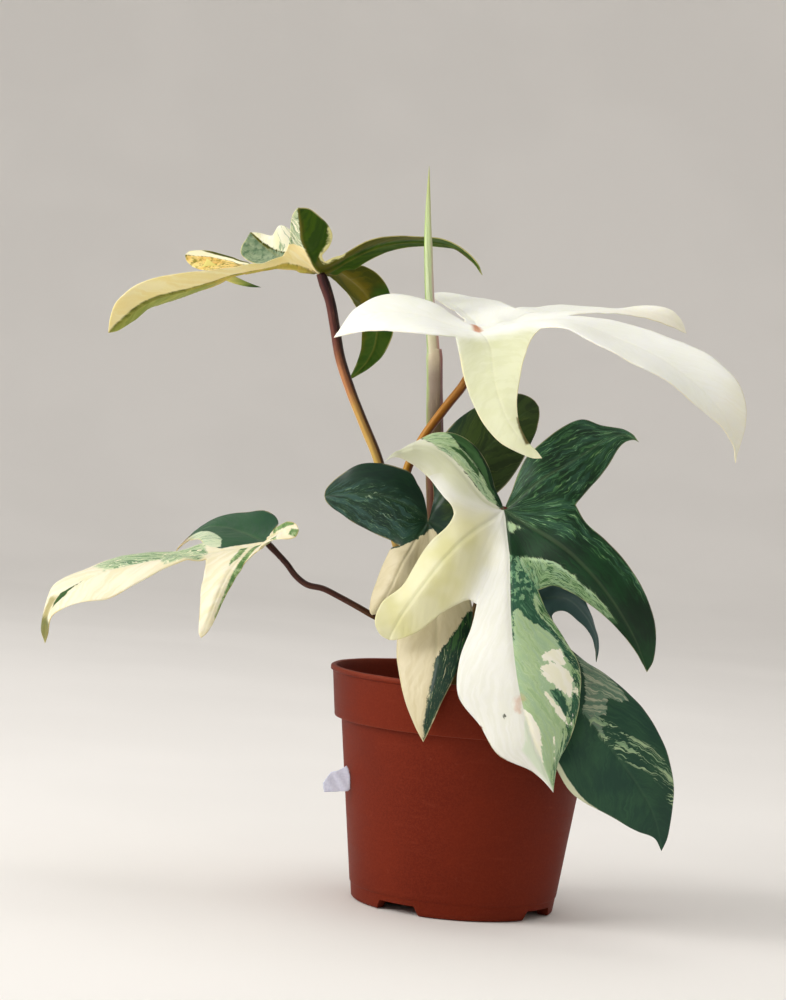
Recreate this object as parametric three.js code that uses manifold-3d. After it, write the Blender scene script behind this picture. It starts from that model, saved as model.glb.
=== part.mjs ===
// Potted variegated philodendron: a lobed aroid in a moulded nursery pot.
// Millimetres, +Z up. The origin is the centre of the pot's underside, on the
// plane that the foot stands on. +X is the side the white leaf reaches to, and
// -Y is the side the big front leaf faces.
import * as THREE from "three";
import { mergeVertices } from "three/addons/utils/BufferGeometryUtils.js";
import Module from "manifold-3d";

const wasm = await Module();
wasm.setup();

// ---------- driving dimensions ----------
const POT_HEIGHT = 99.4; // foot to rim
const POT_RIM_R = 60.0; // outer radius of the rim: a 12 cm pot
const POT_COLLAR_R = 56.9; // outer radius at the bottom of the collar
const POT_COLLAR_H = 21.9; // height of the collar under the rim
const POT_NECK_R = 53.9; // body radius just under the collar
const POT_BASE_R = 43.6; // outer radius of the foot
const POT_WALL = 1.5;
const POT_LIP = 2.4; // width of the rolled lip
const FOOT_H = 4.2; // standing height of the foot ring
const FOOT_W = 5.0; // radial width of the foot ring
const PAD_R = 9.0; // gate boss in the middle, level with the foot
const NOTCHES = 4; // drain notches through the foot ring, narrowing upward
const NOTCH_W = 22.4;
const NOTCH_TOP_W = 17.2;
const NOTCH_H = 3.8;
const NOTCH_START = (328 * Math.PI) / 180;
const HOLES = 6; // drain holes in the floor
const HOLE_R = 4.0;
const SOIL_Z = 80.5; // level of the potting mix at the pot's wall
const SOIL_CROWN = 2.6; // how much it rises to the plant
const GAP = 0.35; // clearance between touching pieces
const BLADE_T = 0.9; // thickness of a leaf blade

const group = new THREE.Group();

// ---------- helpers ----------
const V = (x, y, z) => new THREE.Vector3(x, y, z);

function addMesh(name, geometry, color, roughness) {
  const material = new THREE.MeshStandardMaterial({ color, roughness, metalness: 0 });
  const mesh = new THREE.Mesh(geometry, material);
  mesh.name = name;
  group.add(mesh);
  return mesh;
}

// a closed mesh as a solid, and a solid as a mesh again
function toSolid(geometry) {
  const g = geometry.clone();
  g.deleteAttribute("normal");
  g.deleteAttribute("uv");
  const m = mergeVertices(g, 1e-4);
  return new wasm.Manifold(
    new wasm.Mesh({
      numProp: 3,
      vertProperties: new Float32Array(m.attributes.position.array),
      triVerts: new Uint32Array(m.index.array),
    }),
  );
}
function toGeometry(solid) {
  const m = solid.getMesh();
  const g = new THREE.BufferGeometry();
  g.setAttribute("position", new THREE.BufferAttribute(new Float32Array(m.vertProperties), 3));
  g.setIndex(new THREE.BufferAttribute(new Uint32Array(m.triVerts), 1));
  g.computeVertexNormals();
  return g;
}

// a turned body about Z: profile points are [radius, z]
function turned(profile, segments) {
  const pts = profile.map(([r, z]) => new THREE.Vector2(r, z));
  const g = new THREE.LatheGeometry(pts, segments);
  g.rotateX(Math.PI / 2);
  return g;
}

// a stalk: a round section swept along a smooth path
function stalk(points, radius, steps, sides = 8) {
  const path = new THREE.CatmullRomCurve3(points, false, "centripetal");
  const section = new THREE.Shape();
  for (let i = 0; i < sides; i++) {
    const a = (2 * Math.PI * i) / sides;
    if (i === 0) section.moveTo(radius * Math.cos(a), radius * Math.sin(a));
    else section.lineTo(radius * Math.cos(a), radius * Math.sin(a));
  }
  section.closePath();
  return new THREE.ExtrudeGeometry(section, { steps, extrudePath: path, bevelEnabled: false });
}

// a tapering round body along a smooth path; radii are spread evenly along it
function tapered(points, radii, steps, sides = 10) {
  const path = new THREE.CatmullRomCurve3(points, false, "centripetal");
  const frames = path.computeFrenetFrames(steps, false);
  const pos = [];
  const idx = [];
  for (let i = 0; i <= steps; i++) {
    const t = i / steps;
    const p = path.getPointAt(t);
    const f = t * (radii.length - 1);
    const k = Math.min(Math.floor(f), radii.length - 2);
    const r = radii[k] + (radii[k + 1] - radii[k]) * (f - k);
    for (let j = 0; j < sides; j++) {
      const a = (2 * Math.PI * j) / sides;
      const n = frames.normals[i].clone().multiplyScalar(Math.cos(a) * r);
      const b = frames.binormals[i].clone().multiplyScalar(Math.sin(a) * r);
      pos.push(p.x + n.x + b.x, p.y + n.y + b.y, p.z + n.z + b.z);
    }
  }
  for (let i = 0; i < steps; i++)
    for (let j = 0; j < sides; j++) {
      const a = i * sides + j, b = i * sides + ((j + 1) % sides), c = a + sides, d = b + sides;
      idx.push(a, b, d, a, d, c);
    }
  const s = path.getPointAt(0), e = path.getPointAt(1);
  const cs = pos.length / 3;
  pos.push(s.x, s.y, s.z);
  pos.push(e.x, e.y, e.z);
  const last = steps * sides;
  for (let j = 0; j < sides; j++) {
    idx.push(cs, (j + 1) % sides, j);
    idx.push(cs + 1, last + j, last + ((j + 1) % sides));
  }
  const g = new THREE.BufferGeometry();
  g.setAttribute("position", new THREE.Float32BufferAttribute(pos, 3));
  g.setIndex(idx);
  g.computeVertexNormals();
  return g;
}

// ---------- leaf blades ----------
// A blade is laid out flat first: lobes fan out from the junction with the
// stalk, and each row across a lobe has a point on its one margin, on its
// midrib and on its other margin. Every point is [u, v, x, y, z]: its place in
// the flat blade and its place in the grown plant. A thin-plate surface carries
// the flat blade through all of them, so the lobes droop and cup smoothly.
const BLADES = {
  "upper_left": {"J": [-79.4, 16, 268.2], "lobes": [
    {"tip": [-62.4, -42.1, -64.9, 44, 222.2], "rows": [
      [[-9.3,-2.6,-70.7,19.6,271.1], [-6.8,-4.6,-72.7,20.6,268.8], [-2.9,-5,-78.8,21.5,270]],
      [[-18,-3.9,-61.9,23.7,273.1], [-13.1,-8.9,-66.6,25.3,268.2], [-5.8,-10,-78.1,27,271.7]],
      [[-22.9,-4.8,-55.9,27.2,271], [-18.6,-12.5,-62.2,29.1,265.1], [-6.6,-17.6,-74.7,31.8,267.7]],
      [[-30.1,-9,-49.8,32.3,264.5], [-26,-17.6,-57.6,34.3,259.4], [-15.4,-24.1,-69.3,37.7,262.4]],
      [[-37.2,-15.6,-46.8,37.7,254.6], [-34.3,-23.2,-54.1,39.6,251.6], [-25.4,-29.6,-63.7,43.1,255.5]],
      [[-44.2,-21.5,-46.5,41.5,244.2], [-42.1,-28.4,-53.5,43,243], [-35.3,-33.9,-60.6,46.1,247.1]],
      [[-50.7,-28.5,-50.6,43.4,234.2], [-49.4,-33.3,-55.5,44.4,234.5], [-45.1,-37.8,-60.3,46.5,237.8]],
      [[-56.2,-35.3,-57.1,43.9,227.5], [-55.7,-37.6,-59.4,44.5,228], [-53.8,-40.3,-61.9,45.5,229.8]],
      [[-60,-39.7,-62,44,224], [-59.9,-40.4,-62.8,44.2,224.2], [-59.4,-41.5,-63.7,44.6,224.9]],
    ]},
    {"tip": [-7.4, -52.6, -114.7, 50, 285.9], "rows": [
      [[-2.9,-5,-78.8,21.5,270], [-1.3,-9.2,-85.2,23.1,269.6], [5,-14.1,-91.6,24.5,269.4]],
      [[-5.8,-10,-78.1,27,271.7], [-2.6,-18.2,-91,29.9,271.5], [10.1,-28.1,-103.9,32.9,270.6]],
      [[-11.3,-13.5,-81.7,32.5,274.5], [-3.1,-22.3,-93.6,32.8,272.7], [4.6,-33.1,-106.5,35.3,270.7]],
      [[-13.3,-21.6,-86.9,38.5,278], [-3.9,-27.7,-97.3,36.7,274.1], [4.5,-38.1,-110.2,38.3,271.2]],
      [[-16.7,-29.7,-91.6,43.6,283.3], [-4.7,-33.6,-101.4,40.5,275.9], [4.3,-43.3,-114.3,41.5,272.7]],
      [[-18.2,-37.3,-96.7,47,287.4], [-5.5,-39.1,-105.2,43.8,278.3], [3.5,-47.9,-117.4,44.3,275.4]],
      [[-13.8,-42.7,-103.2,48.9,285.4], [-6.2,-44.2,-108.9,46.4,280.8], [-0.3,-50.5,-117.4,46.6,279.4]],
      [[-10.9,-47.9,-108.9,49.6,285.8], [-6.8,-48.5,-111.9,48.3,283.3], [-3.9,-51.3,-115.9,48.3,282.6]],
      [[-8.8,-51,-112.6,49.9,285.9], [-7.2,-51.2,-113.7,49.4,284.9], [-6.2,-52.1,-115.1,49.4,284.7]],
    ]},
    {"tip": [48.5, -62, -144.2, 58, 273.8], "rows": [
      [[5,-14.1,-91.6,24.5,269.4], [9.4,-12,-90.6,26.2,269.6], [11.9,-6.3,-92.4,19.2,268.3]],
      [[10.1,-28.1,-103.9,32.9,270.6], [18.7,-23.9,-102.1,36,269.9], [23.7,-12.8,-105.5,22.5,268.4]],
      [[22.5,-30.8,-108.5,40.4,271.1], [22.1,-28.2,-106.3,39.5,269.9], [28.5,-14.7,-109.4,24.9,268]],
      [[27.4,-39.3,-114.6,48.3,272.3], [26.7,-34.2,-112.3,44.1,270.4], [33.4,-21.1,-115.1,30,267.6]],
      [[31.3,-47.7,-121.3,54.7,274], [31.8,-40.7,-119.2,48.8,271.1], [38.8,-29.4,-121.6,36.4,266.9]],
      [[34.6,-54,-127.9,58.4,275.6], [36.6,-46.9,-126,52.4,271.6], [43.8,-38.5,-128.4,42.9,266.7]],
      [[38.4,-58.7,-134.2,59.5,276.6], [41,-52.5,-132.7,55,271.9], [47.4,-47.6,-135.1,48.9,267.2]],
      [[43,-61.7,-139.7,59.1,276.4], [44.8,-57.3,-138.5,56.6,272.5], [49.2,-55,-140.7,53.7,269.2]],
      [[46.4,-62.6,-142.9,58.4,275.4], [47.1,-60.3,-142.2,57.5,273.3], [49.1,-59.5,-143.4,56.5,271.8]],
    ]},
    {"tip": [101.6, 0, -165.6, -16, 233.5], "rows": [
      [[11.9,-6.3,-92.4,19.2,268.3], [11.3,0,-90,12.6,269.3], [9.3,2.6,-87.6,11.7,270.8]],
      [[23.7,-12.8,-105.5,22.5,268.4], [22.5,0,-100.7,8.9,268.3], [18.5,5.4,-95.8,7.5,273.3]],
      [[28.3,-18.9,-112.7,24.5,265.2], [30.6,0,-108,6.1,266.3], [28.2,8.4,-103.2,-0.8,269.1]],
      [[38.1,-21,-122.2,22.5,261.2], [42,0,-117.8,1.7,262.6], [42.4,11.8,-114.7,-9.2,266]],
      [[51.2,-20.4,-132.4,16.9,256.1], [55,0,-128.6,-3.5,257.4], [57.2,13.3,-128,-15.9,262.7]],
      [[65.4,-17.1,-142,9.1,250.6], [67.7,0,-139.6,-7.9,253], [70.3,13,-141.5,-19.1,259.7]],
      [[79.5,-11.8,-151.6,0.1,245.3], [80.1,0,-150.4,-11.3,247.9], [82.3,11,-154.7,-19.4,254.4]],
      [[91.3,-6.4,-158.1,-8,238.2], [90.8,0,-158.3,-13.8,241], [92.3,7.9,-163.3,-18,245.7]],
      [[98.2,-2.9,-162.3,-13.2,234.4], [97.7,0,-163.1,-15.2,236.3], [98.4,3.1,-165.3,-16.7,237.9]],
    ]},
    {"tip": [24.5, 37.7, -88.4, -20, 292.7], "rows": [
      [[9.3,2.6,-87.6,11.7,270.8], [3.2,5,-81.5,11.1,270.8], [0.3,5.5,-78.1,11,270.1]],
      [[18.5,5.4,-95.8,7.5,273.3], [6.5,10,-83.3,6.1,273.5], [0.6,11,-76.9,6,272.1]],
      [[17.2,6.2,-94.6,7,275.3], [8.5,13.1,-84.3,3,275.3], [2.1,13,-78.3,5.3,274.6]],
      [[17.2,9.6,-93.2,4.3,278.1], [11.4,17.5,-85.3,-1.5,277.8], [0.7,18.6,-75.4,2.7,278.6]],
      [[18.7,14.5,-92.3,0,281.3], [14.6,22.4,-86.2,-6.5,280.8], [1.6,25.8,-74,-1.5,283.4]],
      [[21.4,20.2,-92,-5.2,284.6], [17.6,27.1,-86.6,-11,284], [6.5,31.5,-76.3,-6.4,287.7]],
      [[23.9,26.4,-91.5,-10.7,287.7], [20.3,31.2,-87.1,-14.7,287.1], [12.8,35.1,-80.2,-11.4,290.8]],
      [[25,32.1,-90.4,-15.4,290.4], [22.4,34.5,-87.7,-17.5,289.9], [18.4,37.5,-84,-15.7,292.9]],
      [[24.8,35.7,-89.2,-18.4,291.9], [23.7,36.6,-88.1,-19.1,291.7], [22.2,37.8,-86.7,-18.5,292.9]],
    ]},
    {"tip": [-66.7, 45, -8.1, 6, 271.7], "rows": [
      [[0.3,5.5,-78.1,11,270.1], [-5,3.4,-73.9,15.5,270.7], [-8.2,-0.9,-71.8,19.8,268.3]],
      [[0.6,11,-76.9,6,272.1], [-10,6.7,-69,14.9,274.1], [-16,0.6,-64.6,21.8,271.4]],
      [[-4,17.1,-69.7,3,275.2], [-15.6,10.5,-63.2,14.4,277.6], [-22.1,3.7,-59.4,22.5,275]],
      [[-12.2,23.9,-60.6,1.2,281.2], [-23.5,15.9,-54.5,13.7,281.5], [-29.9,8.6,-51.7,22.7,279.2]],
      [[-22.7,30.3,-48.8,1,285.1], [-32.5,21.9,-44,12.9,284.1], [-38.2,15,-42.1,21.5,282.3]],
      [[-34.3,35.4,-36.4,2,286], [-41.5,28,-33.2,11.7,284.9], [-45.9,22,-32,18.9,283.6]],
      [[-46.2,39.4,-24,3.4,285.2], [-50.7,34.2,-22.5,10,283.6], [-53.3,29.9,-21.9,14.9,282.8]],
      [[-56.4,42.3,-14.4,4.8,280.3], [-58.6,39.6,-14.2,8.1,279], [-60,37.3,-14.3,10.6,278.2]],
      [[-62.9,44.1,-9.9,5.6,275.3], [-63.8,43,-10.1,6.7,274.5], [-64.4,42.2,-10.2,7.7,274.1]],
    ]},
  ]},
  "lower_left": {"J": [-91.2, -15, 150.1], "lobes": [
    {"tip": [27.4, -64.8, -135.1, 34, 140.6], "rows": [
      [[-8,-17.7,-87.8,2.7,157.3], [4.8,-11.5,-98.3,-4.9,151.6], [12.9,-6.6,-105.1,-11,148.4]],
      [[-4.4,-32.9,-95.4,16.1,161.7], [9.6,-22.7,-105.5,4.9,153.1], [26,-13,-118.9,-6.9,146.7]],
      [[-1.3,-37.9,-100.4,21.1,161.3], [11.8,-27.8,-109,9.2,153.8], [27,-19.6,-120.6,-2.1,147.6]],
      [[3,-44.2,-107.1,26.9,160.1], [14.7,-34.8,-113.8,15,153.8], [28,-28.1,-123,5.1,147.7]],
      [[7.6,-50,-114.5,31.6,158.2], [17.9,-42.3,-119.4,20.8,153.2], [29.2,-37.9,-126.1,13,146.7]],
      [[12.2,-54.3,-121.1,34.3,154.6], [20.8,-49.1,-124.4,25.7,150.8], [29.5,-47.3,-129,20.1,145.6]],
      [[17.4,-58,-126.7,35.1,150], [23.3,-55.1,-128.7,29.4,147.4], [28.9,-54.9,-131.4,26,143.9]],
      [[22.3,-61.2,-131,34.8,145.3], [25.4,-60,-132,31.8,144.1], [28.1,-60.3,-133.3,30.3,142.2]],
      [[25.6,-63.5,-133.7,34.3,142.3], [26.7,-63.1,-134,33.2,141.9], [27.6,-63.2,-134.4,32.7,141.2]],
    ]},
    {"tip": [112.1, 0, -180.1, -30, 100.1], "rows": [
      [[12.9,-6.6,-105.1,-11,148.4], [12.4,0,-102.8,-16.9,146], [13.4,3.1,-103.2,-20,145.5]],
      [[26,-13,-118.9,-6.9,146.7], [24.8,0,-114.7,-18.8,143], [26.9,6.3,-115.2,-25,140.8]],
      [[35.5,-17.6,-127.7,-3,142.8], [33.6,0,-123.2,-20,141.2], [34.8,11.1,-122.7,-31.1,140]],
      [[48.8,-20.7,-141,-1.5,140.6], [45.9,0,-135.1,-21.5,138.8], [45.9,15,-132.5,-35.8,135.3]],
      [[63.6,-20.8,-155.6,-3.3,137.2], [59.9,0,-148.6,-23.1,135.2], [58.6,17.3,-143.2,-38.1,128.3]],
      [[77.5,-17.8,-168.8,-8.1,131.5], [73.8,0,-161.6,-24.8,130.5], [73.7,17.5,-154.3,-37.8,121.3]],
      [[90.4,-14,-180.7,-15.3,124], [87.7,0,-172.2,-26.6,121.8], [88.1,10.9,-167.4,-35.6,118.1]],
      [[100.3,-6.6,-182.8,-22.5,112.2], [99.9,0,-179.5,-28.3,112.2], [100.1,5.2,-177.2,-32.9,111.6]],
      [[107.7,-2.8,-182.1,-27.4,104.3], [107.7,0,-180.2,-29.4,104.5], [108.1,2.2,-178.8,-31,104.2]],
    ]},
    {"tip": [39.9, 47.6, -112.2, -50, 109.3], "rows": [
      [[13.4,3.1,-103.2,-20,145.5], [6.5,7.7,-95.8,-23.4,146.7], [2.7,6.9,-92.4,-22,148.1]],
      [[26.9,6.3,-115.2,-25,140.8], [12.7,15.1,-99.8,-31.2,142.8], [5.4,13.8,-93.6,-29,146.2]],
      [[28.1,10.8,-114.8,-29,137.7], [16.1,19.2,-101.9,-35.3,140.1], [9.4,17.5,-96.1,-32.7,143]],
      [[30.6,17.3,-114.7,-34.4,133.3], [20.6,24.6,-104.2,-40.3,135.8], [14.3,23.3,-98.9,-37.4,138]],
      [[33.8,24.4,-114.7,-39.6,128.3], [25.2,30,-106,-44.6,130.5], [19.8,29.6,-101.6,-41.9,132]],
      [[36.4,31.5,-114.2,-43.7,123.2], [29.3,34.9,-107.6,-47.5,124.9], [25.2,35.2,-104.2,-45.3,125.8]],
      [[38.2,37.9,-113.8,-46.6,118.1], [33.2,39.6,-109.2,-49,119.3], [30.1,40.6,-106.3,-47.6,119.4]],
      [[39.6,42.8,-113.5,-48.5,113.6], [36.6,43.6,-110.7,-49.7,114.3], [34.6,44.9,-108.5,-48.9,113.9]],
      [[40.2,45.9,-113.1,-49.5,110.7], [38.7,46.2,-111.6,-49.9,111.1], [37.9,46.9,-110.5,-49.6,110.7]],
    ]},
    {"tip": [-12.5, 34.5, -75.4, -46, 157], "rows": [
      [[2.7,6.9,-92.4,-22,148.1], [-2.2,6.2,-89.1,-21,151.8], [-2.3,4,-90.1,-19.1,152]],
      [[5.4,13.8,-93.6,-29,146.2], [-4.5,12.3,-86.9,-26.9,153.2], [-4.7,8.8,-88.6,-23.9,153.8]],
      [[3,18,-91.8,-33.1,148.1], [-5.6,15.4,-85.8,-30,154], [-6.2,11.3,-87.5,-26.3,155.1]],
      [[0,23,-89.2,-37.9,150.2], [-7.2,19.8,-84.1,-34.2,154.9], [-8.4,15.3,-85.7,-30.2,156.8]],
      [[-3.3,27.7,-85.9,-42.4,152.1], [-8.9,24.5,-82.2,-38.8,155.8], [-10.9,20.1,-83.5,-34.9,158.6]],
      [[-5.7,31.1,-82.4,-45.6,152.7], [-10.3,28.5,-80.3,-42.5,156.5], [-13.2,24.8,-81,-39.3,159.9]],
      [[-7.4,33.4,-79,-46.9,153], [-11.3,31.3,-78.5,-44.8,157], [-14.3,29.1,-78.3,-42.6,159.9]],
      [[-9.5,34.8,-76.3,-46.7,154.3], [-12,33,-76.9,-45.7,157.1], [-14.1,32.2,-76.5,-44.5,159]],
      [[-11.3,34.8,-75.6,-46.3,155.9], [-12.3,33.9,-75.9,-45.9,157.1], [-13.2,33.7,-75.7,-45.5,157.8]],
    ]},
  ]},
  "white": {"J": [-7.3, -20, 246.3], "lobes": [
    {"tip": [-64.9, -14, -68.3, -28, 238.4], "rows": [
      [[-9.1,6.6,-15.6,-14,250.7], [-6.4,-1.4,-13.7,-21.3,246.9], [-4.7,-9.6,-12.2,-29.3,244.2]],
      [[-18.6,9.8,-23.7,-11.3,255.2], [-12.8,-2.8,-20,-22.4,247.9], [-8.6,-19.6,-17.1,-38.5,242.2]],
      [[-24.7,9.9,-28.9,-10.9,257.3], [-18.1,-3.9,-25.2,-23.3,249.2], [-12.1,-23.4,-22.1,-42.3,242.2]],
      [[-32.2,9,-36.4,-11.3,259.1], [-25.4,-5.5,-32.4,-24.3,250.7], [-18.7,-26.1,-29.2,-44.1,242.3]],
      [[-40.1,6.4,-45.2,-13,259.4], [-33.7,-7.2,-40.9,-25.1,251.5], [-27.4,-26.9,-37.4,-43.3,242.4]],
      [[-46.8,2.4,-53.6,-15.9,257], [-42,-9,-49.3,-25.7,250.8], [-37.5,-25.7,-45.6,-40.3,242.3]],
      [[-52.8,-3.1,-60.6,-19.8,251.7], [-50.3,-10.8,-57.4,-26.4,248.4], [-48.3,-22.8,-54,-36,241.9]],
      [[-58.3,-8.6,-64.8,-23.8,245.4], [-57.5,-12.4,-63.4,-27.2,244.3], [-57.3,-18.9,-61.1,-31.9,240.4]],
      [[-62.4,-12.1,-66.9,-26.5,240.8], [-62.2,-13.4,-66.7,-27.7,240.7], [-62.5,-15.8,-65.7,-29.4,239.1]],
    ]},
    {"tip": [25.8, -91.4, 21.8, -88, 194.9], "rows": [
      [[-4.7,-9.6,-12.2,-29.3,244.2], [5.6,-20,-2.2,-38.7,238.8], [14.3,-8.3,5.4,-30.7,247.4]],
      [[-8.6,-19.6,-17.1,-38.5,242.2], [10.6,-37.6,-0.4,-54.6,229.9], [29.7,-14.7,18,-41.3,248.5]],
      [[-4.6,-30.1,-14.9,-47.1,235.5], [12.8,-45.3,0.5,-61.3,225.5], [25.7,-23.1,14.4,-49.3,243.5]],
      [[0,-42.8,-12.4,-57.7,226.1], [15.5,-54.9,2.3,-69,219.6], [25.5,-36.5,12.1,-59.2,235.2]],
      [[4.7,-55.8,-8.2,-67.5,216], [18.1,-64.1,4.9,-75.7,213.2], [25.2,-50.2,10.6,-68.4,225.8]],
      [[9.2,-67.1,-2.7,-75.1,207], [20.4,-72.1,8.2,-80.5,207.3], [24.8,-62.6,10.2,-75.6,216.4]],
      [[14,-77.1,4.8,-81,199.7], [22.4,-79.5,12.6,-84,202.1], [24.3,-73.8,12.1,-81.2,207.3]],
      [[19.5,-84.8,13,-84.9,196], [24.1,-85.4,16.9,-86.2,198.2], [24.8,-82.8,16.2,-84.9,200.6]],
      [[23.1,-89.5,18.7,-87,194.5], [25.2,-89.2,20,-87.4,196], [25.9,-88.3,20,-87,197.1]],
    ]},
    {"tip": [137.4, 0, 102.3, -48, 199.1], "rows": [
      [[14.3,-8.3,5.4,-30.7,247.4], [17.1,0,8.6,-24,251.2], [17.4,9.5,11.2,-14.5,251.1]],
      [[29.7,-14.7,18,-41.3,248.5], [34.1,0,25,-28.1,253.1], [34.3,20,29.6,-9,256]],
      [[43.5,-20.6,28.1,-49.8,248.6], [44.6,0,35.1,-30.7,251.7], [43.7,24,41.2,-7.9,256.1]],
      [[59.3,-24.2,41.1,-56.8,242.9], [59.4,0,48.8,-34.4,247.5], [59.1,26.3,57.2,-10.5,254.3]],
      [[76.2,-24.4,55.9,-60.7,236.1], [76.1,0,64,-38.4,242], [77.6,25.8,74.8,-16.2,249.8]],
      [[92.5,-20.6,70.9,-60.5,229.8], [92.5,0,78.2,-41.8,234.3], [95.3,23.4,91.1,-23.9,242.7]],
      [[109.1,-14.6,84.5,-57.1,220.5], [108.9,0,90.7,-44.4,224.1], [112,18.2,103.6,-32.6,230]],
      [[123.5,-7.2,96.3,-52.7,211.8], [123.2,0,99.2,-46.3,212.8], [123.9,8.9,105.7,-40.4,214.6]],
      [[132.4,-2.3,101.2,-49.7,204.2], [132.2,0,101.6,-47.4,204.2], [131.8,2.6,103.2,-45.4,204.7]],
    ]},
    {"tip": [60.4, 100.5, 84.5, 44, 255.4], "rows": [
      [[17.4,9.5,11.2,-14.5,251.1], [11.3,18.9,6.5,-4.1,253], [4.8,14.2,-0.2,-8.2,252.4]],
      [[34.3,20,29.6,-9,256], [22.2,37,21.2,10.1,258.1], [9.5,28.5,6.9,3.6,258.4]],
      [[41,27.3,34.8,-5.6,257.3], [26.5,44,27.5,15.2,259.4], [14.4,40.2,14.9,15.8,260.5]],
      [[46.3,37.4,42.3,1,258.7], [32.2,53.5,36.5,21.6,260.5], [20.1,55.4,26.4,28.1,262.8]],
      [[51.2,50.2,51,9.6,259.5], [38.4,63.9,46.9,27.8,261.7], [27.3,69.1,39.8,37.6,263.6]],
      [[54.8,63.5,59.9,18.8,259.6], [44.4,74,57.3,33,262.7], [35.4,79.9,53.3,42.9,264]],
      [[57.6,77,69,28.2,258.9], [50.3,83.8,67.9,37.3,262.6], [43.4,89.1,66.3,44.9,266.6]],
      [[59.8,88.8,76.7,36.3,257.2], [55.2,92,76.6,40.8,260.6], [50.9,95.9,77.7,44.9,264.6]],
      [[60.5,96.5,81.7,41.3,256], [58.5,97.4,81.8,42.9,257.5], [56.6,99.1,82.8,44.4,259.3]],
    ]},
    {"tip": [-29.2, 58.8, -31.2, 38, 263.6], "rows": [
      [[4.8,14.2,-0.2,-8.2,252.4], [-4.2,8.4,-9.5,-11.5,249.3], [-4.2,1.9,-10.6,-17.8,248.6]],
      [[9.5,28.5,6.9,3.6,258.4], [-8.3,16.7,-11.9,-2.9,252.1], [-8.9,7.1,-14,-12.2,251]],
      [[4.4,36.8,3.5,13.2,260.5], [-10.8,21.8,-13.6,2.3,253.7], [-11.5,11.6,-15.6,-7.6,252.2]],
      [[-1.9,45.6,-1.7,23.1,262.4], [-14.3,28.8,-16,9.5,255.8], [-15,18.6,-18,-0.4,254]],
      [[-8.5,52.6,-7.9,31.5,263.4], [-18.2,36.6,-18.9,17.4,258], [-19.1,27.3,-20.7,8.4,255.9]],
      [[-14.1,56.7,-14.1,36.5,264.1], [-21.7,43.8,-22,24.4,260], [-23.2,36.2,-23.6,17.2,257.8]],
      [[-19.2,58.3,-20.4,38.5,264.6], [-24.7,49.8,-25.2,30.2,261.6], [-26.4,44.8,-26.5,25.3,259.7]],
      [[-23.9,58.6,-25.8,38.6,264.5], [-27,54.5,-28.1,34.3,262.7], [-28.3,51.9,-28.9,31.8,261.6]],
      [[-27.3,58.7,-29.3,38.2,264], [-28.4,57.3,-30.1,36.7,263.3], [-29,56.4,-30.4,35.8,262.8]],
    ]},
  ]},
  "front": {"J": [8.7, -52, 172.3], "lobes": [
    {"tip": [-35.5, -50.7, -41.3, -64, 188.2], "rows": [
      [[-9.4,-2.3,4.7,-51.4,180.1], [-4.6,-6.6,1.5,-54.2,175.2], [0.3,-10.9,-1.5,-55.6,170.7]],
      [[-18.3,-7.4,1.6,-51.8,188.5], [-9,-12.9,-4,-56.1,180.3], [2.5,-21.6,-11.6,-59.1,169.2]],
      [[-22.6,-11.7,-1.3,-52,193], [-11.7,-16.7,-7.1,-56.8,183.7], [0.2,-20.8,-13.1,-58.3,172.7]],
      [[-27.1,-17.2,-6.4,-52.3,198.5], [-15.4,-22,-11.6,-57.3,188.1], [-3.3,-25.9,-17.1,-57.3,176.6]],
      [[-29.3,-23.3,-14.2,-52.9,202.1], [-19.6,-28,-17.3,-57.5,192.8], [-8.3,-32.8,-21.3,-56.5,181.3]],
      [[-29.2,-29,-22.7,-54.4,201.6], [-23.7,-33.9,-23.9,-58.2,195.4], [-15.4,-40,-26.1,-56.8,185.4]],
      [[-28.9,-36.4,-30,-57.2,197.3], [-27.9,-39.9,-31,-59.8,195.1], [-23.5,-44.7,-31.5,-58.6,188.7]],
      [[-31.7,-43.6,-36.1,-60.4,193.2], [-31.6,-45.2,-36.7,-61.8,192.6], [-30.3,-46.9,-36.6,-61.1,190.5]],
      [[-34.3,-48.1,-39.9,-62.7,190.4], [-34,-48.7,-39.8,-63.2,189.9], [-33.8,-49.2,-39.8,-62.9,189.5]],
    ]},
    {"tip": [43, -63.2, -34.1, -58, 115.6], "rows": [
      [[0.3,-10.9,-1.5,-55.6,170.7], [6.8,-10.1,0.2,-57.3,165.4], [19.4,-7.3,4.7,-58.3,152.9]],
      [[2.5,-21.6,-11.6,-59.1,169.2], [13.5,-19.8,-7.9,-62.1,158.2], [38.9,-14.5,0.7,-64.7,133.5]],
      [[5.8,-24.2,-14.6,-59.2,163.3], [16.4,-24.2,-11.1,-64,154.5], [37.6,-21.1,-2.6,-64.1,134.9]],
      [[9.7,-32.5,-20.8,-60.1,156.6], [20.4,-30.1,-15.3,-66,149.1], [38.8,-28.1,-7.8,-64,132.4]],
      [[16.3,-41.5,-25.8,-61,147.4], [24.9,-36.7,-19.7,-67,142.5], [40.4,-35.8,-13.3,-63.8,128.7]],
      [[23.9,-50,-30.6,-61.1,138.1], [29.4,-43.3,-24,-66.2,135.8], [43,-43,-18.1,-63,124]],
      [[28.4,-59.3,-38.1,-60.4,130.6], [34.2,-50.3,-28.2,-63.9,128.8], [44.8,-50.4,-23.2,-61.4,119.7]],
      [[34.7,-64.9,-40.3,-59.4,121.9], [38.5,-56.7,-31.4,-61.2,122.4], [44.9,-57.1,-28.5,-59.8,116.9]],
      [[40.1,-64.8,-37.1,-58.5,117], [41.4,-60.9,-33.2,-59.1,118.1], [44.1,-61.2,-32,-58.6,115.7]],
    ]},
    {"tip": [121.5, 0, 37.6, -72, 60.2], "rows": [
      [[19.4,-7.3,4.7,-58.3,152.9], [19.3,0,12.1,-60.1,155.1], [17.8,5.5,16.8,-58.2,156.7]],
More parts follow.
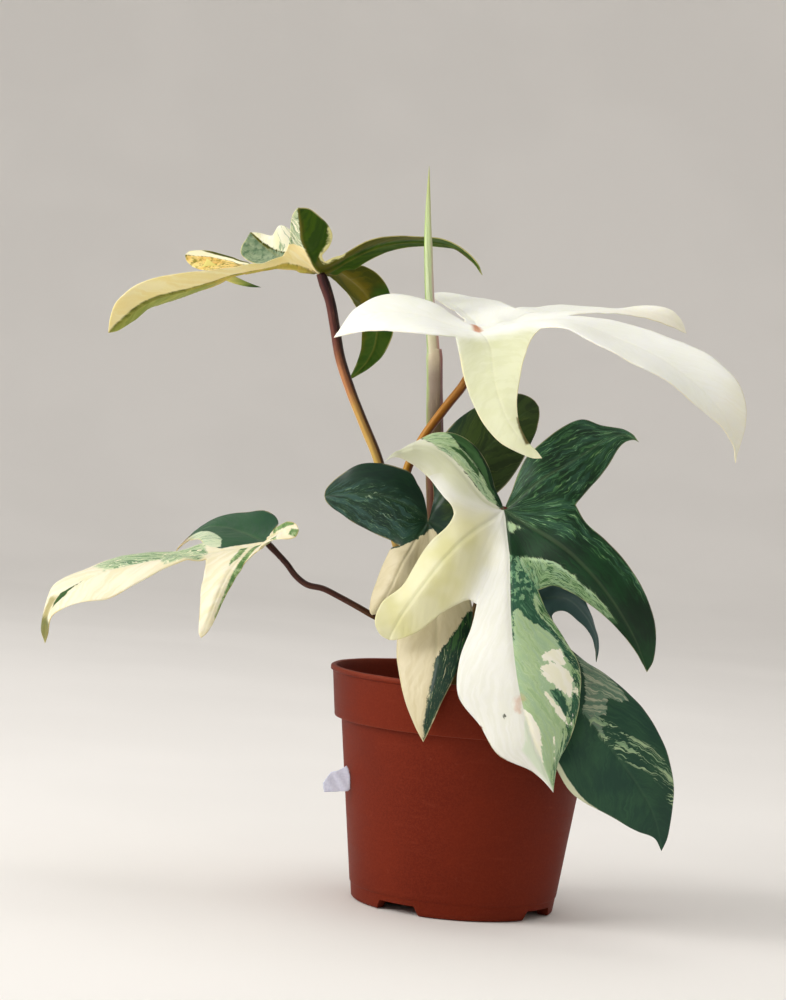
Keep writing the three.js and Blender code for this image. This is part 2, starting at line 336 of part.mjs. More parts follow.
      [[38.9,-14.5,0.7,-64.7,133.5], [38,0,13.8,-67.2,137.8], [35.3,11.9,25,-64.4,141.2]],
      [[48.6,-17.2,-0.9,-65.1,124.1], [46.6,0,14.7,-69.9,129.8], [43.5,15.3,29,-64.9,133.4]],
      [[60.3,-23,-4.5,-66.7,111.1], [58.3,0,16.4,-73.1,118.7], [55.6,21.4,36.4,-66.6,123.5]],
      [[74.5,-25.8,-3.9,-69,96.1], [71.4,0,19,-75.8,106], [70.7,26.8,44.2,-68.9,112]],
      [[86.8,-19.8,5.7,-71.1,84.9], [84.5,0,22.6,-77.1,93.6], [87.7,23.6,45.2,-71.1,98]],
      [[100.4,-15.5,14.9,-72.3,73.2], [97.6,0,27.7,-76.5,81.5], [101.7,15.5,43,-72.3,84.1]],
      [[109.6,-6,27.5,-72.4,68.7], [109.5,0,32.6,-74.6,70.9], [110.8,6.4,38.5,-72.4,72.5]],
      [[117,-1.7,34.4,-72.2,63.7], [117.2,0,35.8,-72.9,64], [117.6,2.1,37.7,-72.2,64.6]],
    ]},
    {"tip": [60.2, 75.6, 72.6, -52, 110.3], "rows": [
      [[17.8,5.5,16.8,-58.2,156.7], [8.7,11,20.4,-57.1,166.4], [0.9,15.1,23.2,-55.6,174.5]],
      [[35.3,11.9,25,-64.4,141.2], [17.3,21.7,31.9,-61.7,160.5], [1.6,30.2,37.7,-59.1,176.8]],
      [[34.8,19.7,30.4,-63.8,143.4], [21.4,26.9,37.2,-63.6,157], [7.3,31.7,42.1,-59.2,170.4]],
      [[37.6,28.8,38.5,-63.7,141.2], [27.1,34.1,44.1,-65.5,151.3], [13.3,40.2,51,-59.9,163.6]],
      [[42.1,38.6,46.9,-63.1,136.7], [33.5,42.1,51.4,-66.2,144.1], [20.7,50.3,60.4,-60.3,154.9]],
      [[46.6,48.7,54.9,-61.3,131.1], [40.1,50.4,58.1,-64.5,136.1], [29.7,59.4,67.8,-59.5,144.4]],
      [[51.5,58.5,62.1,-58.4,124.4], [47.1,59.2,64.2,-60.9,127.4], [39.6,67.3,73.3,-57.5,132.7]],
      [[55.7,67.2,67.8,-55.3,117.8], [53.6,67.3,68.8,-56.7,119.1], [49.3,72.6,75,-54.9,121.3]],
      [[58.7,72.6,70.9,-53.2,113], [57.8,72.6,71.3,-53.7,113.5], [56.1,75.3,74.4,-53.1,114]],
    ]},
    {"tip": [-34.3, 56.5, 61.2, -60, 204.3], "rows": [
      [[0.9,15.1,23.2,-55.6,174.5], [-4.9,8,15.1,-54.6,178.5], [-7.7,4,11.4,-52.1,180.3]],
      [[1.6,30.2,37.7,-59.1,176.8], [-9.6,15.8,21.4,-56.5,184.9], [-15.2,8.1,13.6,-52.5,188.7]],
      [[-3.5,34.1,39.8,-57.6,180], [-12.1,19.9,25.1,-57,187.8], [-19.9,10.5,16,-52.3,194.4]],
      [[-7.9,37.6,43.1,-55.8,184.4], [-15.5,25.5,30.7,-56.9,191.4], [-26.5,16.7,21.6,-51.9,200.9]],
      [[-11.9,41.7,47,-54.1,189.3], [-19.5,32,36.8,-56.3,195.8], [-32.6,25.2,28.9,-51.5,207.4]],
      [[-16.6,45.6,50.3,-53.6,194.6], [-23.4,38.5,42.8,-56,200.5], [-35.8,33.8,37.5,-52,212]],
      [[-22.7,49.2,53,-54.9,200.3], [-27.3,45,49,-56.7,204.8], [-32.8,41.2,46.2,-54.1,210.2]],
      [[-28.8,52.7,56.4,-57.2,204.4], [-30.7,50.5,55,-58.2,206.7], [-32.9,48.7,54.7,-56.8,209.3]],
      [[-32.7,54.9,59.5,-59,205.3], [-32.9,54.2,58.9,-59.3,205.6], [-34,53.4,59.4,-58.8,206.8]],
    ]},
  ]},
  "middle": {"J": [-22.6, -30, 164.6], "lobes": [
    {"tip": [-30.2, -38.2, -67, -28, 171.6], "rows": [
      [[-8,-0.8,-24.4,-29,172.5], [-3,-3.8,-26.2,-31.3,167.5], [5,-6.6,-28,-33.2,159.1]],
      [[-15.3,-2.5,-28.2,-29,179.7], [-5.8,-7.4,-30.1,-32.5,169.7], [9.4,-13.8,-33.3,-36.5,153.6]],
      [[-19.3,-3,-30.9,-29.5,183.8], [-8.2,-10.4,-33.5,-33.3,171.3], [5.8,-19,-36.9,-34.6,155.2]],
      [[-23.4,-7.1,-37.2,-30.3,186.2], [-11.5,-14.6,-38.5,-34.3,172.8], [1.7,-24.3,-42.1,-33.1,156.8]],
      [[-27,-12.1,-44.8,-31.1,187.3], [-15.2,-19.3,-44.4,-34.9,174], [-4.4,-30.5,-47.9,-32.2,159.1]],
      [[-30.3,-17.7,-52.6,-31.5,186.3], [-18.9,-24,-50.3,-34.5,173.8], [-11.9,-35.3,-53.7,-31.5,161.4]],
      [[-31.6,-25,-59.1,-30.9,182.3], [-22.8,-28.9,-56.4,-32.9,173.3], [-18.7,-37.4,-59.1,-30.5,164.6]],
      [[-31.9,-31.8,-64.3,-29.6,177.7], [-26.4,-33.5,-61.7,-30.7,172.7], [-24.5,-39.2,-63.8,-29.3,167.3]],
      [[-31.3,-36,-66.7,-28.6,174], [-28.8,-36.5,-65.1,-29,172], [-28.3,-39.1,-66.3,-28.5,169.7]],
    ]},
    {"tip": [39.1, -28.6, -42.5, -42, 124], "rows": [
      [[5,-6.6,-28,-33.2,159.1], [9.1,-6.7,-27.2,-35.9,156.1], [17.6,-4.8,-24.2,-36.7,147.8]],
      [[9.4,-13.8,-33.3,-36.5,153.6], [17.7,-12.9,-31.2,-40.5,147.5], [34.9,-10.3,-25.9,-43.5,130.9]],
      [[9.8,-16.6,-36.5,-35.8,152.6], [19.9,-14.5,-32.2,-41.4,145.1], [34.2,-13.6,-27.7,-42.3,131.5]],
      [[13.1,-20.5,-38.5,-36,148.2], [22.9,-16.8,-33.4,-42.4,141.7], [34.1,-16.2,-30.2,-41.5,130.9]],
      [[17.8,-24.7,-40.4,-36.7,143.2], [26.3,-19.2,-34.8,-43,137.7], [35.1,-18.8,-32.8,-41,129.4]],
      [[23.5,-27.7,-41.8,-37.9,138], [29.7,-21.7,-36.4,-43.2,133.9], [36.3,-21.4,-35.3,-40.9,127.7]],
      [[29.3,-29.7,-43.2,-39.4,132.9], [33.1,-24.2,-38.3,-42.9,130.1], [37.5,-24,-37.8,-41.1,126.1]],
      [[34.5,-30.3,-43.7,-40.7,128.3], [36.1,-26.4,-40.2,-42.5,127], [38.3,-26.2,-40.1,-41.5,125]],
      [[37.8,-29.8,-43.5,-41.6,125.3], [38,-27.8,-41.7,-42.2,125.1], [38.8,-27.7,-41.6,-41.8,124.3]],
    ]},
    {"tip": [97.6, 0, -16.7, -66, 75.7], "rows": [
      [[17.6,-4.8,-24.2,-36.7,147.8], [18.3,0,-19.4,-38.4,148.6], [17.1,7.5,-12.5,-35.4,149.9]],
      [[34.9,-10.3,-25.9,-43.5,130.9], [36.3,0,-16.5,-46.5,132.8], [33.9,15.4,-2.5,-40.8,135.2]],
      [[40.2,-14.3,-29.5,-45,126.1], [42.7,0,-15.6,-49.3,127.1], [40.9,15.3,-0.8,-45.8,129.3]],
      [[49.7,-17,-31,-48.2,117.8], [51.7,0,-14.8,-53.2,119.1], [50.5,13.6,-1.3,-51.8,120.7]],
      [[61.6,-17,-30.5,-52.6,108.2], [61.8,0,-14.4,-57.5,110], [60.7,10.7,-3.7,-57.7,111.1]],
      [[73.2,-13.7,-28.2,-57.4,99.1], [71.7,0,-15.2,-61.6,101], [70.6,8.6,-6.6,-62.5,101.6]],
      [[83.2,-9.2,-25,-61.6,90.2], [81.3,0,-16.2,-64.4,91.9], [80.4,5.9,-10.4,-65.4,92.4]],
      [[90.6,-4.4,-21.2,-64.1,82.8], [89.4,0,-17,-65.5,83.8], [89.1,3.6,-13.4,-66.2,84]],
      [[95.1,-1.6,-18.4,-65.4,78.2], [94.7,0,-16.9,-65.9,78.6], [94.7,1.5,-15.4,-66.1,78.6]],
    ]},
    {"tip": [28.1, 41.6, 19.7, -30, 141.4], "rows": [
      [[17.1,7.5,-12.5,-35.4,149.9], [5.6,8.3,-13.6,-32.7,161.1], [1.4,8.4,-14.2,-31.4,165.1]],
      [[33.9,15.4,-2.5,-40.8,135.2], [11.1,16.5,-4.8,-35.1,157.3], [2,17,-5.8,-32.9,165.6]],
      [[32,18,-1,-39.2,137.1], [12.8,18.9,-2.2,-35.6,156], [3.6,20,-2.2,-32.9,164.8]],
      [[29.8,21,1.5,-37.4,139.4], [15.1,22.3,1.4,-36,154.1], [6.1,24.4,2.5,-33.1,162.8]],
      [[28,25,4.9,-35.7,141.5], [17.7,26.2,5.4,-35.8,151.8], [9.9,29.1,7.3,-33.1,159.4]],
      [[27.3,29.6,8.7,-34,142.4], [20.4,30.1,9.4,-34.9,149.3], [14.1,33.3,11.8,-32.7,155.6]],
      [[27.4,34.1,12.7,-32.4,142.5], [23.1,34.2,13.2,-33.4,146.6], [18.8,36.9,15.5,-31.9,150.9]],
      [[27.6,37.9,16.2,-31.1,142.2], [25.6,37.9,16.5,-31.8,144.1], [23.3,39.4,17.9,-31,146.4]],
      [[27.9,40.3,18.5,-30.4,141.8], [27.2,40.3,18.6,-30.6,142.4], [26.3,40.9,19.1,-30.4,143.3]],
    ]},
    {"tip": [-55, 43.7, 20.3, -16, 216.3], "rows": [
      [[1.4,8.4,-14.2,-31.4,165.1], [-5.3,4.2,-19.9,-30.5,170.8], [-8.8,3.1,-20.9,-28.5,173.7]],
      [[2,17,-5.8,-32.9,165.6], [-10.5,8.3,-16.6,-30.7,176.5], [-17.9,2.4,-22.9,-27.5,182.9]],
      [[-3.5,22.8,-2,-30.1,170], [-14.8,11.7,-13.4,-30.2,181], [-24.4,2.7,-22.7,-26.5,189.6]],
      [[-10.5,29.3,3.3,-26.3,176.2], [-20.9,16.6,-8.8,-28.5,187], [-33.5,5.5,-20.3,-24.5,198.6]],
      [[-18.6,36.3,9.6,-22.1,183.2], [-28.1,22.3,-3.3,-25.4,193.7], [-42.6,11.6,-14.3,-21.6,207.5]],
      [[-27.4,41.3,14.3,-18.8,191.3], [-35.4,28.2,2.3,-22.1,200.4], [-49.7,19.7,-6.1,-19,214.4]],
      [[-36.7,44.6,17.9,-16.9,200.1], [-42.6,33.9,8.1,-19.4,207.1], [-55,28.5,3.4,-17.3,219.6]],
      [[-45.8,46.6,20.3,-16.2,208], [-48.9,38.9,13.5,-17.6,212.7], [-57.1,36.3,12.5,-16.5,221.2]],
      [[-52.3,45.5,20.7,-16.1,213.3], [-52.8,42,17.7,-16.6,215.2], [-56.4,40.9,18.1,-16.2,219]],
    ]},
  ]},
  "lower_right": {"J": [15.7, -42, 126.7], "lobes": [
    {"tip": [-27, -9.3, 1.4, -44, 149.4], "rows": [
      [[-3.7,0.2,13.2,-43.1,129.1], [-4.5,-1.5,13.8,-44.2,130.4], [2.4,-5.7,12.9,-45.7,122.6]],
      [[-7.3,-0.8,11.4,-44.3,131.9], [-8.7,-3,11.6,-46,133.9], [4.8,-11.4,10.1,-49.3,118.4]],
      [[-9.5,-1.4,10.5,-44.7,133.8], [-10.6,-3.7,10.5,-46.6,135.5], [2.2,-12,7.4,-48.3,120.6]],
      [[-12.4,-2.3,9.2,-45.2,136.3], [-13.2,-4.5,8.9,-47.2,137.6], [-1.7,-12.1,4.9,-47.3,124.4]],
      [[-15.8,-3.4,7.5,-45.5,139.1], [-16,-5.5,7.2,-47.4,140.1], [-6.8,-12.1,3.1,-46.4,129.5]],
      [[-19,-4.8,5.6,-45.5,141.7], [-18.8,-6.5,5.6,-47,142.6], [-12.4,-12.7,1.5,-45.7,134.7]],
      [[-22.1,-6.2,3.8,-45.2,144.4], [-21.7,-7.5,4.1,-46.2,145], [-18,-12.5,0.6,-45.1,140]],
      [[-24.6,-7.6,2.4,-44.6,146.8], [-24.3,-8.4,2.7,-45.2,147.2], [-22.7,-11.5,0.3,-44.5,144.7]],
      [[-26.2,-8.7,1.7,-44.2,148.5], [-26,-9,1.9,-44.4,148.6], [-25.5,-10.2,0.9,-44.2,147.7]],
    ]},
    {"tip": [25.1, -33.2, 8.3, -65, 94.1], "rows": [
      [[2.4,-5.7,12.9,-45.7,122.6], [4.6,-6.1,13.9,-47.5,121.6], [10.5,-4.4,18.5,-48,117.4]],
      [[4.8,-11.4,10.1,-49.3,118.4], [9.1,-12.1,12.3,-52.6,116.5], [21,-8.9,21.2,-54,108.1]],
      [[5.2,-14.8,7.8,-51.1,116.7], [10.9,-14.5,11.6,-54.7,114.4], [19.2,-11.3,18.8,-54.8,109.1]],
      [[6.6,-19.3,5.3,-53.9,113.7], [13.4,-17.8,10.8,-57.4,111.3], [18.5,-14.5,16.1,-56.4,108.7]],
      [[9.4,-24,3.7,-56.9,109.6], [16.1,-21.4,10,-60,107.8], [20.6,-18.5,14.4,-58.4,105.4]],
      [[13,-27.8,3.4,-59.6,105.1], [18.6,-24.7,9.2,-62,104.2], [23.2,-22.2,13.6,-60.4,101.9]],
      [[17.1,-30.6,4.3,-61.9,100.7], [21,-27.9,8.7,-63.4,100.6], [25,-26.2,12.4,-62.2,98.6]],
      [[20.9,-32.4,5.8,-63.6,97.2], [23,-30.6,8.5,-64.3,97.3], [25.6,-29.7,10.7,-63.6,96.1]],
      [[23.5,-33,7.3,-64.5,95.1], [24.3,-32.3,8.4,-64.8,95.2], [25.3,-32,9.3,-64.5,94.7]],
    ]},
    {"tip": [121.3, 0, 84.4, -53, 37.6], "rows": [
      [[10.5,-4.4,18.5,-48,117.4], [11.6,0,21.9,-49.4,120.2], [9.7,6.5,26.5,-45.4,123.7]],
      [[21,-8.9,21.2,-54,108.1], [22.3,0,28,-55.3,113.7], [18.9,13.8,37.3,-48.7,120.6]],
      [[30.2,-14.2,23,-56.4,98.4], [32.2,0,34.2,-58.9,106.9], [31.9,15.7,45.3,-50.4,114]],
      [[43.6,-18.8,28.5,-58.9,85.6], [45.7,0,43.1,-62.2,97.3], [47,20.2,58.1,-52.7,106.9]],
      [[59.7,-22.5,36.4,-61.2,72], [60.8,0,53.4,-64.7,86.5], [64.6,22,71,-55.5,96.6]],
      [[76.8,-24,45.8,-61.8,59.2], [76,0,63.5,-64.7,75.2], [81.9,19.7,80.8,-57.2,83.2]],
      [[93.8,-17.3,60.2,-59.9,51.9], [91.8,0,73.4,-61.9,63.2], [97,13.7,86.6,-56.9,67.3]],
      [[108.4,-9,73.2,-56.8,45.6], [106.3,0,80.4,-57.8,51.2], [108.8,6.8,87.2,-55.3,52.4]],
      [[116,-1.7,81.7,-54.4,42.1], [115.9,0,83.3,-54.8,42.6], [116.8,2.9,86.2,-53.9,42.7]],
    ]},
    {"tip": [-0.8, 57.9, 52.6, -36, 111.7], "rows": [
      [[9.7,6.5,26.5,-45.4,123.7], [-0.1,7.7,21.5,-42.4,131.9], [-2.9,8.2,20.1,-42.7,134.2]],
      [[18.9,13.8,37.3,-48.7,120.6], [-0.2,15.5,27.6,-42.2,136.7], [-6.5,16.2,24.5,-43.4,141.7]],
      [[15,20,34.6,-48.7,124.2], [-0.3,19.6,31.6,-41.6,137.4], [-5.7,18,29.1,-39.7,142.2]],
      [[10.5,21.1,32,-47.1,129.8], [-0.3,25.5,37.3,-40.2,137.7], [-7.4,23.8,36,-35.8,143.3]],
      [[7.3,27.2,36.3,-44.6,132.5], [-0.4,32.6,43.2,-38.5,134.2], [-7.7,30.5,43.2,-32.9,139.3]],
      [[5.4,36.3,42.9,-41.9,128.9], [-0.5,39.5,47.7,-37.2,129.1], [-6.6,37.4,47.9,-31.9,132.7]],
      [[3.2,44.5,48.2,-39.5,123.8], [-0.6,46.3,51,-36.5,123.2], [-4.7,44.6,50.9,-32.6,125.3]],
      [[1.2,51.4,50.9,-37.7,118], [-0.7,52,52.1,-36.2,117.6], [-2.9,51.2,52.7,-34.1,118.6]],
      [[-0.2,55.6,52.1,-36.6,114], [-0.7,55.8,52.4,-36.1,113.8], [-1.6,55.5,52.8,-35.3,114.2]],
    ]},
    {"tip": [-19.1, 36, 35.3, -44, 161.7], "rows": [
      [[-2.9,8.2,20.1,-42.7,134.2], [-3.7,6.9,18.7,-43.2,133.8], [-4,3.3,15.8,-42.1,132.1]],
      [[-6.5,16.2,24.5,-43.4,141.7], [-7.3,13.8,22.3,-44.6,140.6], [-7.7,6.9,16.5,-42.9,137.3]],
      [[-6.8,18.6,25.9,-43.2,143.5], [-8.5,16.1,23.6,-45.1,142.8], [-9.7,9.3,17.4,-43.2,140.4]],
      [[-8,21.7,27.7,-43.3,146.2], [-10.2,19.2,25.4,-45.6,145.8], [-12.7,12.9,19,-43.6,144.5]],
      [[-9.7,25.1,29.6,-43.6,149.3], [-12.1,22.7,27.2,-46,149.3], [-15.3,17.5,21.4,-44.1,149]],
      [[-11.9,28.4,31.2,-43.9,152.6], [-13.9,26.2,29.1,-45.9,152.8], [-17.1,22.4,24.4,-44.4,153.2]],
      [[-14.6,31.3,32.6,-44.1,156], [-15.8,29.7,31.2,-45.5,156.1], [-18.3,27.2,27.9,-44.4,156.8]],
      [[-16.9,33.6,33.9,-44.1,158.9], [-17.4,32.8,33.2,-44.8,159], [-18.9,31.5,31.4,-44.3,159.5]],
      [[-18.3,35.2,34.8,-44,160.7], [-18.5,34.9,34.6,-44.3,160.8], [-19.1,34.4,33.9,-44.1,161]],
    ]},
  ]},
};

// rows run from the junction: one half way to the sinus, one at the sinus, the
// rest towards the tip
const ROW_T = [0, 0.1, 0.24, 0.4, 0.56, 0.72, 0.86, 0.95, 1];
const SAMPLE_T = [0, 0.07, 0.19, 0.33, 0.48, 0.63, 0.78, 0.9, 1];
const ACROSS = 2; // facets from midrib to margin

function solveLinear(A, B) {
  const n = A.length;
  const m = B[0].length;
  for (let c = 0; c < n; c++) {
    let p = c;
    for (let r = c + 1; r < n; r++) if (Math.abs(A[r][c]) > Math.abs(A[p][c])) p = r;
    [A[c], A[p]] = [A[p], A[c]];
    [B[c], B[p]] = [B[p], B[c]];
    for (let r = c + 1; r < n; r++) {
      const k = A[r][c] / A[c][c];
      if (k === 0) continue;
      for (let j = c; j < n; j++) A[r][j] -= k * A[c][j];
      for (let j = 0; j < m; j++) B[r][j] -= k * B[c][j];
    }
  }
  const X = B.map(() => new Array(m).fill(0));
  for (let r = n - 1; r >= 0; r--)
    for (let j = 0; j < m; j++) {
      let s = B[r][j];
      for (let c = r + 1; c < n; c++) s -= A[r][c] * X[c][j];
      X[r][j] = s / A[r][r];
    }
  return X;
}

function thinPlate(marks) {
  const n = marks.length;
  const kernel = (d2) => (d2 > 1e-12 ? 0.5 * d2 * Math.log(d2) : 0);
  const A = [];
  const B = [];
  for (let i = 0; i < n; i++) {
    const row = [];
    for (let j = 0; j < n; j++)
      row.push(kernel((marks[i][0] - marks[j][0]) ** 2 + (marks[i][1] - marks[j][1]) ** 2));
    row[i] += 0.5; // a little slack, so that rounding in the marks leaves no ripple
    row.push(1, marks[i][0], marks[i][1]);
    A.push(row);
    B.push([marks[i][2], marks[i][3], marks[i][4]]);
  }
  for (let k = 0; k < 3; k++) {
    const row = marks.map((m) => [1, m[0], m[1]][k]);
    row.push(0, 0, 0);
    A.push(row);
    B.push([0, 0, 0]);
  }
  const W = solveLinear(A, B);
  return (u, v) => {
    const out = [0, 0, 0];
    for (let c = 0; c < 3; c++) out[c] = W[n][c] + W[n + 1][c] * u + W[n + 2][c] * v;
    for (let i = 0; i < n; i++) {
      const k = kernel((u - marks[i][0]) ** 2 + (v - marks[i][1]) ** 2);
      out[0] += W[i][0] * k;
      out[1] += W[i][1] * k;
      out[2] += W[i][2] * k;
    }
    return V(out[0], out[1], out[2]);
  };
}

// smooth curve through flat points at the row positions
function alongRows(points, t) {
  const k = Math.min(Math.max(ROW_T.findIndex((q) => q > t) - 1, 0), ROW_T.length - 2);
  const i = t >= 1 ? ROW_T.length - 2 : k;
  const h = ROW_T[i + 1] - ROW_T[i];
  const s = (t - ROW_T[i]) / h;
  const out = [0, 0];
  for (let c = 0; c < 2; c++) {
    const slope = (a) => {
      if (a === 0) return (points[1][c] - points[0][c]) / (ROW_T[1] - ROW_T[0]);
      if (a === points.length - 1)
        return (points[a][c] - points[a - 1][c]) / (ROW_T[a] - ROW_T[a - 1]);
      const h0 = ROW_T[a] - ROW_T[a - 1], h1 = ROW_T[a + 1] - ROW_T[a];
      const d0 = (points[a][c] - points[a - 1][c]) / h0, d1 = (points[a + 1][c] - points[a][c]) / h1;
      return (d0 * h1 + d1 * h0) / (h0 + h1);
    };
    const p0 = points[i][c], p1 = points[i + 1][c];
    const m0 = slope(i) * h, m1 = slope(i + 1) * h;
    const s2 = s * s, s3 = s2 * s;
    out[c] =
      (2 * s3 - 3 * s2 + 1) * p0 + (s3 - 2 * s2 + s) * m0 + (-2 * s3 + 3 * s2) * p1 + (s3 - s2) * m1;
  }
  return out;
}

function blade(data, thickness) {
  const marks = [[0, 0, ...data.J]];
  const seen = new Set(["0,0"]);
  const push = (m) => {
    const key = `${m[0]},${m[1]}`;
    if (!seen.has(key)) {
      seen.add(key);
      marks.push(m);
    }
  };
  for (const lobe of data.lobes) {
    for (const row of lobe.rows) row.forEach(push);
    push(lobe.tip);
  }
  const surface = thinPlate(marks);
  const pos = [];
  const tri = [];
  const point = ([u, v]) => {
    const e = 0.6;
    const p = surface(u, v);
    const du = surface(u + e, v).sub(surface(u - e, v));
    const dv = surface(u, v + e).sub(surface(u, v - e));
    const n = du.cross(dv).normalize().multiplyScalar(thickness / 2);
    return [p.clone().add(n), p.clone().sub(n)];
  };
  const emit = (a, b, c) => tri.push(a, b, c);
  const put = (p) => {
    pos.push(p.x, p.y, p.z);
    return pos.length / 3 - 1;
  };
  data.lobes.forEach((lobe, l) => {
    const a = [], m = [], b = [];
    lobe.rows.slice(1).forEach((row) => {
      a.push(row[0]);
      m.push(row[1]);
      b.push(row[2]);
    });
    a.push(lobe.tip);
    m.push(lobe.tip);
    b.push(lobe.tip);
    // first the part inside the sinuses, then the free lobe
    const rows = [[0, 0.5], ...SAMPLE_T.map((t) => [1, t])];
    const grid = rows.map(([part, t]) => {
      const A = part ? alongRows(a, t) : [a[0][0] * t, a[0][1] * t];
      const M = part ? alongRows(m, t) : [m[0][0] * t, m[0][1] * t];
      const B = part ? alongRows(b, t) : [b[0][0] * t, b[0][1] * t];
      if (part && t === 1) return [point([lobe.tip[0], lobe.tip[1]])];
      const line = [];
      for (let j = -ACROSS; j <= ACROSS; j++) {
        const w = Math.abs(j) / ACROSS;
        const E = j < 0 ? A : B;
        line.push(point([M[0] + (E[0] - M[0]) * w, M[1] + (E[1] - M[1]) * w]));
      }
      return line;
    });
    const J = point([0, 0]);
    const cols = 2 * ACROSS + 1;
    const id = grid.map((line) => line.map(([t, u]) => [put(t), put(u)]));
    const j0 = [put(J[0]), put(J[1])];
    for (let c = 0; c < cols - 1; c++) {
      emit(j0[0], id[0][c][0], id[0][c + 1][0]);
      emit(j0[1], id[0][c + 1][1], id[0][c][1]);
    }
    for (let r = 0; r < grid.length - 1; r++)
      for (let c = 0; c < cols - 1; c++) {
        if (grid[r + 1].length === 1) {
          const t = id[r + 1][0];
          emit(id[r][c][0], t[0], id[r][c + 1][0]);
          emit(id[r][c][1], id[r][c + 1][1], t[1]);
          continue;
        }
        const [p, q, s, w] = [id[r][c], id[r][c + 1], id[r + 1][c], id[r + 1][c + 1]];
        emit(p[0], s[0], q[0]);
        emit(q[0], s[0], w[0]);
        emit(p[1], q[1], s[1]);
        emit(q[1], w[1], s[1]);
      }
    // the free edges
    const edge = (chain, flip) => {
      for (let k = 0; k < chain.length - 1; k++) {
        const [p, q] = [chain[k], chain[k + 1]];
        if (flip) {
          emit(p[0], q[0], p[1]);
          emit(q[0], q[1], p[1]);
        } else {
          emit(p[0], p[1], q[0]);
          emit(q[0], p[1], q[1]);
        }
      }
    };
    const first = l === 0, last = l === data.lobes.length - 1;
    const left = (first ? [j0, id[0][0]] : []).concat(
      id.slice(1).map((line) => line[0]),
    );
    const right = (last ? [j0, id[0][cols - 1]] : []).concat(
      id.slice(1).map((line) => line[line.length - 1]),
    );
    edge(left, false);
    edge(right, true);
  });
  const g = new THREE.BufferGeometry();
  g.setAttribute("position", new THREE.Float32BufferAttribute(pos, 3));
  g.setIndex(tri);
  const merged = mergeVertices(g, 1e-3);
  merged.computeVertexNormals();
  return merged;
}

const LEAF_COLOR = {
  upper_left: 0xc9c48a,
  lower_left: 0xcfd6b0,
  white: 0xf3f1e4,
  front: 0x6f8f6a,
  middle: 0xcdbf95,
  lower_right: 0x2f4a3a,
};
const BLADE_NAME = {
  upper_left: "leaf_blade_upper_left",
  lower_left: "leaf_blade_lower_left",
  white: "leaf_blade_white",
  front: "leaf_blade_front",
  middle: "leaf_blade_middle",
  lower_right: "leaf_blade_lower_right",
};
for (const key of Object.keys(BLADES))
  addMesh(BLADE_NAME[key], blade(BLADES[key], BLADE_T), LEAF_COLOR[key], 0.45);

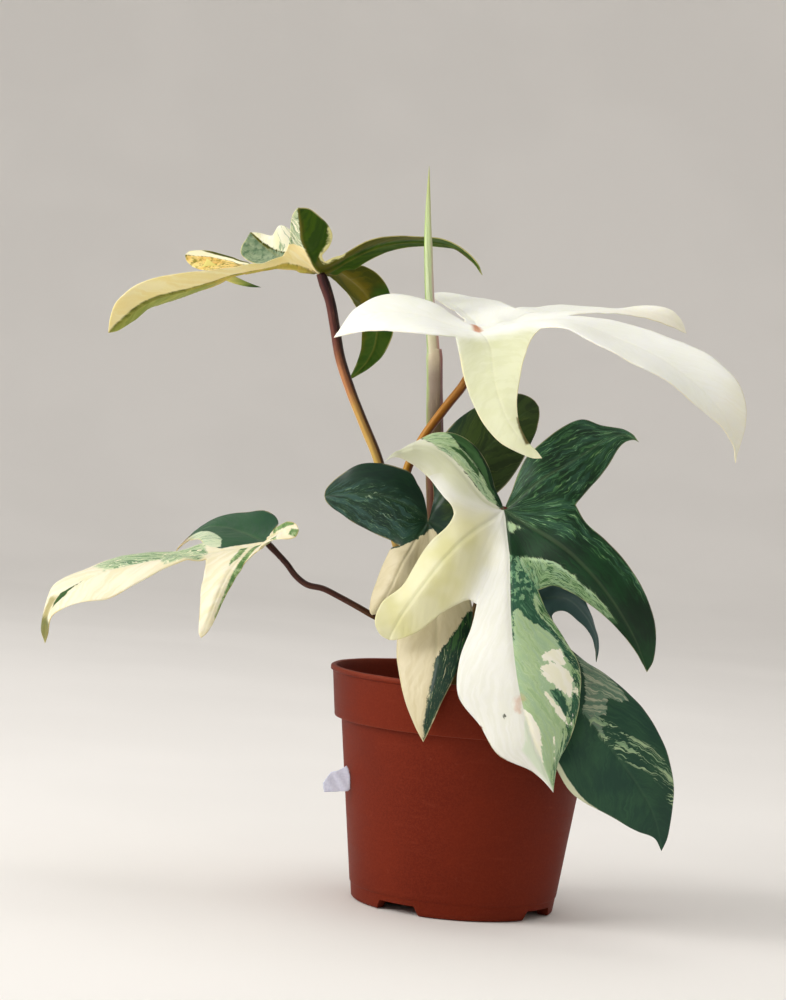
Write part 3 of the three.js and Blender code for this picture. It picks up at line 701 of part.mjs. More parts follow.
// ---------- pot ----------
{
  const H = POT_HEIGHT;
  const zc = H - POT_COLLAR_H;
  const slope = (POT_NECK_R - POT_BASE_R) / zc;
  const outer = (z) => POT_BASE_R + slope * z;
  const inner = (z) => outer(z) - POT_WALL;
  const floor = FOOT_H;
  const profile = [
    [0, floor],
    [outer(0) - FOOT_W, floor],
    [outer(0) - FOOT_W, 0],
    [outer(0) - 0.6, 0],
    [outer(0.6), 0.6],
    [outer(6.5), 6.5],
    [outer(7.1) + 0.35, 7.1],
    [outer(40) + 0.18, 40],
    [POT_NECK_R, zc - 0.4],
    [POT_COLLAR_R - 0.4, zc],
    [POT_COLLAR_R, zc + 0.6],
    [POT_RIM_R - 0.9, H - 1.4],
    [POT_RIM_R, H - 1.2],
    [POT_RIM_R, H - 0.4],
    [POT_RIM_R - 0.4, H],
    [POT_RIM_R - POT_LIP + 0.3, H],
    [POT_RIM_R - POT_LIP, H - 0.4],
    [POT_COLLAR_R - POT_WALL - 0.2, zc + 1.2],
    [POT_NECK_R - POT_WALL, zc - 1.2],
    [inner(floor + 3.2), floor + 3.2],
    [inner(floor + 3.2) - 1.4, floor + 1.6],
    [0, floor + 1.6],
  ];
  let pot = toSolid(turned(profile, 48));
  const boss = new THREE.CylinderGeometry(PAD_R, PAD_R - 0.3, FOOT_H + 0.2, 24);
  boss.rotateX(Math.PI / 2);
  boss.translate(0, 0, (FOOT_H + 0.2) / 2);
  pot = pot.add(toSolid(boss));
  const side = new THREE.Shape([
    new THREE.Vector2(-NOTCH_W / 2, -1),
    new THREE.Vector2(NOTCH_W / 2, -1),
    new THREE.Vector2(NOTCH_TOP_W / 2, NOTCH_H),
    new THREE.Vector2(-NOTCH_TOP_W / 2, NOTCH_H),
  ]);
  for (let i = 0; i < NOTCHES; i++) {
    const a = NOTCH_START + (i / NOTCHES) * 2 * Math.PI;
    const cut = new THREE.ExtrudeGeometry(side, { depth: FOOT_W + 8, bevelEnabled: false });
    cut.rotateX(Math.PI / 2);
    cut.rotateZ(Math.PI / 2);
    cut.translate(POT_BASE_R - FOOT_W - 3.5, 0, 0);
    cut.rotateZ(a);
    pot = pot.subtract(toSolid(cut));
  }
  for (let i = 0; i < HOLES; i++) {
    const a = ((i + 0.68) / HOLES) * 2 * Math.PI;
    const cut = new THREE.CylinderGeometry(HOLE_R, HOLE_R, 12, 12);
    cut.rotateX(Math.PI / 2);
    cut.translate(27 * Math.cos(a), 27 * Math.sin(a), FOOT_H);
    pot = pot.subtract(toSolid(cut));
  }
  addMesh("nursery_pot", toGeometry(pot), 0x8a3b29, 0.55);

  // ---------- potting mix ----------
  const soilProfile = [
    [0, floor + 1.6 + GAP],
    [inner(floor + 3.2) - 1.4 - GAP, floor + 1.6 + GAP],
    [inner(floor + 3.2) - GAP, floor + 3.2 + GAP],
    [POT_NECK_R - POT_WALL - GAP - 0.1, zc - 1.2],
    [POT_COLLAR_R - POT_WALL - 0.6 - GAP, zc + 1.2],
    [POT_COLLAR_R - POT_WALL - 0.4 - GAP, SOIL_Z],
    [40, SOIL_Z + SOIL_CROWN * 0.35],
    [22, SOIL_Z + SOIL_CROWN * 0.8],
    [8, SOIL_Z + SOIL_CROWN],
    [0, SOIL_Z + SOIL_CROWN],
  ];
  addMesh("potting_mix", turned(soilProfile, 48), 0x2b1d14, 0.95);
}

// ---------- stem ----------
const STEM_PATH = [
  V(-7.28, 0.00, 83.75),
  V(-7.08, 0.00, 91.70),
  V(-10.61, 0.00, 108.78),
  V(-13.72, 0.50, 125.86),
  V(-16.95, 1.00, 147.28),
  V(-19.20, 1.50, 164.45),
  V(-21.54, 2.00, 184.47),
];
const STEM_R = [5.6, 5.6, 5.0, 5.1, 4.5, 4.3];
addMesh("main_stem", tapered(STEM_PATH, STEM_R, 14, 12), 0x6e6a3c, 0.6);

// the sheath that the newest leaf grows out of
const SHEATH_PATH = [
  V(-21.60, 2.00, 185.12),
  V(-22.74, 2.00, 196.70),
  V(-23.55, 2.00, 205.30),
  V(-24.50, 2.00, 216.07),
  V(-25.36, 2.00, 226.83),
  V(-26.22, 2.00, 236.51),
];
addMesh("new_leaf_sheath", tapered(SHEATH_PATH, [3.9, 3.75, 3.65, 3.65, 3.6, 3.5], 14, 12), 0x7d6a4c, 0.5);

// the newest leaf, still rolled into a spike
const SPIKE_PATH = [
  V(-26.64, 1.80, 236.99),
  V(-28.27, 1.50, 248.23),
  V(-29.89, 1.00, 258.89),
  V(-31.15, 0.00, 269.54),
  V(-32.23, -1.00, 280.17),
  V(-33.27, -0.50, 290.91),
  V(-34.14, 0.00, 303.83),
  V(-34.82, 0.00, 315.64),
];
addMesh("rolled_new_leaf", tapered(SPIKE_PATH, [2.9, 2.5, 1.9, 1.8, 1.7, 1.2, 0.9, 0.35], 22, 10), 0xa9c58a, 0.45);

// ---------- stalks of the open leaves ----------
const STALKS = {
  stalk_upper_left: {
    radius: 2.25,
    steps: 30,
    color: 0x3a1d22,
    path: [V(-12.32, 7.54, 124.58), V(-17.26, 12.50, 129.22), V(-26.63, 14.00, 136.28), V(-34.65, 14.00, 148.81), V(-39.69, 14.00, 162.46), V(-43.96, 14.00, 177.48), V(-47.50, 14.50, 188.61), V(-53.55, 15.00, 200.86), V(-61.95, 15.50, 217.76), V(-67.70, 16.00, 231.81), V(-70.76, 16.50, 243.89), V(-73.87, 16.50, 255.50), V(-78.57, 16.00, 266.75)],
  },
  stalk_lower_left: {
    radius: 1.35,
    steps: 26,
    color: 0x2b100c,
    path: [V(-16.69, -1.85, 105.84), V(-21.63, -5.00, 112.59), V(-29.14, -10.00, 116.64), V(-35.69, -13.00, 119.32), V(-42.23, -15.00, 121.70), V(-49.31, -16.00, 125.04), V(-57.72, -16.50, 128.88), V(-65.22, -17.00, 131.94), V(-72.16, -17.00, 133.09), V(-77.17, -16.50, 136.29), V(-81.44, -16.00, 141.06), V(-86.11, -15.50, 145.38), V(-90.53, -15.00, 149.23)],
  },
  stalk_white: {
    radius: 2.00,
    steps: 24,
    color: 0x9a5a28,
    path: [V(-16.96, -6.22, 137.25), V(-23.01, -8.20, 147.18), V(-29.20, -9.50, 160.50), V(-32.92, -10.00, 172.25), V(-34.14, -10.00, 179.45), V(-33.40, -10.00, 186.38), V(-30.17, -10.00, 194.37), V(-26.47, -10.50, 201.95), V(-19.58, -12.00, 212.76), V(-12.12, -14.00, 224.00), V(-8.77, -17.00, 233.13), V(-7.26, -19.82, 245.25)],
  },
  stalk_front: {
    radius: 1.90,
    steps: 20,
    color: 0x5a3a22,
    path: [V(-6.63, -4.59, 113.00), V(-1.50, -12.00, 121.00), V(1.50, -19.00, 133.00), V(4.50, -25.50, 147.00), V(7.30, -28.80, 158.00), V(9.00, -36.50, 166.60), V(9.20, -44.00, 170.60), V(8.71, -51.20, 172.04)],
  },
  stalk_middle: {
    radius: 1.70,
    steps: 12,
    color: 0x5a3a22,
    path: [V(-13.45, -6.11, 128.11), V(-16.13, -11.00, 137.12), V(-19.00, -18.00, 147.92), V(-21.03, -24.50, 156.52), V(-22.40, -28.73, 163.01)],
  },
  stalk_lower_right: {
    radius: 1.90,
    steps: 12,
    color: 0x4a3a22,
    path: [V(-2.59, -2.84, 101.91), V(2.14, -10.00, 107.16), V(7.16, -21.00, 113.99), V(11.66, -33.00, 120.74), V(15.40, -41.34, 126.18)],
  },
};
for (const [name, s] of Object.entries(STALKS))
  addMesh(name, stalk(s.path, s.radius, s.steps), s.color, 0.5);

// ---------- price label ----------
// a torn paper label, stuck to the wall by its one edge and standing off to the side
{
  const outline = [
    [-58.5, 49.5],
    [-57.8, 45.7],
    [-47.8, 46.9],
    [-46.8, 47.9],
    [-47.2, 53.0],
    [-48.2, 56.7],
    [-49.1, 57.7],
    [-52.2, 55.6],
    [-55.5, 54.5],
    [-57.0, 52.2],
  ];
  const shape = new THREE.Shape(outline.map(([x, z]) => new THREE.Vector2(x, z)));
  const g = new THREE.ExtrudeGeometry(shape, { depth: 0.4, bevelEnabled: false });
  g.rotateX(Math.PI / 2);
  g.translate(0, -19.8, 0);
  addMesh("price_label", g, 0xdfe2ee, 0.7);
}

export default group;
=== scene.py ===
import math

import bmesh
import bpy
import numpy as np
from mathutils import Matrix, Quaternion, Vector, noise


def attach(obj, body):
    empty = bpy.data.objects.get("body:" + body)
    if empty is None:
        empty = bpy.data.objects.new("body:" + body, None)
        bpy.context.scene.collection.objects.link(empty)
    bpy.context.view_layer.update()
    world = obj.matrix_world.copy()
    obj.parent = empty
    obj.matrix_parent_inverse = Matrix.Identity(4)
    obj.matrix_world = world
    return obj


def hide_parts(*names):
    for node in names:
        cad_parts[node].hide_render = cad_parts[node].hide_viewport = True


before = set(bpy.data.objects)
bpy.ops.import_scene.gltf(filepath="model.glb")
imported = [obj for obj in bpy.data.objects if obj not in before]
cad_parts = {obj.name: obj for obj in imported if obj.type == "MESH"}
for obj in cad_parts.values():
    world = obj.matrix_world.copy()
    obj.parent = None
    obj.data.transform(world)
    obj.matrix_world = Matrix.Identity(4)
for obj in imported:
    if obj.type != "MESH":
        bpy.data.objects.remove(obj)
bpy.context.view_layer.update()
scene = bpy.context.scene
MM = 0.001
rng = np.random.default_rng(20240611)

# ---------------------------------------------------------------- camera
CAM_D, CAM_Z = 1130.08, 196.60
CAM_F = 2617.5  # focal length in pixels of a frame 1000 pixels high
CAM_YAW, CAM_PITCH, CAM_ROLL = -0.0345, -0.0221, 0.0793


def make_camera():
    fwd = Vector((math.sin(CAM_YAW) * math.cos(CAM_PITCH), math.cos(CAM_YAW) * math.cos(CAM_PITCH), math.sin(CAM_PITCH)))
    right = Vector((math.cos(CAM_YAW), -math.sin(CAM_YAW), 0))
    up = right.cross(fwd)
    r = right * math.cos(CAM_ROLL) + up * math.sin(CAM_ROLL)
    u = right * -math.sin(CAM_ROLL) + up * math.cos(CAM_ROLL)
    m = Matrix((r, u, -fwd)).transposed().to_4x4()
    m.translation = Vector((0, -CAM_D, CAM_Z)) * MM
    data = bpy.data.cameras.new("camera")
    data.sensor_fit = "VERTICAL"
    data.sensor_height = 36
    data.lens = CAM_F * 36 / 1000
    data.clip_start, data.clip_end = 0.05, 60
    cam = bpy.data.objects.new("camera", data)
    scene.collection.objects.link(cam)
    cam.matrix_world = m
    scene.camera = cam


make_camera()


# ---------------------------------------------------------------- small tools
def srgb(r, g, b):
    """A colour given as 0-255 display values, as linear light."""
    out = []
    for c in (r, g, b):
        c = c / 255
        out.append(c / 12.92 if c <= 0.04045 else ((c + 0.055) / 1.055) ** 2.4)
    return (*out, 1.0)


class Nodes:
    """Short-hand for building a material's node tree."""

    def __init__(self, name):
        self.mat = bpy.data.materials.new(name)
        self.mat.use_nodes = True
        self.nt = self.mat.node_tree
        self.nt.nodes.clear()
        self.out = self.nt.nodes.new("ShaderNodeOutputMaterial")

    def node(self, kind, inputs=None, **props):
        n = self.nt.nodes.new(kind)
        for k, v in props.items():
            setattr(n, k, v)
        for k, v in (inputs or {}).items():
            self.put(n.inputs[k], v)
        return n

    def put(self, socket, v):
        if isinstance(v, bpy.types.NodeSocket):
            self.nt.links.new(v, socket)
        elif isinstance(v, bpy.types.Node):
            self.nt.links.new(v.outputs[0], socket)
        else:
            socket.default_value = v

    def attr(self, name, vector=False):
        n = self.node("ShaderNodeAttribute", attribute_name=name)
        return n.outputs["Vector" if vector else "Fac"]

    def math(self, op, a, b=0.0, c=0.0, clamp=False):
        return self.node("ShaderNodeMath", {0: a, 1: b, 2: c}, operation=op, use_clamp=clamp).outputs[0]

    def scale(self, v, s):
        return self.node("ShaderNodeVectorMath", {0: v, 1: s}, operation="MULTIPLY").outputs[0]

    def shift(self, v, s):
        return self.node("ShaderNodeVectorMath", {0: v, 1: s}, operation="ADD").outputs[0]

    def noise(self, v, scale=1.0, detail=2.0, rough=0.5, distortion=0.0):
        n = self.node(
            "ShaderNodeTexNoise",
            {"Vector": v, "Scale": scale, "Detail": detail, "Roughness": rough, "Distortion": distortion},
        )
        return n.outputs[0]

    def step(self, v, lo, hi, to0=0.0, to1=1.0):
        """Smooth step of v between lo and hi."""
        n = self.node(
            "ShaderNodeMapRange",
            {"Value": v, "From Min": lo, "From Max": hi, "To Min": to0, "To Max": to1},
            interpolation_type="SMOOTHSTEP",
        )
        return n.outputs[0]

    def mix(self, f, a, b, kind="MIX"):
        n = self.node("ShaderNodeMix", data_type="RGBA", blend_type=kind)
        self.put(n.inputs["Factor"], f)
        for s in n.inputs:
            if s.type == "RGBA" and s.name == "A":
                self.put(s, a)
            if s.type == "RGBA" and s.name == "B":
                self.put(s, b)
        return [o for o in n.outputs if o.type == "RGBA"][0]

    def principled(self, **inputs):
        n = self.node("ShaderNodeBsdfPrincipled")
        for k, v in inputs.items():
            self.put(n.inputs[k.replace("_", " ")], v)
        return n

    def bump(self, height, strength, distance):
        return self.node("ShaderNodeBump", {"Height": height, "Strength": strength, "Distance": distance}).outputs[0]

    def finish(self, shader):
        self.put(self.out.inputs["Surface"], shader)
        return self.mat


def new_object(name, verts, faces, material, smooth=True, replaces=()):
    me = bpy.data.meshes.new(name)
    me.from_pydata([tuple(v) for v in np.asarray(verts, float)], [], [tuple(int(i) for i in f) for f in faces])
    me.update()
    if smooth:
        me.shade_smooth()
    me.materials.append(material)
    o = bpy.data.objects.new(name, me)
    scene.collection.objects.link(o)
    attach(o, "root")
    if replaces:
        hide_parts(*replaces)
    return o


def point_attr(o, name, values):
    values = np.asarray(values, np.float32)
    kind = "FLOAT" if values.ndim == 1 else "FLOAT_VECTOR"
    a = o.data.attributes.new(name, kind, "POINT")
    a.data.foreach_set("value" if values.ndim == 1 else "vector", values.ravel())


def corner_attr(o, name, values):
    values = np.asarray(values, np.float32)
    kind = "FLOAT" if values.ndim == 1 else "FLOAT_VECTOR"
    a = o.data.attributes.new(name, kind, "CORNER")
    a.data.foreach_set("value" if values.ndim == 1 else "vector", values.ravel())


# ---------------------------------------------------------------- leaf blades
# Every point of a blade is [u, v, x, y, z]: its place in the flat blade and its
# place in the grown plant. Lobes run counter-clockwise seen from above.
BLADES = {
  "upper_left": {"J": [-79.4, 16, 268.2], "lobes": [
    {"tip": [-62.4, -42.1, -64.9, 44, 222.2], "rows": [
      [[-9.3,-2.6,-70.7,19.6,271.1], [-6.8,-4.6,-72.7,20.6,268.8], [-2.9,-5,-78.8,21.5,270]],
      [[-18,-3.9,-61.9,23.7,273.1], [-13.1,-8.9,-66.6,25.3,268.2], [-5.8,-10,-78.1,27,271.7]],
      [[-22.9,-4.8,-55.9,27.2,271], [-18.6,-12.5,-62.2,29.1,265.1], [-6.6,-17.6,-74.7,31.8,267.7]],
      [[-30.1,-9,-49.8,32.3,264.5], [-26,-17.6,-57.6,34.3,259.4], [-15.4,-24.1,-69.3,37.7,262.4]],
      [[-37.2,-15.6,-46.8,37.7,254.6], [-34.3,-23.2,-54.1,39.6,251.6], [-25.4,-29.6,-63.7,43.1,255.5]],
      [[-44.2,-21.5,-46.5,41.5,244.2], [-42.1,-28.4,-53.5,43,243], [-35.3,-33.9,-60.6,46.1,247.1]],
      [[-50.7,-28.5,-50.6,43.4,234.2], [-49.4,-33.3,-55.5,44.4,234.5], [-45.1,-37.8,-60.3,46.5,237.8]],
      [[-56.2,-35.3,-57.1,43.9,227.5], [-55.7,-37.6,-59.4,44.5,228], [-53.8,-40.3,-61.9,45.5,229.8]],
      [[-60,-39.7,-62,44,224], [-59.9,-40.4,-62.8,44.2,224.2], [-59.4,-41.5,-63.7,44.6,224.9]],
    ]},
    {"tip": [-7.4, -52.6, -114.7, 50, 285.9], "rows": [
      [[-2.9,-5,-78.8,21.5,270], [-1.3,-9.2,-85.2,23.1,269.6], [5,-14.1,-91.6,24.5,269.4]],
      [[-5.8,-10,-78.1,27,271.7], [-2.6,-18.2,-91,29.9,271.5], [10.1,-28.1,-103.9,32.9,270.6]],
      [[-11.3,-13.5,-81.7,32.5,274.5], [-3.1,-22.3,-93.6,32.8,272.7], [4.6,-33.1,-106.5,35.3,270.7]],
      [[-13.3,-21.6,-86.9,38.5,278], [-3.9,-27.7,-97.3,36.7,274.1], [4.5,-38.1,-110.2,38.3,271.2]],
      [[-16.7,-29.7,-91.6,43.6,283.3], [-4.7,-33.6,-101.4,40.5,275.9], [4.3,-43.3,-114.3,41.5,272.7]],
      [[-18.2,-37.3,-96.7,47,287.4], [-5.5,-39.1,-105.2,43.8,278.3], [3.5,-47.9,-117.4,44.3,275.4]],
      [[-13.8,-42.7,-103.2,48.9,285.4], [-6.2,-44.2,-108.9,46.4,280.8], [-0.3,-50.5,-117.4,46.6,279.4]],
      [[-10.9,-47.9,-108.9,49.6,285.8], [-6.8,-48.5,-111.9,48.3,283.3], [-3.9,-51.3,-115.9,48.3,282.6]],
      [[-8.8,-51,-112.6,49.9,285.9], [-7.2,-51.2,-113.7,49.4,284.9], [-6.2,-52.1,-115.1,49.4,284.7]],
    ]},
    {"tip": [48.5, -62, -144.2, 58, 273.8], "rows": [
      [[5,-14.1,-91.6,24.5,269.4], [9.4,-12,-90.6,26.2,269.6], [11.9,-6.3,-92.4,19.2,268.3]],
      [[10.1,-28.1,-103.9,32.9,270.6], [18.7,-23.9,-102.1,36,269.9], [23.7,-12.8,-105.5,22.5,268.4]],
      [[22.5,-30.8,-108.5,40.4,271.1], [22.1,-28.2,-106.3,39.5,269.9], [28.5,-14.7,-109.4,24.9,268]],
      [[27.4,-39.3,-114.6,48.3,272.3], [26.7,-34.2,-112.3,44.1,270.4], [33.4,-21.1,-115.1,30,267.6]],
      [[31.3,-47.7,-121.3,54.7,274], [31.8,-40.7,-119.2,48.8,271.1], [38.8,-29.4,-121.6,36.4,266.9]],
      [[34.6,-54,-127.9,58.4,275.6], [36.6,-46.9,-126,52.4,271.6], [43.8,-38.5,-128.4,42.9,266.7]],
      [[38.4,-58.7,-134.2,59.5,276.6], [41,-52.5,-132.7,55,271.9], [47.4,-47.6,-135.1,48.9,267.2]],
      [[43,-61.7,-139.7,59.1,276.4], [44.8,-57.3,-138.5,56.6,272.5], [49.2,-55,-140.7,53.7,269.2]],
      [[46.4,-62.6,-142.9,58.4,275.4], [47.1,-60.3,-142.2,57.5,273.3], [49.1,-59.5,-143.4,56.5,271.8]],
    ]},
    {"tip": [101.6, 0, -165.6, -16, 233.5], "rows": [
      [[11.9,-6.3,-92.4,19.2,268.3], [11.3,0,-90,12.6,269.3], [9.3,2.6,-87.6,11.7,270.8]],
      [[23.7,-12.8,-105.5,22.5,268.4], [22.5,0,-100.7,8.9,268.3], [18.5,5.4,-95.8,7.5,273.3]],
      [[28.3,-18.9,-112.7,24.5,265.2], [30.6,0,-108,6.1,266.3], [28.2,8.4,-103.2,-0.8,269.1]],
      [[38.1,-21,-122.2,22.5,261.2], [42,0,-117.8,1.7,262.6], [42.4,11.8,-114.7,-9.2,266]],
      [[51.2,-20.4,-132.4,16.9,256.1], [55,0,-128.6,-3.5,257.4], [57.2,13.3,-128,-15.9,262.7]],
      [[65.4,-17.1,-142,9.1,250.6], [67.7,0,-139.6,-7.9,253], [70.3,13,-141.5,-19.1,259.7]],
      [[79.5,-11.8,-151.6,0.1,245.3], [80.1,0,-150.4,-11.3,247.9], [82.3,11,-154.7,-19.4,254.4]],
      [[91.3,-6.4,-158.1,-8,238.2], [90.8,0,-158.3,-13.8,241], [92.3,7.9,-163.3,-18,245.7]],
      [[98.2,-2.9,-162.3,-13.2,234.4], [97.7,0,-163.1,-15.2,236.3], [98.4,3.1,-165.3,-16.7,237.9]],
    ]},
    {"tip": [24.5, 37.7, -88.4, -20, 292.7], "rows": [
      [[9.3,2.6,-87.6,11.7,270.8], [3.2,5,-81.5,11.1,270.8], [0.3,5.5,-78.1,11,270.1]],
      [[18.5,5.4,-95.8,7.5,273.3], [6.5,10,-83.3,6.1,273.5], [0.6,11,-76.9,6,272.1]],
      [[17.2,6.2,-94.6,7,275.3], [8.5,13.1,-84.3,3,275.3], [2.1,13,-78.3,5.3,274.6]],
      [[17.2,9.6,-93.2,4.3,278.1], [11.4,17.5,-85.3,-1.5,277.8], [0.7,18.6,-75.4,2.7,278.6]],
      [[18.7,14.5,-92.3,0,281.3], [14.6,22.4,-86.2,-6.5,280.8], [1.6,25.8,-74,-1.5,283.4]],
      [[21.4,20.2,-92,-5.2,284.6], [17.6,27.1,-86.6,-11,284], [6.5,31.5,-76.3,-6.4,287.7]],
      [[23.9,26.4,-91.5,-10.7,287.7], [20.3,31.2,-87.1,-14.7,287.1], [12.8,35.1,-80.2,-11.4,290.8]],
      [[25,32.1,-90.4,-15.4,290.4], [22.4,34.5,-87.7,-17.5,289.9], [18.4,37.5,-84,-15.7,292.9]],
      [[24.8,35.7,-89.2,-18.4,291.9], [23.7,36.6,-88.1,-19.1,291.7], [22.2,37.8,-86.7,-18.5,292.9]],
    ]},
    {"tip": [-66.7, 45, -8.1, 6, 271.7], "rows": [
      [[0.3,5.5,-78.1,11,270.1], [-5,3.4,-73.9,15.5,270.7], [-8.2,-0.9,-71.8,19.8,268.3]],
      [[0.6,11,-76.9,6,272.1], [-10,6.7,-69,14.9,274.1], [-16,0.6,-64.6,21.8,271.4]],
      [[-4,17.1,-69.7,3,275.2], [-15.6,10.5,-63.2,14.4,277.6], [-22.1,3.7,-59.4,22.5,275]],
      [[-12.2,23.9,-60.6,1.2,281.2], [-23.5,15.9,-54.5,13.7,281.5], [-29.9,8.6,-51.7,22.7,279.2]],
      [[-22.7,30.3,-48.8,1,285.1], [-32.5,21.9,-44,12.9,284.1], [-38.2,15,-42.1,21.5,282.3]],
      [[-34.3,35.4,-36.4,2,286], [-41.5,28,-33.2,11.7,284.9], [-45.9,22,-32,18.9,283.6]],
      [[-46.2,39.4,-24,3.4,285.2], [-50.7,34.2,-22.5,10,283.6], [-53.3,29.9,-21.9,14.9,282.8]],
      [[-56.4,42.3,-14.4,4.8,280.3], [-58.6,39.6,-14.2,8.1,279], [-60,37.3,-14.3,10.6,278.2]],
      [[-62.9,44.1,-9.9,5.6,275.3], [-63.8,43,-10.1,6.7,274.5], [-64.4,42.2,-10.2,7.7,274.1]],
    ]},
  ]},
  "lower_left": {"J": [-91.2, -15, 150.1], "lobes": [
    {"tip": [27.4, -64.8, -135.1, 34, 140.6], "rows": [
      [[-8,-17.7,-87.8,2.7,157.3], [4.8,-11.5,-98.3,-4.9,151.6], [12.9,-6.6,-105.1,-11,148.4]],
      [[-4.4,-32.9,-95.4,16.1,161.7], [9.6,-22.7,-105.5,4.9,153.1], [26,-13,-118.9,-6.9,146.7]],
      [[-1.3,-37.9,-100.4,21.1,161.3], [11.8,-27.8,-109,9.2,153.8], [27,-19.6,-120.6,-2.1,147.6]],
      [[3,-44.2,-107.1,26.9,160.1], [14.7,-34.8,-113.8,15,153.8], [28,-28.1,-123,5.1,147.7]],
      [[7.6,-50,-114.5,31.6,158.2], [17.9,-42.3,-119.4,20.8,153.2], [29.2,-37.9,-126.1,13,146.7]],
      [[12.2,-54.3,-121.1,34.3,154.6], [20.8,-49.1,-124.4,25.7,150.8], [29.5,-47.3,-129,20.1,145.6]],
      [[17.4,-58,-126.7,35.1,150], [23.3,-55.1,-128.7,29.4,147.4], [28.9,-54.9,-131.4,26,143.9]],
      [[22.3,-61.2,-131,34.8,145.3], [25.4,-60,-132,31.8,144.1], [28.1,-60.3,-133.3,30.3,142.2]],
      [[25.6,-63.5,-133.7,34.3,142.3], [26.7,-63.1,-134,33.2,141.9], [27.6,-63.2,-134.4,32.7,141.2]],
    ]},
    {"tip": [112.1, 0, -180.1, -30, 100.1], "rows": [
      [[12.9,-6.6,-105.1,-11,148.4], [12.4,0,-102.8,-16.9,146], [13.4,3.1,-103.2,-20,145.5]],
      [[26,-13,-118.9,-6.9,146.7], [24.8,0,-114.7,-18.8,143], [26.9,6.3,-115.2,-25,140.8]],
      [[35.5,-17.6,-127.7,-3,142.8], [33.6,0,-123.2,-20,141.2], [34.8,11.1,-122.7,-31.1,140]],
      [[48.8,-20.7,-141,-1.5,140.6], [45.9,0,-135.1,-21.5,138.8], [45.9,15,-132.5,-35.8,135.3]],
      [[63.6,-20.8,-155.6,-3.3,137.2], [59.9,0,-148.6,-23.1,135.2], [58.6,17.3,-143.2,-38.1,128.3]],
      [[77.5,-17.8,-168.8,-8.1,131.5], [73.8,0,-161.6,-24.8,130.5], [73.7,17.5,-154.3,-37.8,121.3]],
      [[90.4,-14,-180.7,-15.3,124], [87.7,0,-172.2,-26.6,121.8], [88.1,10.9,-167.4,-35.6,118.1]],
      [[100.3,-6.6,-182.8,-22.5,112.2], [99.9,0,-179.5,-28.3,112.2], [100.1,5.2,-177.2,-32.9,111.6]],
      [[107.7,-2.8,-182.1,-27.4,104.3], [107.7,0,-180.2,-29.4,104.5], [108.1,2.2,-178.8,-31,104.2]],
    ]},
    {"tip": [39.9, 47.6, -112.2, -50, 109.3], "rows": [
      [[13.4,3.1,-103.2,-20,145.5], [6.5,7.7,-95.8,-23.4,146.7], [2.7,6.9,-92.4,-22,148.1]],
      [[26.9,6.3,-115.2,-25,140.8], [12.7,15.1,-99.8,-31.2,142.8], [5.4,13.8,-93.6,-29,146.2]],
      [[28.1,10.8,-114.8,-29,137.7], [16.1,19.2,-101.9,-35.3,140.1], [9.4,17.5,-96.1,-32.7,143]],
      [[30.6,17.3,-114.7,-34.4,133.3], [20.6,24.6,-104.2,-40.3,135.8], [14.3,23.3,-98.9,-37.4,138]],
      [[33.8,24.4,-114.7,-39.6,128.3], [25.2,30,-106,-44.6,130.5], [19.8,29.6,-101.6,-41.9,132]],
      [[36.4,31.5,-114.2,-43.7,123.2], [29.3,34.9,-107.6,-47.5,124.9], [25.2,35.2,-104.2,-45.3,125.8]],
      [[38.2,37.9,-113.8,-46.6,118.1], [33.2,39.6,-109.2,-49,119.3], [30.1,40.6,-106.3,-47.6,119.4]],
      [[39.6,42.8,-113.5,-48.5,113.6], [36.6,43.6,-110.7,-49.7,114.3], [34.6,44.9,-108.5,-48.9,113.9]],
      [[40.2,45.9,-113.1,-49.5,110.7], [38.7,46.2,-111.6,-49.9,111.1], [37.9,46.9,-110.5,-49.6,110.7]],
    ]},
    {"tip": [-12.5, 34.5, -75.4, -46, 157], "rows": [
      [[2.7,6.9,-92.4,-22,148.1], [-2.2,6.2,-89.1,-21,151.8], [-2.3,4,-90.1,-19.1,152]],
      [[5.4,13.8,-93.6,-29,146.2], [-4.5,12.3,-86.9,-26.9,153.2], [-4.7,8.8,-88.6,-23.9,153.8]],
      [[3,18,-91.8,-33.1,148.1], [-5.6,15.4,-85.8,-30,154], [-6.2,11.3,-87.5,-26.3,155.1]],
      [[0,23,-89.2,-37.9,150.2], [-7.2,19.8,-84.1,-34.2,154.9], [-8.4,15.3,-85.7,-30.2,156.8]],
      [[-3.3,27.7,-85.9,-42.4,152.1], [-8.9,24.5,-82.2,-38.8,155.8], [-10.9,20.1,-83.5,-34.9,158.6]],
      [[-5.7,31.1,-82.4,-45.6,152.7], [-10.3,28.5,-80.3,-42.5,156.5], [-13.2,24.8,-81,-39.3,159.9]],
      [[-7.4,33.4,-79,-46.9,153], [-11.3,31.3,-78.5,-44.8,157], [-14.3,29.1,-78.3,-42.6,159.9]],
      [[-9.5,34.8,-76.3,-46.7,154.3], [-12,33,-76.9,-45.7,157.1], [-14.1,32.2,-76.5,-44.5,159]],
      [[-11.3,34.8,-75.6,-46.3,155.9], [-12.3,33.9,-75.9,-45.9,157.1], [-13.2,33.7,-75.7,-45.5,157.8]],
    ]},
  ]},
  "white": {"J": [-7.3, -20, 246.3], "lobes": [
    {"tip": [-64.9, -14, -68.3, -28, 238.4], "rows": [
      [[-9.1,6.6,-15.6,-14,250.7], [-6.4,-1.4,-13.7,-21.3,246.9], [-4.7,-9.6,-12.2,-29.3,244.2]],
      [[-18.6,9.8,-23.7,-11.3,255.2], [-12.8,-2.8,-20,-22.4,247.9], [-8.6,-19.6,-17.1,-38.5,242.2]],
      [[-24.7,9.9,-28.9,-10.9,257.3], [-18.1,-3.9,-25.2,-23.3,249.2], [-12.1,-23.4,-22.1,-42.3,242.2]],
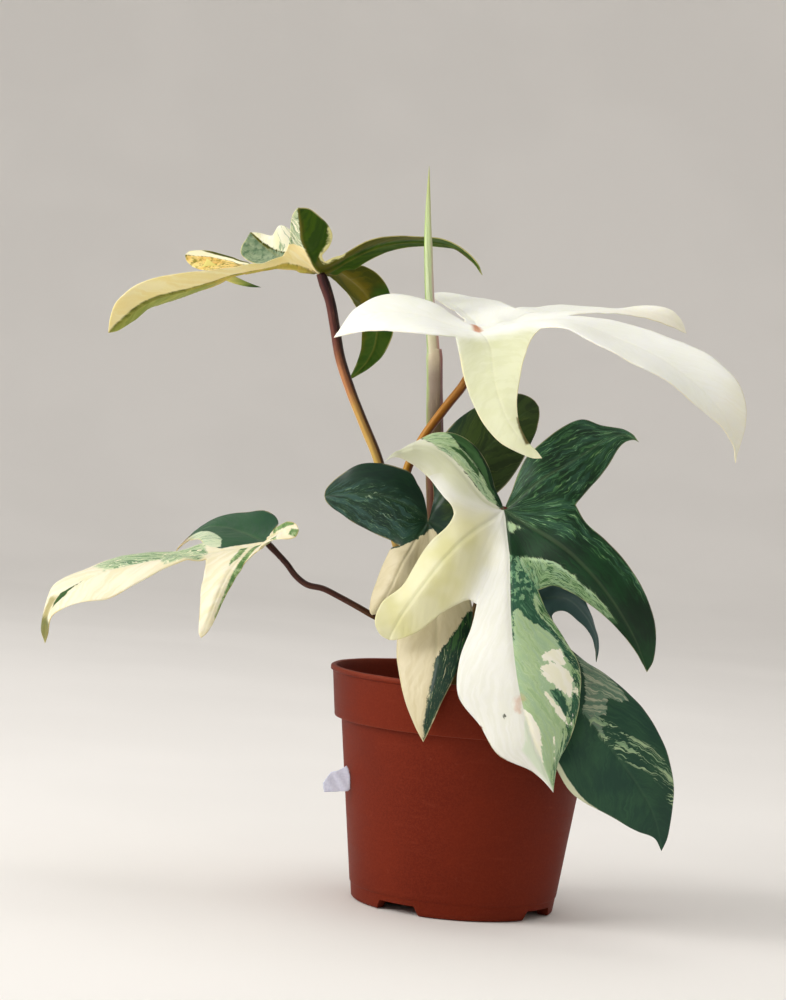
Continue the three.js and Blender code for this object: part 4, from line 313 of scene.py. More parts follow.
      [[-32.2,9,-36.4,-11.3,259.1], [-25.4,-5.5,-32.4,-24.3,250.7], [-18.7,-26.1,-29.2,-44.1,242.3]],
      [[-40.1,6.4,-45.2,-13,259.4], [-33.7,-7.2,-40.9,-25.1,251.5], [-27.4,-26.9,-37.4,-43.3,242.4]],
      [[-46.8,2.4,-53.6,-15.9,257], [-42,-9,-49.3,-25.7,250.8], [-37.5,-25.7,-45.6,-40.3,242.3]],
      [[-52.8,-3.1,-60.6,-19.8,251.7], [-50.3,-10.8,-57.4,-26.4,248.4], [-48.3,-22.8,-54,-36,241.9]],
      [[-58.3,-8.6,-64.8,-23.8,245.4], [-57.5,-12.4,-63.4,-27.2,244.3], [-57.3,-18.9,-61.1,-31.9,240.4]],
      [[-62.4,-12.1,-66.9,-26.5,240.8], [-62.2,-13.4,-66.7,-27.7,240.7], [-62.5,-15.8,-65.7,-29.4,239.1]],
    ]},
    {"tip": [25.8, -91.4, 21.8, -88, 194.9], "rows": [
      [[-4.7,-9.6,-12.2,-29.3,244.2], [5.6,-20,-2.2,-38.7,238.8], [14.3,-8.3,5.4,-30.7,247.4]],
      [[-8.6,-19.6,-17.1,-38.5,242.2], [10.6,-37.6,-0.4,-54.6,229.9], [29.7,-14.7,18,-41.3,248.5]],
      [[-4.6,-30.1,-14.9,-47.1,235.5], [12.8,-45.3,0.5,-61.3,225.5], [25.7,-23.1,14.4,-49.3,243.5]],
      [[0,-42.8,-12.4,-57.7,226.1], [15.5,-54.9,2.3,-69,219.6], [25.5,-36.5,12.1,-59.2,235.2]],
      [[4.7,-55.8,-8.2,-67.5,216], [18.1,-64.1,4.9,-75.7,213.2], [25.2,-50.2,10.6,-68.4,225.8]],
      [[9.2,-67.1,-2.7,-75.1,207], [20.4,-72.1,8.2,-80.5,207.3], [24.8,-62.6,10.2,-75.6,216.4]],
      [[14,-77.1,4.8,-81,199.7], [22.4,-79.5,12.6,-84,202.1], [24.3,-73.8,12.1,-81.2,207.3]],
      [[19.5,-84.8,13,-84.9,196], [24.1,-85.4,16.9,-86.2,198.2], [24.8,-82.8,16.2,-84.9,200.6]],
      [[23.1,-89.5,18.7,-87,194.5], [25.2,-89.2,20,-87.4,196], [25.9,-88.3,20,-87,197.1]],
    ]},
    {"tip": [137.4, 0, 102.3, -48, 199.1], "rows": [
      [[14.3,-8.3,5.4,-30.7,247.4], [17.1,0,8.6,-24,251.2], [17.4,9.5,11.2,-14.5,251.1]],
      [[29.7,-14.7,18,-41.3,248.5], [34.1,0,25,-28.1,253.1], [34.3,20,29.6,-9,256]],
      [[43.5,-20.6,28.1,-49.8,248.6], [44.6,0,35.1,-30.7,251.7], [43.7,24,41.2,-7.9,256.1]],
      [[59.3,-24.2,41.1,-56.8,242.9], [59.4,0,48.8,-34.4,247.5], [59.1,26.3,57.2,-10.5,254.3]],
      [[76.2,-24.4,55.9,-60.7,236.1], [76.1,0,64,-38.4,242], [77.6,25.8,74.8,-16.2,249.8]],
      [[92.5,-20.6,70.9,-60.5,229.8], [92.5,0,78.2,-41.8,234.3], [95.3,23.4,91.1,-23.9,242.7]],
      [[109.1,-14.6,84.5,-57.1,220.5], [108.9,0,90.7,-44.4,224.1], [112,18.2,103.6,-32.6,230]],
      [[123.5,-7.2,96.3,-52.7,211.8], [123.2,0,99.2,-46.3,212.8], [123.9,8.9,105.7,-40.4,214.6]],
      [[132.4,-2.3,101.2,-49.7,204.2], [132.2,0,101.6,-47.4,204.2], [131.8,2.6,103.2,-45.4,204.7]],
    ]},
    {"tip": [60.4, 100.5, 84.5, 44, 255.4], "rows": [
      [[17.4,9.5,11.2,-14.5,251.1], [11.3,18.9,6.5,-4.1,253], [4.8,14.2,-0.2,-8.2,252.4]],
      [[34.3,20,29.6,-9,256], [22.2,37,21.2,10.1,258.1], [9.5,28.5,6.9,3.6,258.4]],
      [[41,27.3,34.8,-5.6,257.3], [26.5,44,27.5,15.2,259.4], [14.4,40.2,14.9,15.8,260.5]],
      [[46.3,37.4,42.3,1,258.7], [32.2,53.5,36.5,21.6,260.5], [20.1,55.4,26.4,28.1,262.8]],
      [[51.2,50.2,51,9.6,259.5], [38.4,63.9,46.9,27.8,261.7], [27.3,69.1,39.8,37.6,263.6]],
      [[54.8,63.5,59.9,18.8,259.6], [44.4,74,57.3,33,262.7], [35.4,79.9,53.3,42.9,264]],
      [[57.6,77,69,28.2,258.9], [50.3,83.8,67.9,37.3,262.6], [43.4,89.1,66.3,44.9,266.6]],
      [[59.8,88.8,76.7,36.3,257.2], [55.2,92,76.6,40.8,260.6], [50.9,95.9,77.7,44.9,264.6]],
      [[60.5,96.5,81.7,41.3,256], [58.5,97.4,81.8,42.9,257.5], [56.6,99.1,82.8,44.4,259.3]],
    ]},
    {"tip": [-29.2, 58.8, -31.2, 38, 263.6], "rows": [
      [[4.8,14.2,-0.2,-8.2,252.4], [-4.2,8.4,-9.5,-11.5,249.3], [-4.2,1.9,-10.6,-17.8,248.6]],
      [[9.5,28.5,6.9,3.6,258.4], [-8.3,16.7,-11.9,-2.9,252.1], [-8.9,7.1,-14,-12.2,251]],
      [[4.4,36.8,3.5,13.2,260.5], [-10.8,21.8,-13.6,2.3,253.7], [-11.5,11.6,-15.6,-7.6,252.2]],
      [[-1.9,45.6,-1.7,23.1,262.4], [-14.3,28.8,-16,9.5,255.8], [-15,18.6,-18,-0.4,254]],
      [[-8.5,52.6,-7.9,31.5,263.4], [-18.2,36.6,-18.9,17.4,258], [-19.1,27.3,-20.7,8.4,255.9]],
      [[-14.1,56.7,-14.1,36.5,264.1], [-21.7,43.8,-22,24.4,260], [-23.2,36.2,-23.6,17.2,257.8]],
      [[-19.2,58.3,-20.4,38.5,264.6], [-24.7,49.8,-25.2,30.2,261.6], [-26.4,44.8,-26.5,25.3,259.7]],
      [[-23.9,58.6,-25.8,38.6,264.5], [-27,54.5,-28.1,34.3,262.7], [-28.3,51.9,-28.9,31.8,261.6]],
      [[-27.3,58.7,-29.3,38.2,264], [-28.4,57.3,-30.1,36.7,263.3], [-29,56.4,-30.4,35.8,262.8]],
    ]},
  ]},
  "front": {"J": [8.7, -52, 172.3], "lobes": [
    {"tip": [-35.5, -50.7, -41.3, -64, 188.2], "rows": [
      [[-9.4,-2.3,4.7,-51.4,180.1], [-4.6,-6.6,1.5,-54.2,175.2], [0.3,-10.9,-1.5,-55.6,170.7]],
      [[-18.3,-7.4,1.6,-51.8,188.5], [-9,-12.9,-4,-56.1,180.3], [2.5,-21.6,-11.6,-59.1,169.2]],
      [[-22.6,-11.7,-1.3,-52,193], [-11.7,-16.7,-7.1,-56.8,183.7], [0.2,-20.8,-13.1,-58.3,172.7]],
      [[-27.1,-17.2,-6.4,-52.3,198.5], [-15.4,-22,-11.6,-57.3,188.1], [-3.3,-25.9,-17.1,-57.3,176.6]],
      [[-29.3,-23.3,-14.2,-52.9,202.1], [-19.6,-28,-17.3,-57.5,192.8], [-8.3,-32.8,-21.3,-56.5,181.3]],
      [[-29.2,-29,-22.7,-54.4,201.6], [-23.7,-33.9,-23.9,-58.2,195.4], [-15.4,-40,-26.1,-56.8,185.4]],
      [[-28.9,-36.4,-30,-57.2,197.3], [-27.9,-39.9,-31,-59.8,195.1], [-23.5,-44.7,-31.5,-58.6,188.7]],
      [[-31.7,-43.6,-36.1,-60.4,193.2], [-31.6,-45.2,-36.7,-61.8,192.6], [-30.3,-46.9,-36.6,-61.1,190.5]],
      [[-34.3,-48.1,-39.9,-62.7,190.4], [-34,-48.7,-39.8,-63.2,189.9], [-33.8,-49.2,-39.8,-62.9,189.5]],
    ]},
    {"tip": [43, -63.2, -34.1, -58, 115.6], "rows": [
      [[0.3,-10.9,-1.5,-55.6,170.7], [6.8,-10.1,0.2,-57.3,165.4], [19.4,-7.3,4.7,-58.3,152.9]],
      [[2.5,-21.6,-11.6,-59.1,169.2], [13.5,-19.8,-7.9,-62.1,158.2], [38.9,-14.5,0.7,-64.7,133.5]],
      [[5.8,-24.2,-14.6,-59.2,163.3], [16.4,-24.2,-11.1,-64,154.5], [37.6,-21.1,-2.6,-64.1,134.9]],
      [[9.7,-32.5,-20.8,-60.1,156.6], [20.4,-30.1,-15.3,-66,149.1], [38.8,-28.1,-7.8,-64,132.4]],
      [[16.3,-41.5,-25.8,-61,147.4], [24.9,-36.7,-19.7,-67,142.5], [40.4,-35.8,-13.3,-63.8,128.7]],
      [[23.9,-50,-30.6,-61.1,138.1], [29.4,-43.3,-24,-66.2,135.8], [43,-43,-18.1,-63,124]],
      [[28.4,-59.3,-38.1,-60.4,130.6], [34.2,-50.3,-28.2,-63.9,128.8], [44.8,-50.4,-23.2,-61.4,119.7]],
      [[34.7,-64.9,-40.3,-59.4,121.9], [38.5,-56.7,-31.4,-61.2,122.4], [44.9,-57.1,-28.5,-59.8,116.9]],
      [[40.1,-64.8,-37.1,-58.5,117], [41.4,-60.9,-33.2,-59.1,118.1], [44.1,-61.2,-32,-58.6,115.7]],
    ]},
    {"tip": [121.5, 0, 37.6, -72, 60.2], "rows": [
      [[19.4,-7.3,4.7,-58.3,152.9], [19.3,0,12.1,-60.1,155.1], [17.8,5.5,16.8,-58.2,156.7]],
      [[38.9,-14.5,0.7,-64.7,133.5], [38,0,13.8,-67.2,137.8], [35.3,11.9,25,-64.4,141.2]],
      [[48.6,-17.2,-0.9,-65.1,124.1], [46.6,0,14.7,-69.9,129.8], [43.5,15.3,29,-64.9,133.4]],
      [[60.3,-23,-4.5,-66.7,111.1], [58.3,0,16.4,-73.1,118.7], [55.6,21.4,36.4,-66.6,123.5]],
      [[74.5,-25.8,-3.9,-69,96.1], [71.4,0,19,-75.8,106], [70.7,26.8,44.2,-68.9,112]],
      [[86.8,-19.8,5.7,-71.1,84.9], [84.5,0,22.6,-77.1,93.6], [87.7,23.6,45.2,-71.1,98]],
      [[100.4,-15.5,14.9,-72.3,73.2], [97.6,0,27.7,-76.5,81.5], [101.7,15.5,43,-72.3,84.1]],
      [[109.6,-6,27.5,-72.4,68.7], [109.5,0,32.6,-74.6,70.9], [110.8,6.4,38.5,-72.4,72.5]],
      [[117,-1.7,34.4,-72.2,63.7], [117.2,0,35.8,-72.9,64], [117.6,2.1,37.7,-72.2,64.6]],
    ]},
    {"tip": [60.2, 75.6, 72.6, -52, 110.3], "rows": [
      [[17.8,5.5,16.8,-58.2,156.7], [8.7,11,20.4,-57.1,166.4], [0.9,15.1,23.2,-55.6,174.5]],
      [[35.3,11.9,25,-64.4,141.2], [17.3,21.7,31.9,-61.7,160.5], [1.6,30.2,37.7,-59.1,176.8]],
      [[34.8,19.7,30.4,-63.8,143.4], [21.4,26.9,37.2,-63.6,157], [7.3,31.7,42.1,-59.2,170.4]],
      [[37.6,28.8,38.5,-63.7,141.2], [27.1,34.1,44.1,-65.5,151.3], [13.3,40.2,51,-59.9,163.6]],
      [[42.1,38.6,46.9,-63.1,136.7], [33.5,42.1,51.4,-66.2,144.1], [20.7,50.3,60.4,-60.3,154.9]],
      [[46.6,48.7,54.9,-61.3,131.1], [40.1,50.4,58.1,-64.5,136.1], [29.7,59.4,67.8,-59.5,144.4]],
      [[51.5,58.5,62.1,-58.4,124.4], [47.1,59.2,64.2,-60.9,127.4], [39.6,67.3,73.3,-57.5,132.7]],
      [[55.7,67.2,67.8,-55.3,117.8], [53.6,67.3,68.8,-56.7,119.1], [49.3,72.6,75,-54.9,121.3]],
      [[58.7,72.6,70.9,-53.2,113], [57.8,72.6,71.3,-53.7,113.5], [56.1,75.3,74.4,-53.1,114]],
    ]},
    {"tip": [-34.3, 56.5, 61.2, -60, 204.3], "rows": [
      [[0.9,15.1,23.2,-55.6,174.5], [-4.9,8,15.1,-54.6,178.5], [-7.7,4,11.4,-52.1,180.3]],
      [[1.6,30.2,37.7,-59.1,176.8], [-9.6,15.8,21.4,-56.5,184.9], [-15.2,8.1,13.6,-52.5,188.7]],
      [[-3.5,34.1,39.8,-57.6,180], [-12.1,19.9,25.1,-57,187.8], [-19.9,10.5,16,-52.3,194.4]],
      [[-7.9,37.6,43.1,-55.8,184.4], [-15.5,25.5,30.7,-56.9,191.4], [-26.5,16.7,21.6,-51.9,200.9]],
      [[-11.9,41.7,47,-54.1,189.3], [-19.5,32,36.8,-56.3,195.8], [-32.6,25.2,28.9,-51.5,207.4]],
      [[-16.6,45.6,50.3,-53.6,194.6], [-23.4,38.5,42.8,-56,200.5], [-35.8,33.8,37.5,-52,212]],
      [[-22.7,49.2,53,-54.9,200.3], [-27.3,45,49,-56.7,204.8], [-32.8,41.2,46.2,-54.1,210.2]],
      [[-28.8,52.7,56.4,-57.2,204.4], [-30.7,50.5,55,-58.2,206.7], [-32.9,48.7,54.7,-56.8,209.3]],
      [[-32.7,54.9,59.5,-59,205.3], [-32.9,54.2,58.9,-59.3,205.6], [-34,53.4,59.4,-58.8,206.8]],
    ]},
  ]},
  "middle": {"J": [-22.6, -30, 164.6], "lobes": [
    {"tip": [-30.2, -38.2, -67, -28, 171.6], "rows": [
      [[-8,-0.8,-24.4,-29,172.5], [-3,-3.8,-26.2,-31.3,167.5], [5,-6.6,-28,-33.2,159.1]],
      [[-15.3,-2.5,-28.2,-29,179.7], [-5.8,-7.4,-30.1,-32.5,169.7], [9.4,-13.8,-33.3,-36.5,153.6]],
      [[-19.3,-3,-30.9,-29.5,183.8], [-8.2,-10.4,-33.5,-33.3,171.3], [5.8,-19,-36.9,-34.6,155.2]],
      [[-23.4,-7.1,-37.2,-30.3,186.2], [-11.5,-14.6,-38.5,-34.3,172.8], [1.7,-24.3,-42.1,-33.1,156.8]],
      [[-27,-12.1,-44.8,-31.1,187.3], [-15.2,-19.3,-44.4,-34.9,174], [-4.4,-30.5,-47.9,-32.2,159.1]],
      [[-30.3,-17.7,-52.6,-31.5,186.3], [-18.9,-24,-50.3,-34.5,173.8], [-11.9,-35.3,-53.7,-31.5,161.4]],
      [[-31.6,-25,-59.1,-30.9,182.3], [-22.8,-28.9,-56.4,-32.9,173.3], [-18.7,-37.4,-59.1,-30.5,164.6]],
      [[-31.9,-31.8,-64.3,-29.6,177.7], [-26.4,-33.5,-61.7,-30.7,172.7], [-24.5,-39.2,-63.8,-29.3,167.3]],
      [[-31.3,-36,-66.7,-28.6,174], [-28.8,-36.5,-65.1,-29,172], [-28.3,-39.1,-66.3,-28.5,169.7]],
    ]},
    {"tip": [39.1, -28.6, -42.5, -42, 124], "rows": [
      [[5,-6.6,-28,-33.2,159.1], [9.1,-6.7,-27.2,-35.9,156.1], [17.6,-4.8,-24.2,-36.7,147.8]],
      [[9.4,-13.8,-33.3,-36.5,153.6], [17.7,-12.9,-31.2,-40.5,147.5], [34.9,-10.3,-25.9,-43.5,130.9]],
      [[9.8,-16.6,-36.5,-35.8,152.6], [19.9,-14.5,-32.2,-41.4,145.1], [34.2,-13.6,-27.7,-42.3,131.5]],
      [[13.1,-20.5,-38.5,-36,148.2], [22.9,-16.8,-33.4,-42.4,141.7], [34.1,-16.2,-30.2,-41.5,130.9]],
      [[17.8,-24.7,-40.4,-36.7,143.2], [26.3,-19.2,-34.8,-43,137.7], [35.1,-18.8,-32.8,-41,129.4]],
      [[23.5,-27.7,-41.8,-37.9,138], [29.7,-21.7,-36.4,-43.2,133.9], [36.3,-21.4,-35.3,-40.9,127.7]],
      [[29.3,-29.7,-43.2,-39.4,132.9], [33.1,-24.2,-38.3,-42.9,130.1], [37.5,-24,-37.8,-41.1,126.1]],
      [[34.5,-30.3,-43.7,-40.7,128.3], [36.1,-26.4,-40.2,-42.5,127], [38.3,-26.2,-40.1,-41.5,125]],
      [[37.8,-29.8,-43.5,-41.6,125.3], [38,-27.8,-41.7,-42.2,125.1], [38.8,-27.7,-41.6,-41.8,124.3]],
    ]},
    {"tip": [97.6, 0, -16.7, -66, 75.7], "rows": [
      [[17.6,-4.8,-24.2,-36.7,147.8], [18.3,0,-19.4,-38.4,148.6], [17.1,7.5,-12.5,-35.4,149.9]],
      [[34.9,-10.3,-25.9,-43.5,130.9], [36.3,0,-16.5,-46.5,132.8], [33.9,15.4,-2.5,-40.8,135.2]],
      [[40.2,-14.3,-29.5,-45,126.1], [42.7,0,-15.6,-49.3,127.1], [40.9,15.3,-0.8,-45.8,129.3]],
      [[49.7,-17,-31,-48.2,117.8], [51.7,0,-14.8,-53.2,119.1], [50.5,13.6,-1.3,-51.8,120.7]],
      [[61.6,-17,-30.5,-52.6,108.2], [61.8,0,-14.4,-57.5,110], [60.7,10.7,-3.7,-57.7,111.1]],
      [[73.2,-13.7,-28.2,-57.4,99.1], [71.7,0,-15.2,-61.6,101], [70.6,8.6,-6.6,-62.5,101.6]],
      [[83.2,-9.2,-25,-61.6,90.2], [81.3,0,-16.2,-64.4,91.9], [80.4,5.9,-10.4,-65.4,92.4]],
      [[90.6,-4.4,-21.2,-64.1,82.8], [89.4,0,-17,-65.5,83.8], [89.1,3.6,-13.4,-66.2,84]],
      [[95.1,-1.6,-18.4,-65.4,78.2], [94.7,0,-16.9,-65.9,78.6], [94.7,1.5,-15.4,-66.1,78.6]],
    ]},
    {"tip": [28.1, 41.6, 19.7, -30, 141.4], "rows": [
      [[17.1,7.5,-12.5,-35.4,149.9], [5.6,8.3,-13.6,-32.7,161.1], [1.4,8.4,-14.2,-31.4,165.1]],
      [[33.9,15.4,-2.5,-40.8,135.2], [11.1,16.5,-4.8,-35.1,157.3], [2,17,-5.8,-32.9,165.6]],
      [[32,18,-1,-39.2,137.1], [12.8,18.9,-2.2,-35.6,156], [3.6,20,-2.2,-32.9,164.8]],
      [[29.8,21,1.5,-37.4,139.4], [15.1,22.3,1.4,-36,154.1], [6.1,24.4,2.5,-33.1,162.8]],
      [[28,25,4.9,-35.7,141.5], [17.7,26.2,5.4,-35.8,151.8], [9.9,29.1,7.3,-33.1,159.4]],
      [[27.3,29.6,8.7,-34,142.4], [20.4,30.1,9.4,-34.9,149.3], [14.1,33.3,11.8,-32.7,155.6]],
      [[27.4,34.1,12.7,-32.4,142.5], [23.1,34.2,13.2,-33.4,146.6], [18.8,36.9,15.5,-31.9,150.9]],
      [[27.6,37.9,16.2,-31.1,142.2], [25.6,37.9,16.5,-31.8,144.1], [23.3,39.4,17.9,-31,146.4]],
      [[27.9,40.3,18.5,-30.4,141.8], [27.2,40.3,18.6,-30.6,142.4], [26.3,40.9,19.1,-30.4,143.3]],
    ]},
    {"tip": [-55, 43.7, 20.3, -16, 216.3], "rows": [
      [[1.4,8.4,-14.2,-31.4,165.1], [-5.3,4.2,-19.9,-30.5,170.8], [-8.8,3.1,-20.9,-28.5,173.7]],
      [[2,17,-5.8,-32.9,165.6], [-10.5,8.3,-16.6,-30.7,176.5], [-17.9,2.4,-22.9,-27.5,182.9]],
      [[-3.5,22.8,-2,-30.1,170], [-14.8,11.7,-13.4,-30.2,181], [-24.4,2.7,-22.7,-26.5,189.6]],
      [[-10.5,29.3,3.3,-26.3,176.2], [-20.9,16.6,-8.8,-28.5,187], [-33.5,5.5,-20.3,-24.5,198.6]],
      [[-18.6,36.3,9.6,-22.1,183.2], [-28.1,22.3,-3.3,-25.4,193.7], [-42.6,11.6,-14.3,-21.6,207.5]],
      [[-27.4,41.3,14.3,-18.8,191.3], [-35.4,28.2,2.3,-22.1,200.4], [-49.7,19.7,-6.1,-19,214.4]],
      [[-36.7,44.6,17.9,-16.9,200.1], [-42.6,33.9,8.1,-19.4,207.1], [-55,28.5,3.4,-17.3,219.6]],
      [[-45.8,46.6,20.3,-16.2,208], [-48.9,38.9,13.5,-17.6,212.7], [-57.1,36.3,12.5,-16.5,221.2]],
      [[-52.3,45.5,20.7,-16.1,213.3], [-52.8,42,17.7,-16.6,215.2], [-56.4,40.9,18.1,-16.2,219]],
    ]},
  ]},
  "lower_right": {"J": [15.7, -42, 126.7], "lobes": [
    {"tip": [-27, -9.3, 1.4, -44, 149.4], "rows": [
      [[-3.7,0.2,13.2,-43.1,129.1], [-4.5,-1.5,13.8,-44.2,130.4], [2.4,-5.7,12.9,-45.7,122.6]],
      [[-7.3,-0.8,11.4,-44.3,131.9], [-8.7,-3,11.6,-46,133.9], [4.8,-11.4,10.1,-49.3,118.4]],
      [[-9.5,-1.4,10.5,-44.7,133.8], [-10.6,-3.7,10.5,-46.6,135.5], [2.2,-12,7.4,-48.3,120.6]],
      [[-12.4,-2.3,9.2,-45.2,136.3], [-13.2,-4.5,8.9,-47.2,137.6], [-1.7,-12.1,4.9,-47.3,124.4]],
      [[-15.8,-3.4,7.5,-45.5,139.1], [-16,-5.5,7.2,-47.4,140.1], [-6.8,-12.1,3.1,-46.4,129.5]],
      [[-19,-4.8,5.6,-45.5,141.7], [-18.8,-6.5,5.6,-47,142.6], [-12.4,-12.7,1.5,-45.7,134.7]],
      [[-22.1,-6.2,3.8,-45.2,144.4], [-21.7,-7.5,4.1,-46.2,145], [-18,-12.5,0.6,-45.1,140]],
      [[-24.6,-7.6,2.4,-44.6,146.8], [-24.3,-8.4,2.7,-45.2,147.2], [-22.7,-11.5,0.3,-44.5,144.7]],
      [[-26.2,-8.7,1.7,-44.2,148.5], [-26,-9,1.9,-44.4,148.6], [-25.5,-10.2,0.9,-44.2,147.7]],
    ]},
    {"tip": [25.1, -33.2, 8.3, -65, 94.1], "rows": [
      [[2.4,-5.7,12.9,-45.7,122.6], [4.6,-6.1,13.9,-47.5,121.6], [10.5,-4.4,18.5,-48,117.4]],
      [[4.8,-11.4,10.1,-49.3,118.4], [9.1,-12.1,12.3,-52.6,116.5], [21,-8.9,21.2,-54,108.1]],
      [[5.2,-14.8,7.8,-51.1,116.7], [10.9,-14.5,11.6,-54.7,114.4], [19.2,-11.3,18.8,-54.8,109.1]],
      [[6.6,-19.3,5.3,-53.9,113.7], [13.4,-17.8,10.8,-57.4,111.3], [18.5,-14.5,16.1,-56.4,108.7]],
      [[9.4,-24,3.7,-56.9,109.6], [16.1,-21.4,10,-60,107.8], [20.6,-18.5,14.4,-58.4,105.4]],
      [[13,-27.8,3.4,-59.6,105.1], [18.6,-24.7,9.2,-62,104.2], [23.2,-22.2,13.6,-60.4,101.9]],
      [[17.1,-30.6,4.3,-61.9,100.7], [21,-27.9,8.7,-63.4,100.6], [25,-26.2,12.4,-62.2,98.6]],
      [[20.9,-32.4,5.8,-63.6,97.2], [23,-30.6,8.5,-64.3,97.3], [25.6,-29.7,10.7,-63.6,96.1]],
      [[23.5,-33,7.3,-64.5,95.1], [24.3,-32.3,8.4,-64.8,95.2], [25.3,-32,9.3,-64.5,94.7]],
    ]},
    {"tip": [121.3, 0, 84.4, -53, 37.6], "rows": [
      [[10.5,-4.4,18.5,-48,117.4], [11.6,0,21.9,-49.4,120.2], [9.7,6.5,26.5,-45.4,123.7]],
      [[21,-8.9,21.2,-54,108.1], [22.3,0,28,-55.3,113.7], [18.9,13.8,37.3,-48.7,120.6]],
      [[30.2,-14.2,23,-56.4,98.4], [32.2,0,34.2,-58.9,106.9], [31.9,15.7,45.3,-50.4,114]],
      [[43.6,-18.8,28.5,-58.9,85.6], [45.7,0,43.1,-62.2,97.3], [47,20.2,58.1,-52.7,106.9]],
      [[59.7,-22.5,36.4,-61.2,72], [60.8,0,53.4,-64.7,86.5], [64.6,22,71,-55.5,96.6]],
      [[76.8,-24,45.8,-61.8,59.2], [76,0,63.5,-64.7,75.2], [81.9,19.7,80.8,-57.2,83.2]],
      [[93.8,-17.3,60.2,-59.9,51.9], [91.8,0,73.4,-61.9,63.2], [97,13.7,86.6,-56.9,67.3]],
      [[108.4,-9,73.2,-56.8,45.6], [106.3,0,80.4,-57.8,51.2], [108.8,6.8,87.2,-55.3,52.4]],
      [[116,-1.7,81.7,-54.4,42.1], [115.9,0,83.3,-54.8,42.6], [116.8,2.9,86.2,-53.9,42.7]],
    ]},
    {"tip": [-0.8, 57.9, 52.6, -36, 111.7], "rows": [
      [[9.7,6.5,26.5,-45.4,123.7], [-0.1,7.7,21.5,-42.4,131.9], [-2.9,8.2,20.1,-42.7,134.2]],
      [[18.9,13.8,37.3,-48.7,120.6], [-0.2,15.5,27.6,-42.2,136.7], [-6.5,16.2,24.5,-43.4,141.7]],
      [[15,20,34.6,-48.7,124.2], [-0.3,19.6,31.6,-41.6,137.4], [-5.7,18,29.1,-39.7,142.2]],
      [[10.5,21.1,32,-47.1,129.8], [-0.3,25.5,37.3,-40.2,137.7], [-7.4,23.8,36,-35.8,143.3]],
      [[7.3,27.2,36.3,-44.6,132.5], [-0.4,32.6,43.2,-38.5,134.2], [-7.7,30.5,43.2,-32.9,139.3]],
      [[5.4,36.3,42.9,-41.9,128.9], [-0.5,39.5,47.7,-37.2,129.1], [-6.6,37.4,47.9,-31.9,132.7]],
      [[3.2,44.5,48.2,-39.5,123.8], [-0.6,46.3,51,-36.5,123.2], [-4.7,44.6,50.9,-32.6,125.3]],
      [[1.2,51.4,50.9,-37.7,118], [-0.7,52,52.1,-36.2,117.6], [-2.9,51.2,52.7,-34.1,118.6]],
      [[-0.2,55.6,52.1,-36.6,114], [-0.7,55.8,52.4,-36.1,113.8], [-1.6,55.5,52.8,-35.3,114.2]],
    ]},
    {"tip": [-19.1, 36, 35.3, -44, 161.7], "rows": [
      [[-2.9,8.2,20.1,-42.7,134.2], [-3.7,6.9,18.7,-43.2,133.8], [-4,3.3,15.8,-42.1,132.1]],
      [[-6.5,16.2,24.5,-43.4,141.7], [-7.3,13.8,22.3,-44.6,140.6], [-7.7,6.9,16.5,-42.9,137.3]],
      [[-6.8,18.6,25.9,-43.2,143.5], [-8.5,16.1,23.6,-45.1,142.8], [-9.7,9.3,17.4,-43.2,140.4]],
      [[-8,21.7,27.7,-43.3,146.2], [-10.2,19.2,25.4,-45.6,145.8], [-12.7,12.9,19,-43.6,144.5]],
      [[-9.7,25.1,29.6,-43.6,149.3], [-12.1,22.7,27.2,-46,149.3], [-15.3,17.5,21.4,-44.1,149]],
      [[-11.9,28.4,31.2,-43.9,152.6], [-13.9,26.2,29.1,-45.9,152.8], [-17.1,22.4,24.4,-44.4,153.2]],
      [[-14.6,31.3,32.6,-44.1,156], [-15.8,29.7,31.2,-45.5,156.1], [-18.3,27.2,27.9,-44.4,156.8]],
      [[-16.9,33.6,33.9,-44.1,158.9], [-17.4,32.8,33.2,-44.8,159], [-18.9,31.5,31.4,-44.3,159.5]],
      [[-18.3,35.2,34.8,-44,160.7], [-18.5,34.9,34.6,-44.3,160.8], [-19.1,34.4,33.9,-44.1,161]],
    ]},
  ]},
}

T_ROWS = np.array((0.0, 0.1, 0.24, 0.4, 0.56, 0.72, 0.86, 0.95, 1.0))


def along(points, t):
    """A smooth curve through points, one for each of T_ROWS, at every t."""
    P = np.asarray(points, float)
    h = np.diff(T_ROWS)
    d = np.diff(P, axis=0) / h[:, None]
    m = np.empty_like(P)
    m[0], m[-1] = d[0], d[-1]
    m[1:-1] = (d[:-1] * h[1:, None] + d[1:] * h[:-1, None]) / (h[1:] + h[:-1])[:, None]
    i = np.clip(np.searchsorted(T_ROWS, t, side="right") - 1, 0, len(T_ROWS) - 2)
    s = ((t - T_ROWS[i]) / h[i])[:, None]
    k = h[i][:, None]
    return (
        (2 * s**3 - 3 * s**2 + 1) * P[i]
        + (s**3 - 2 * s**2 + s) * k * m[i]
        + (-2 * s**3 + 3 * s**2) * P[i + 1]
        + (s**3 - s**2) * k * m[i + 1]
    )


def lobe_lines(lobe, f, t, free_a, free_b):
    """The two margins and the midrib of a lobe in the flat blade: at the
    fractions f from the junction to the sinus, then at the positions t."""
    rows = [[np.array(p[:2], float) for p in row] for row in lobe["rows"]]
    tip = np.array(lobe["tip"][:2], float)
    out = []
    for c, free in ((0, free_a), (1, True), (2, free_b)):
        inner = f[:, None] * rows[1][c]
        if free:
            inner = 4 * (f * (1 - f))[:, None] * rows[0][c] + (f * (2 * f - 1))[:, None] * rows[1][c]
        outer = along([r[c] for r in rows[1:]] + [tip], t)
        out.append(np.concatenate([inner, outer]))
    return out


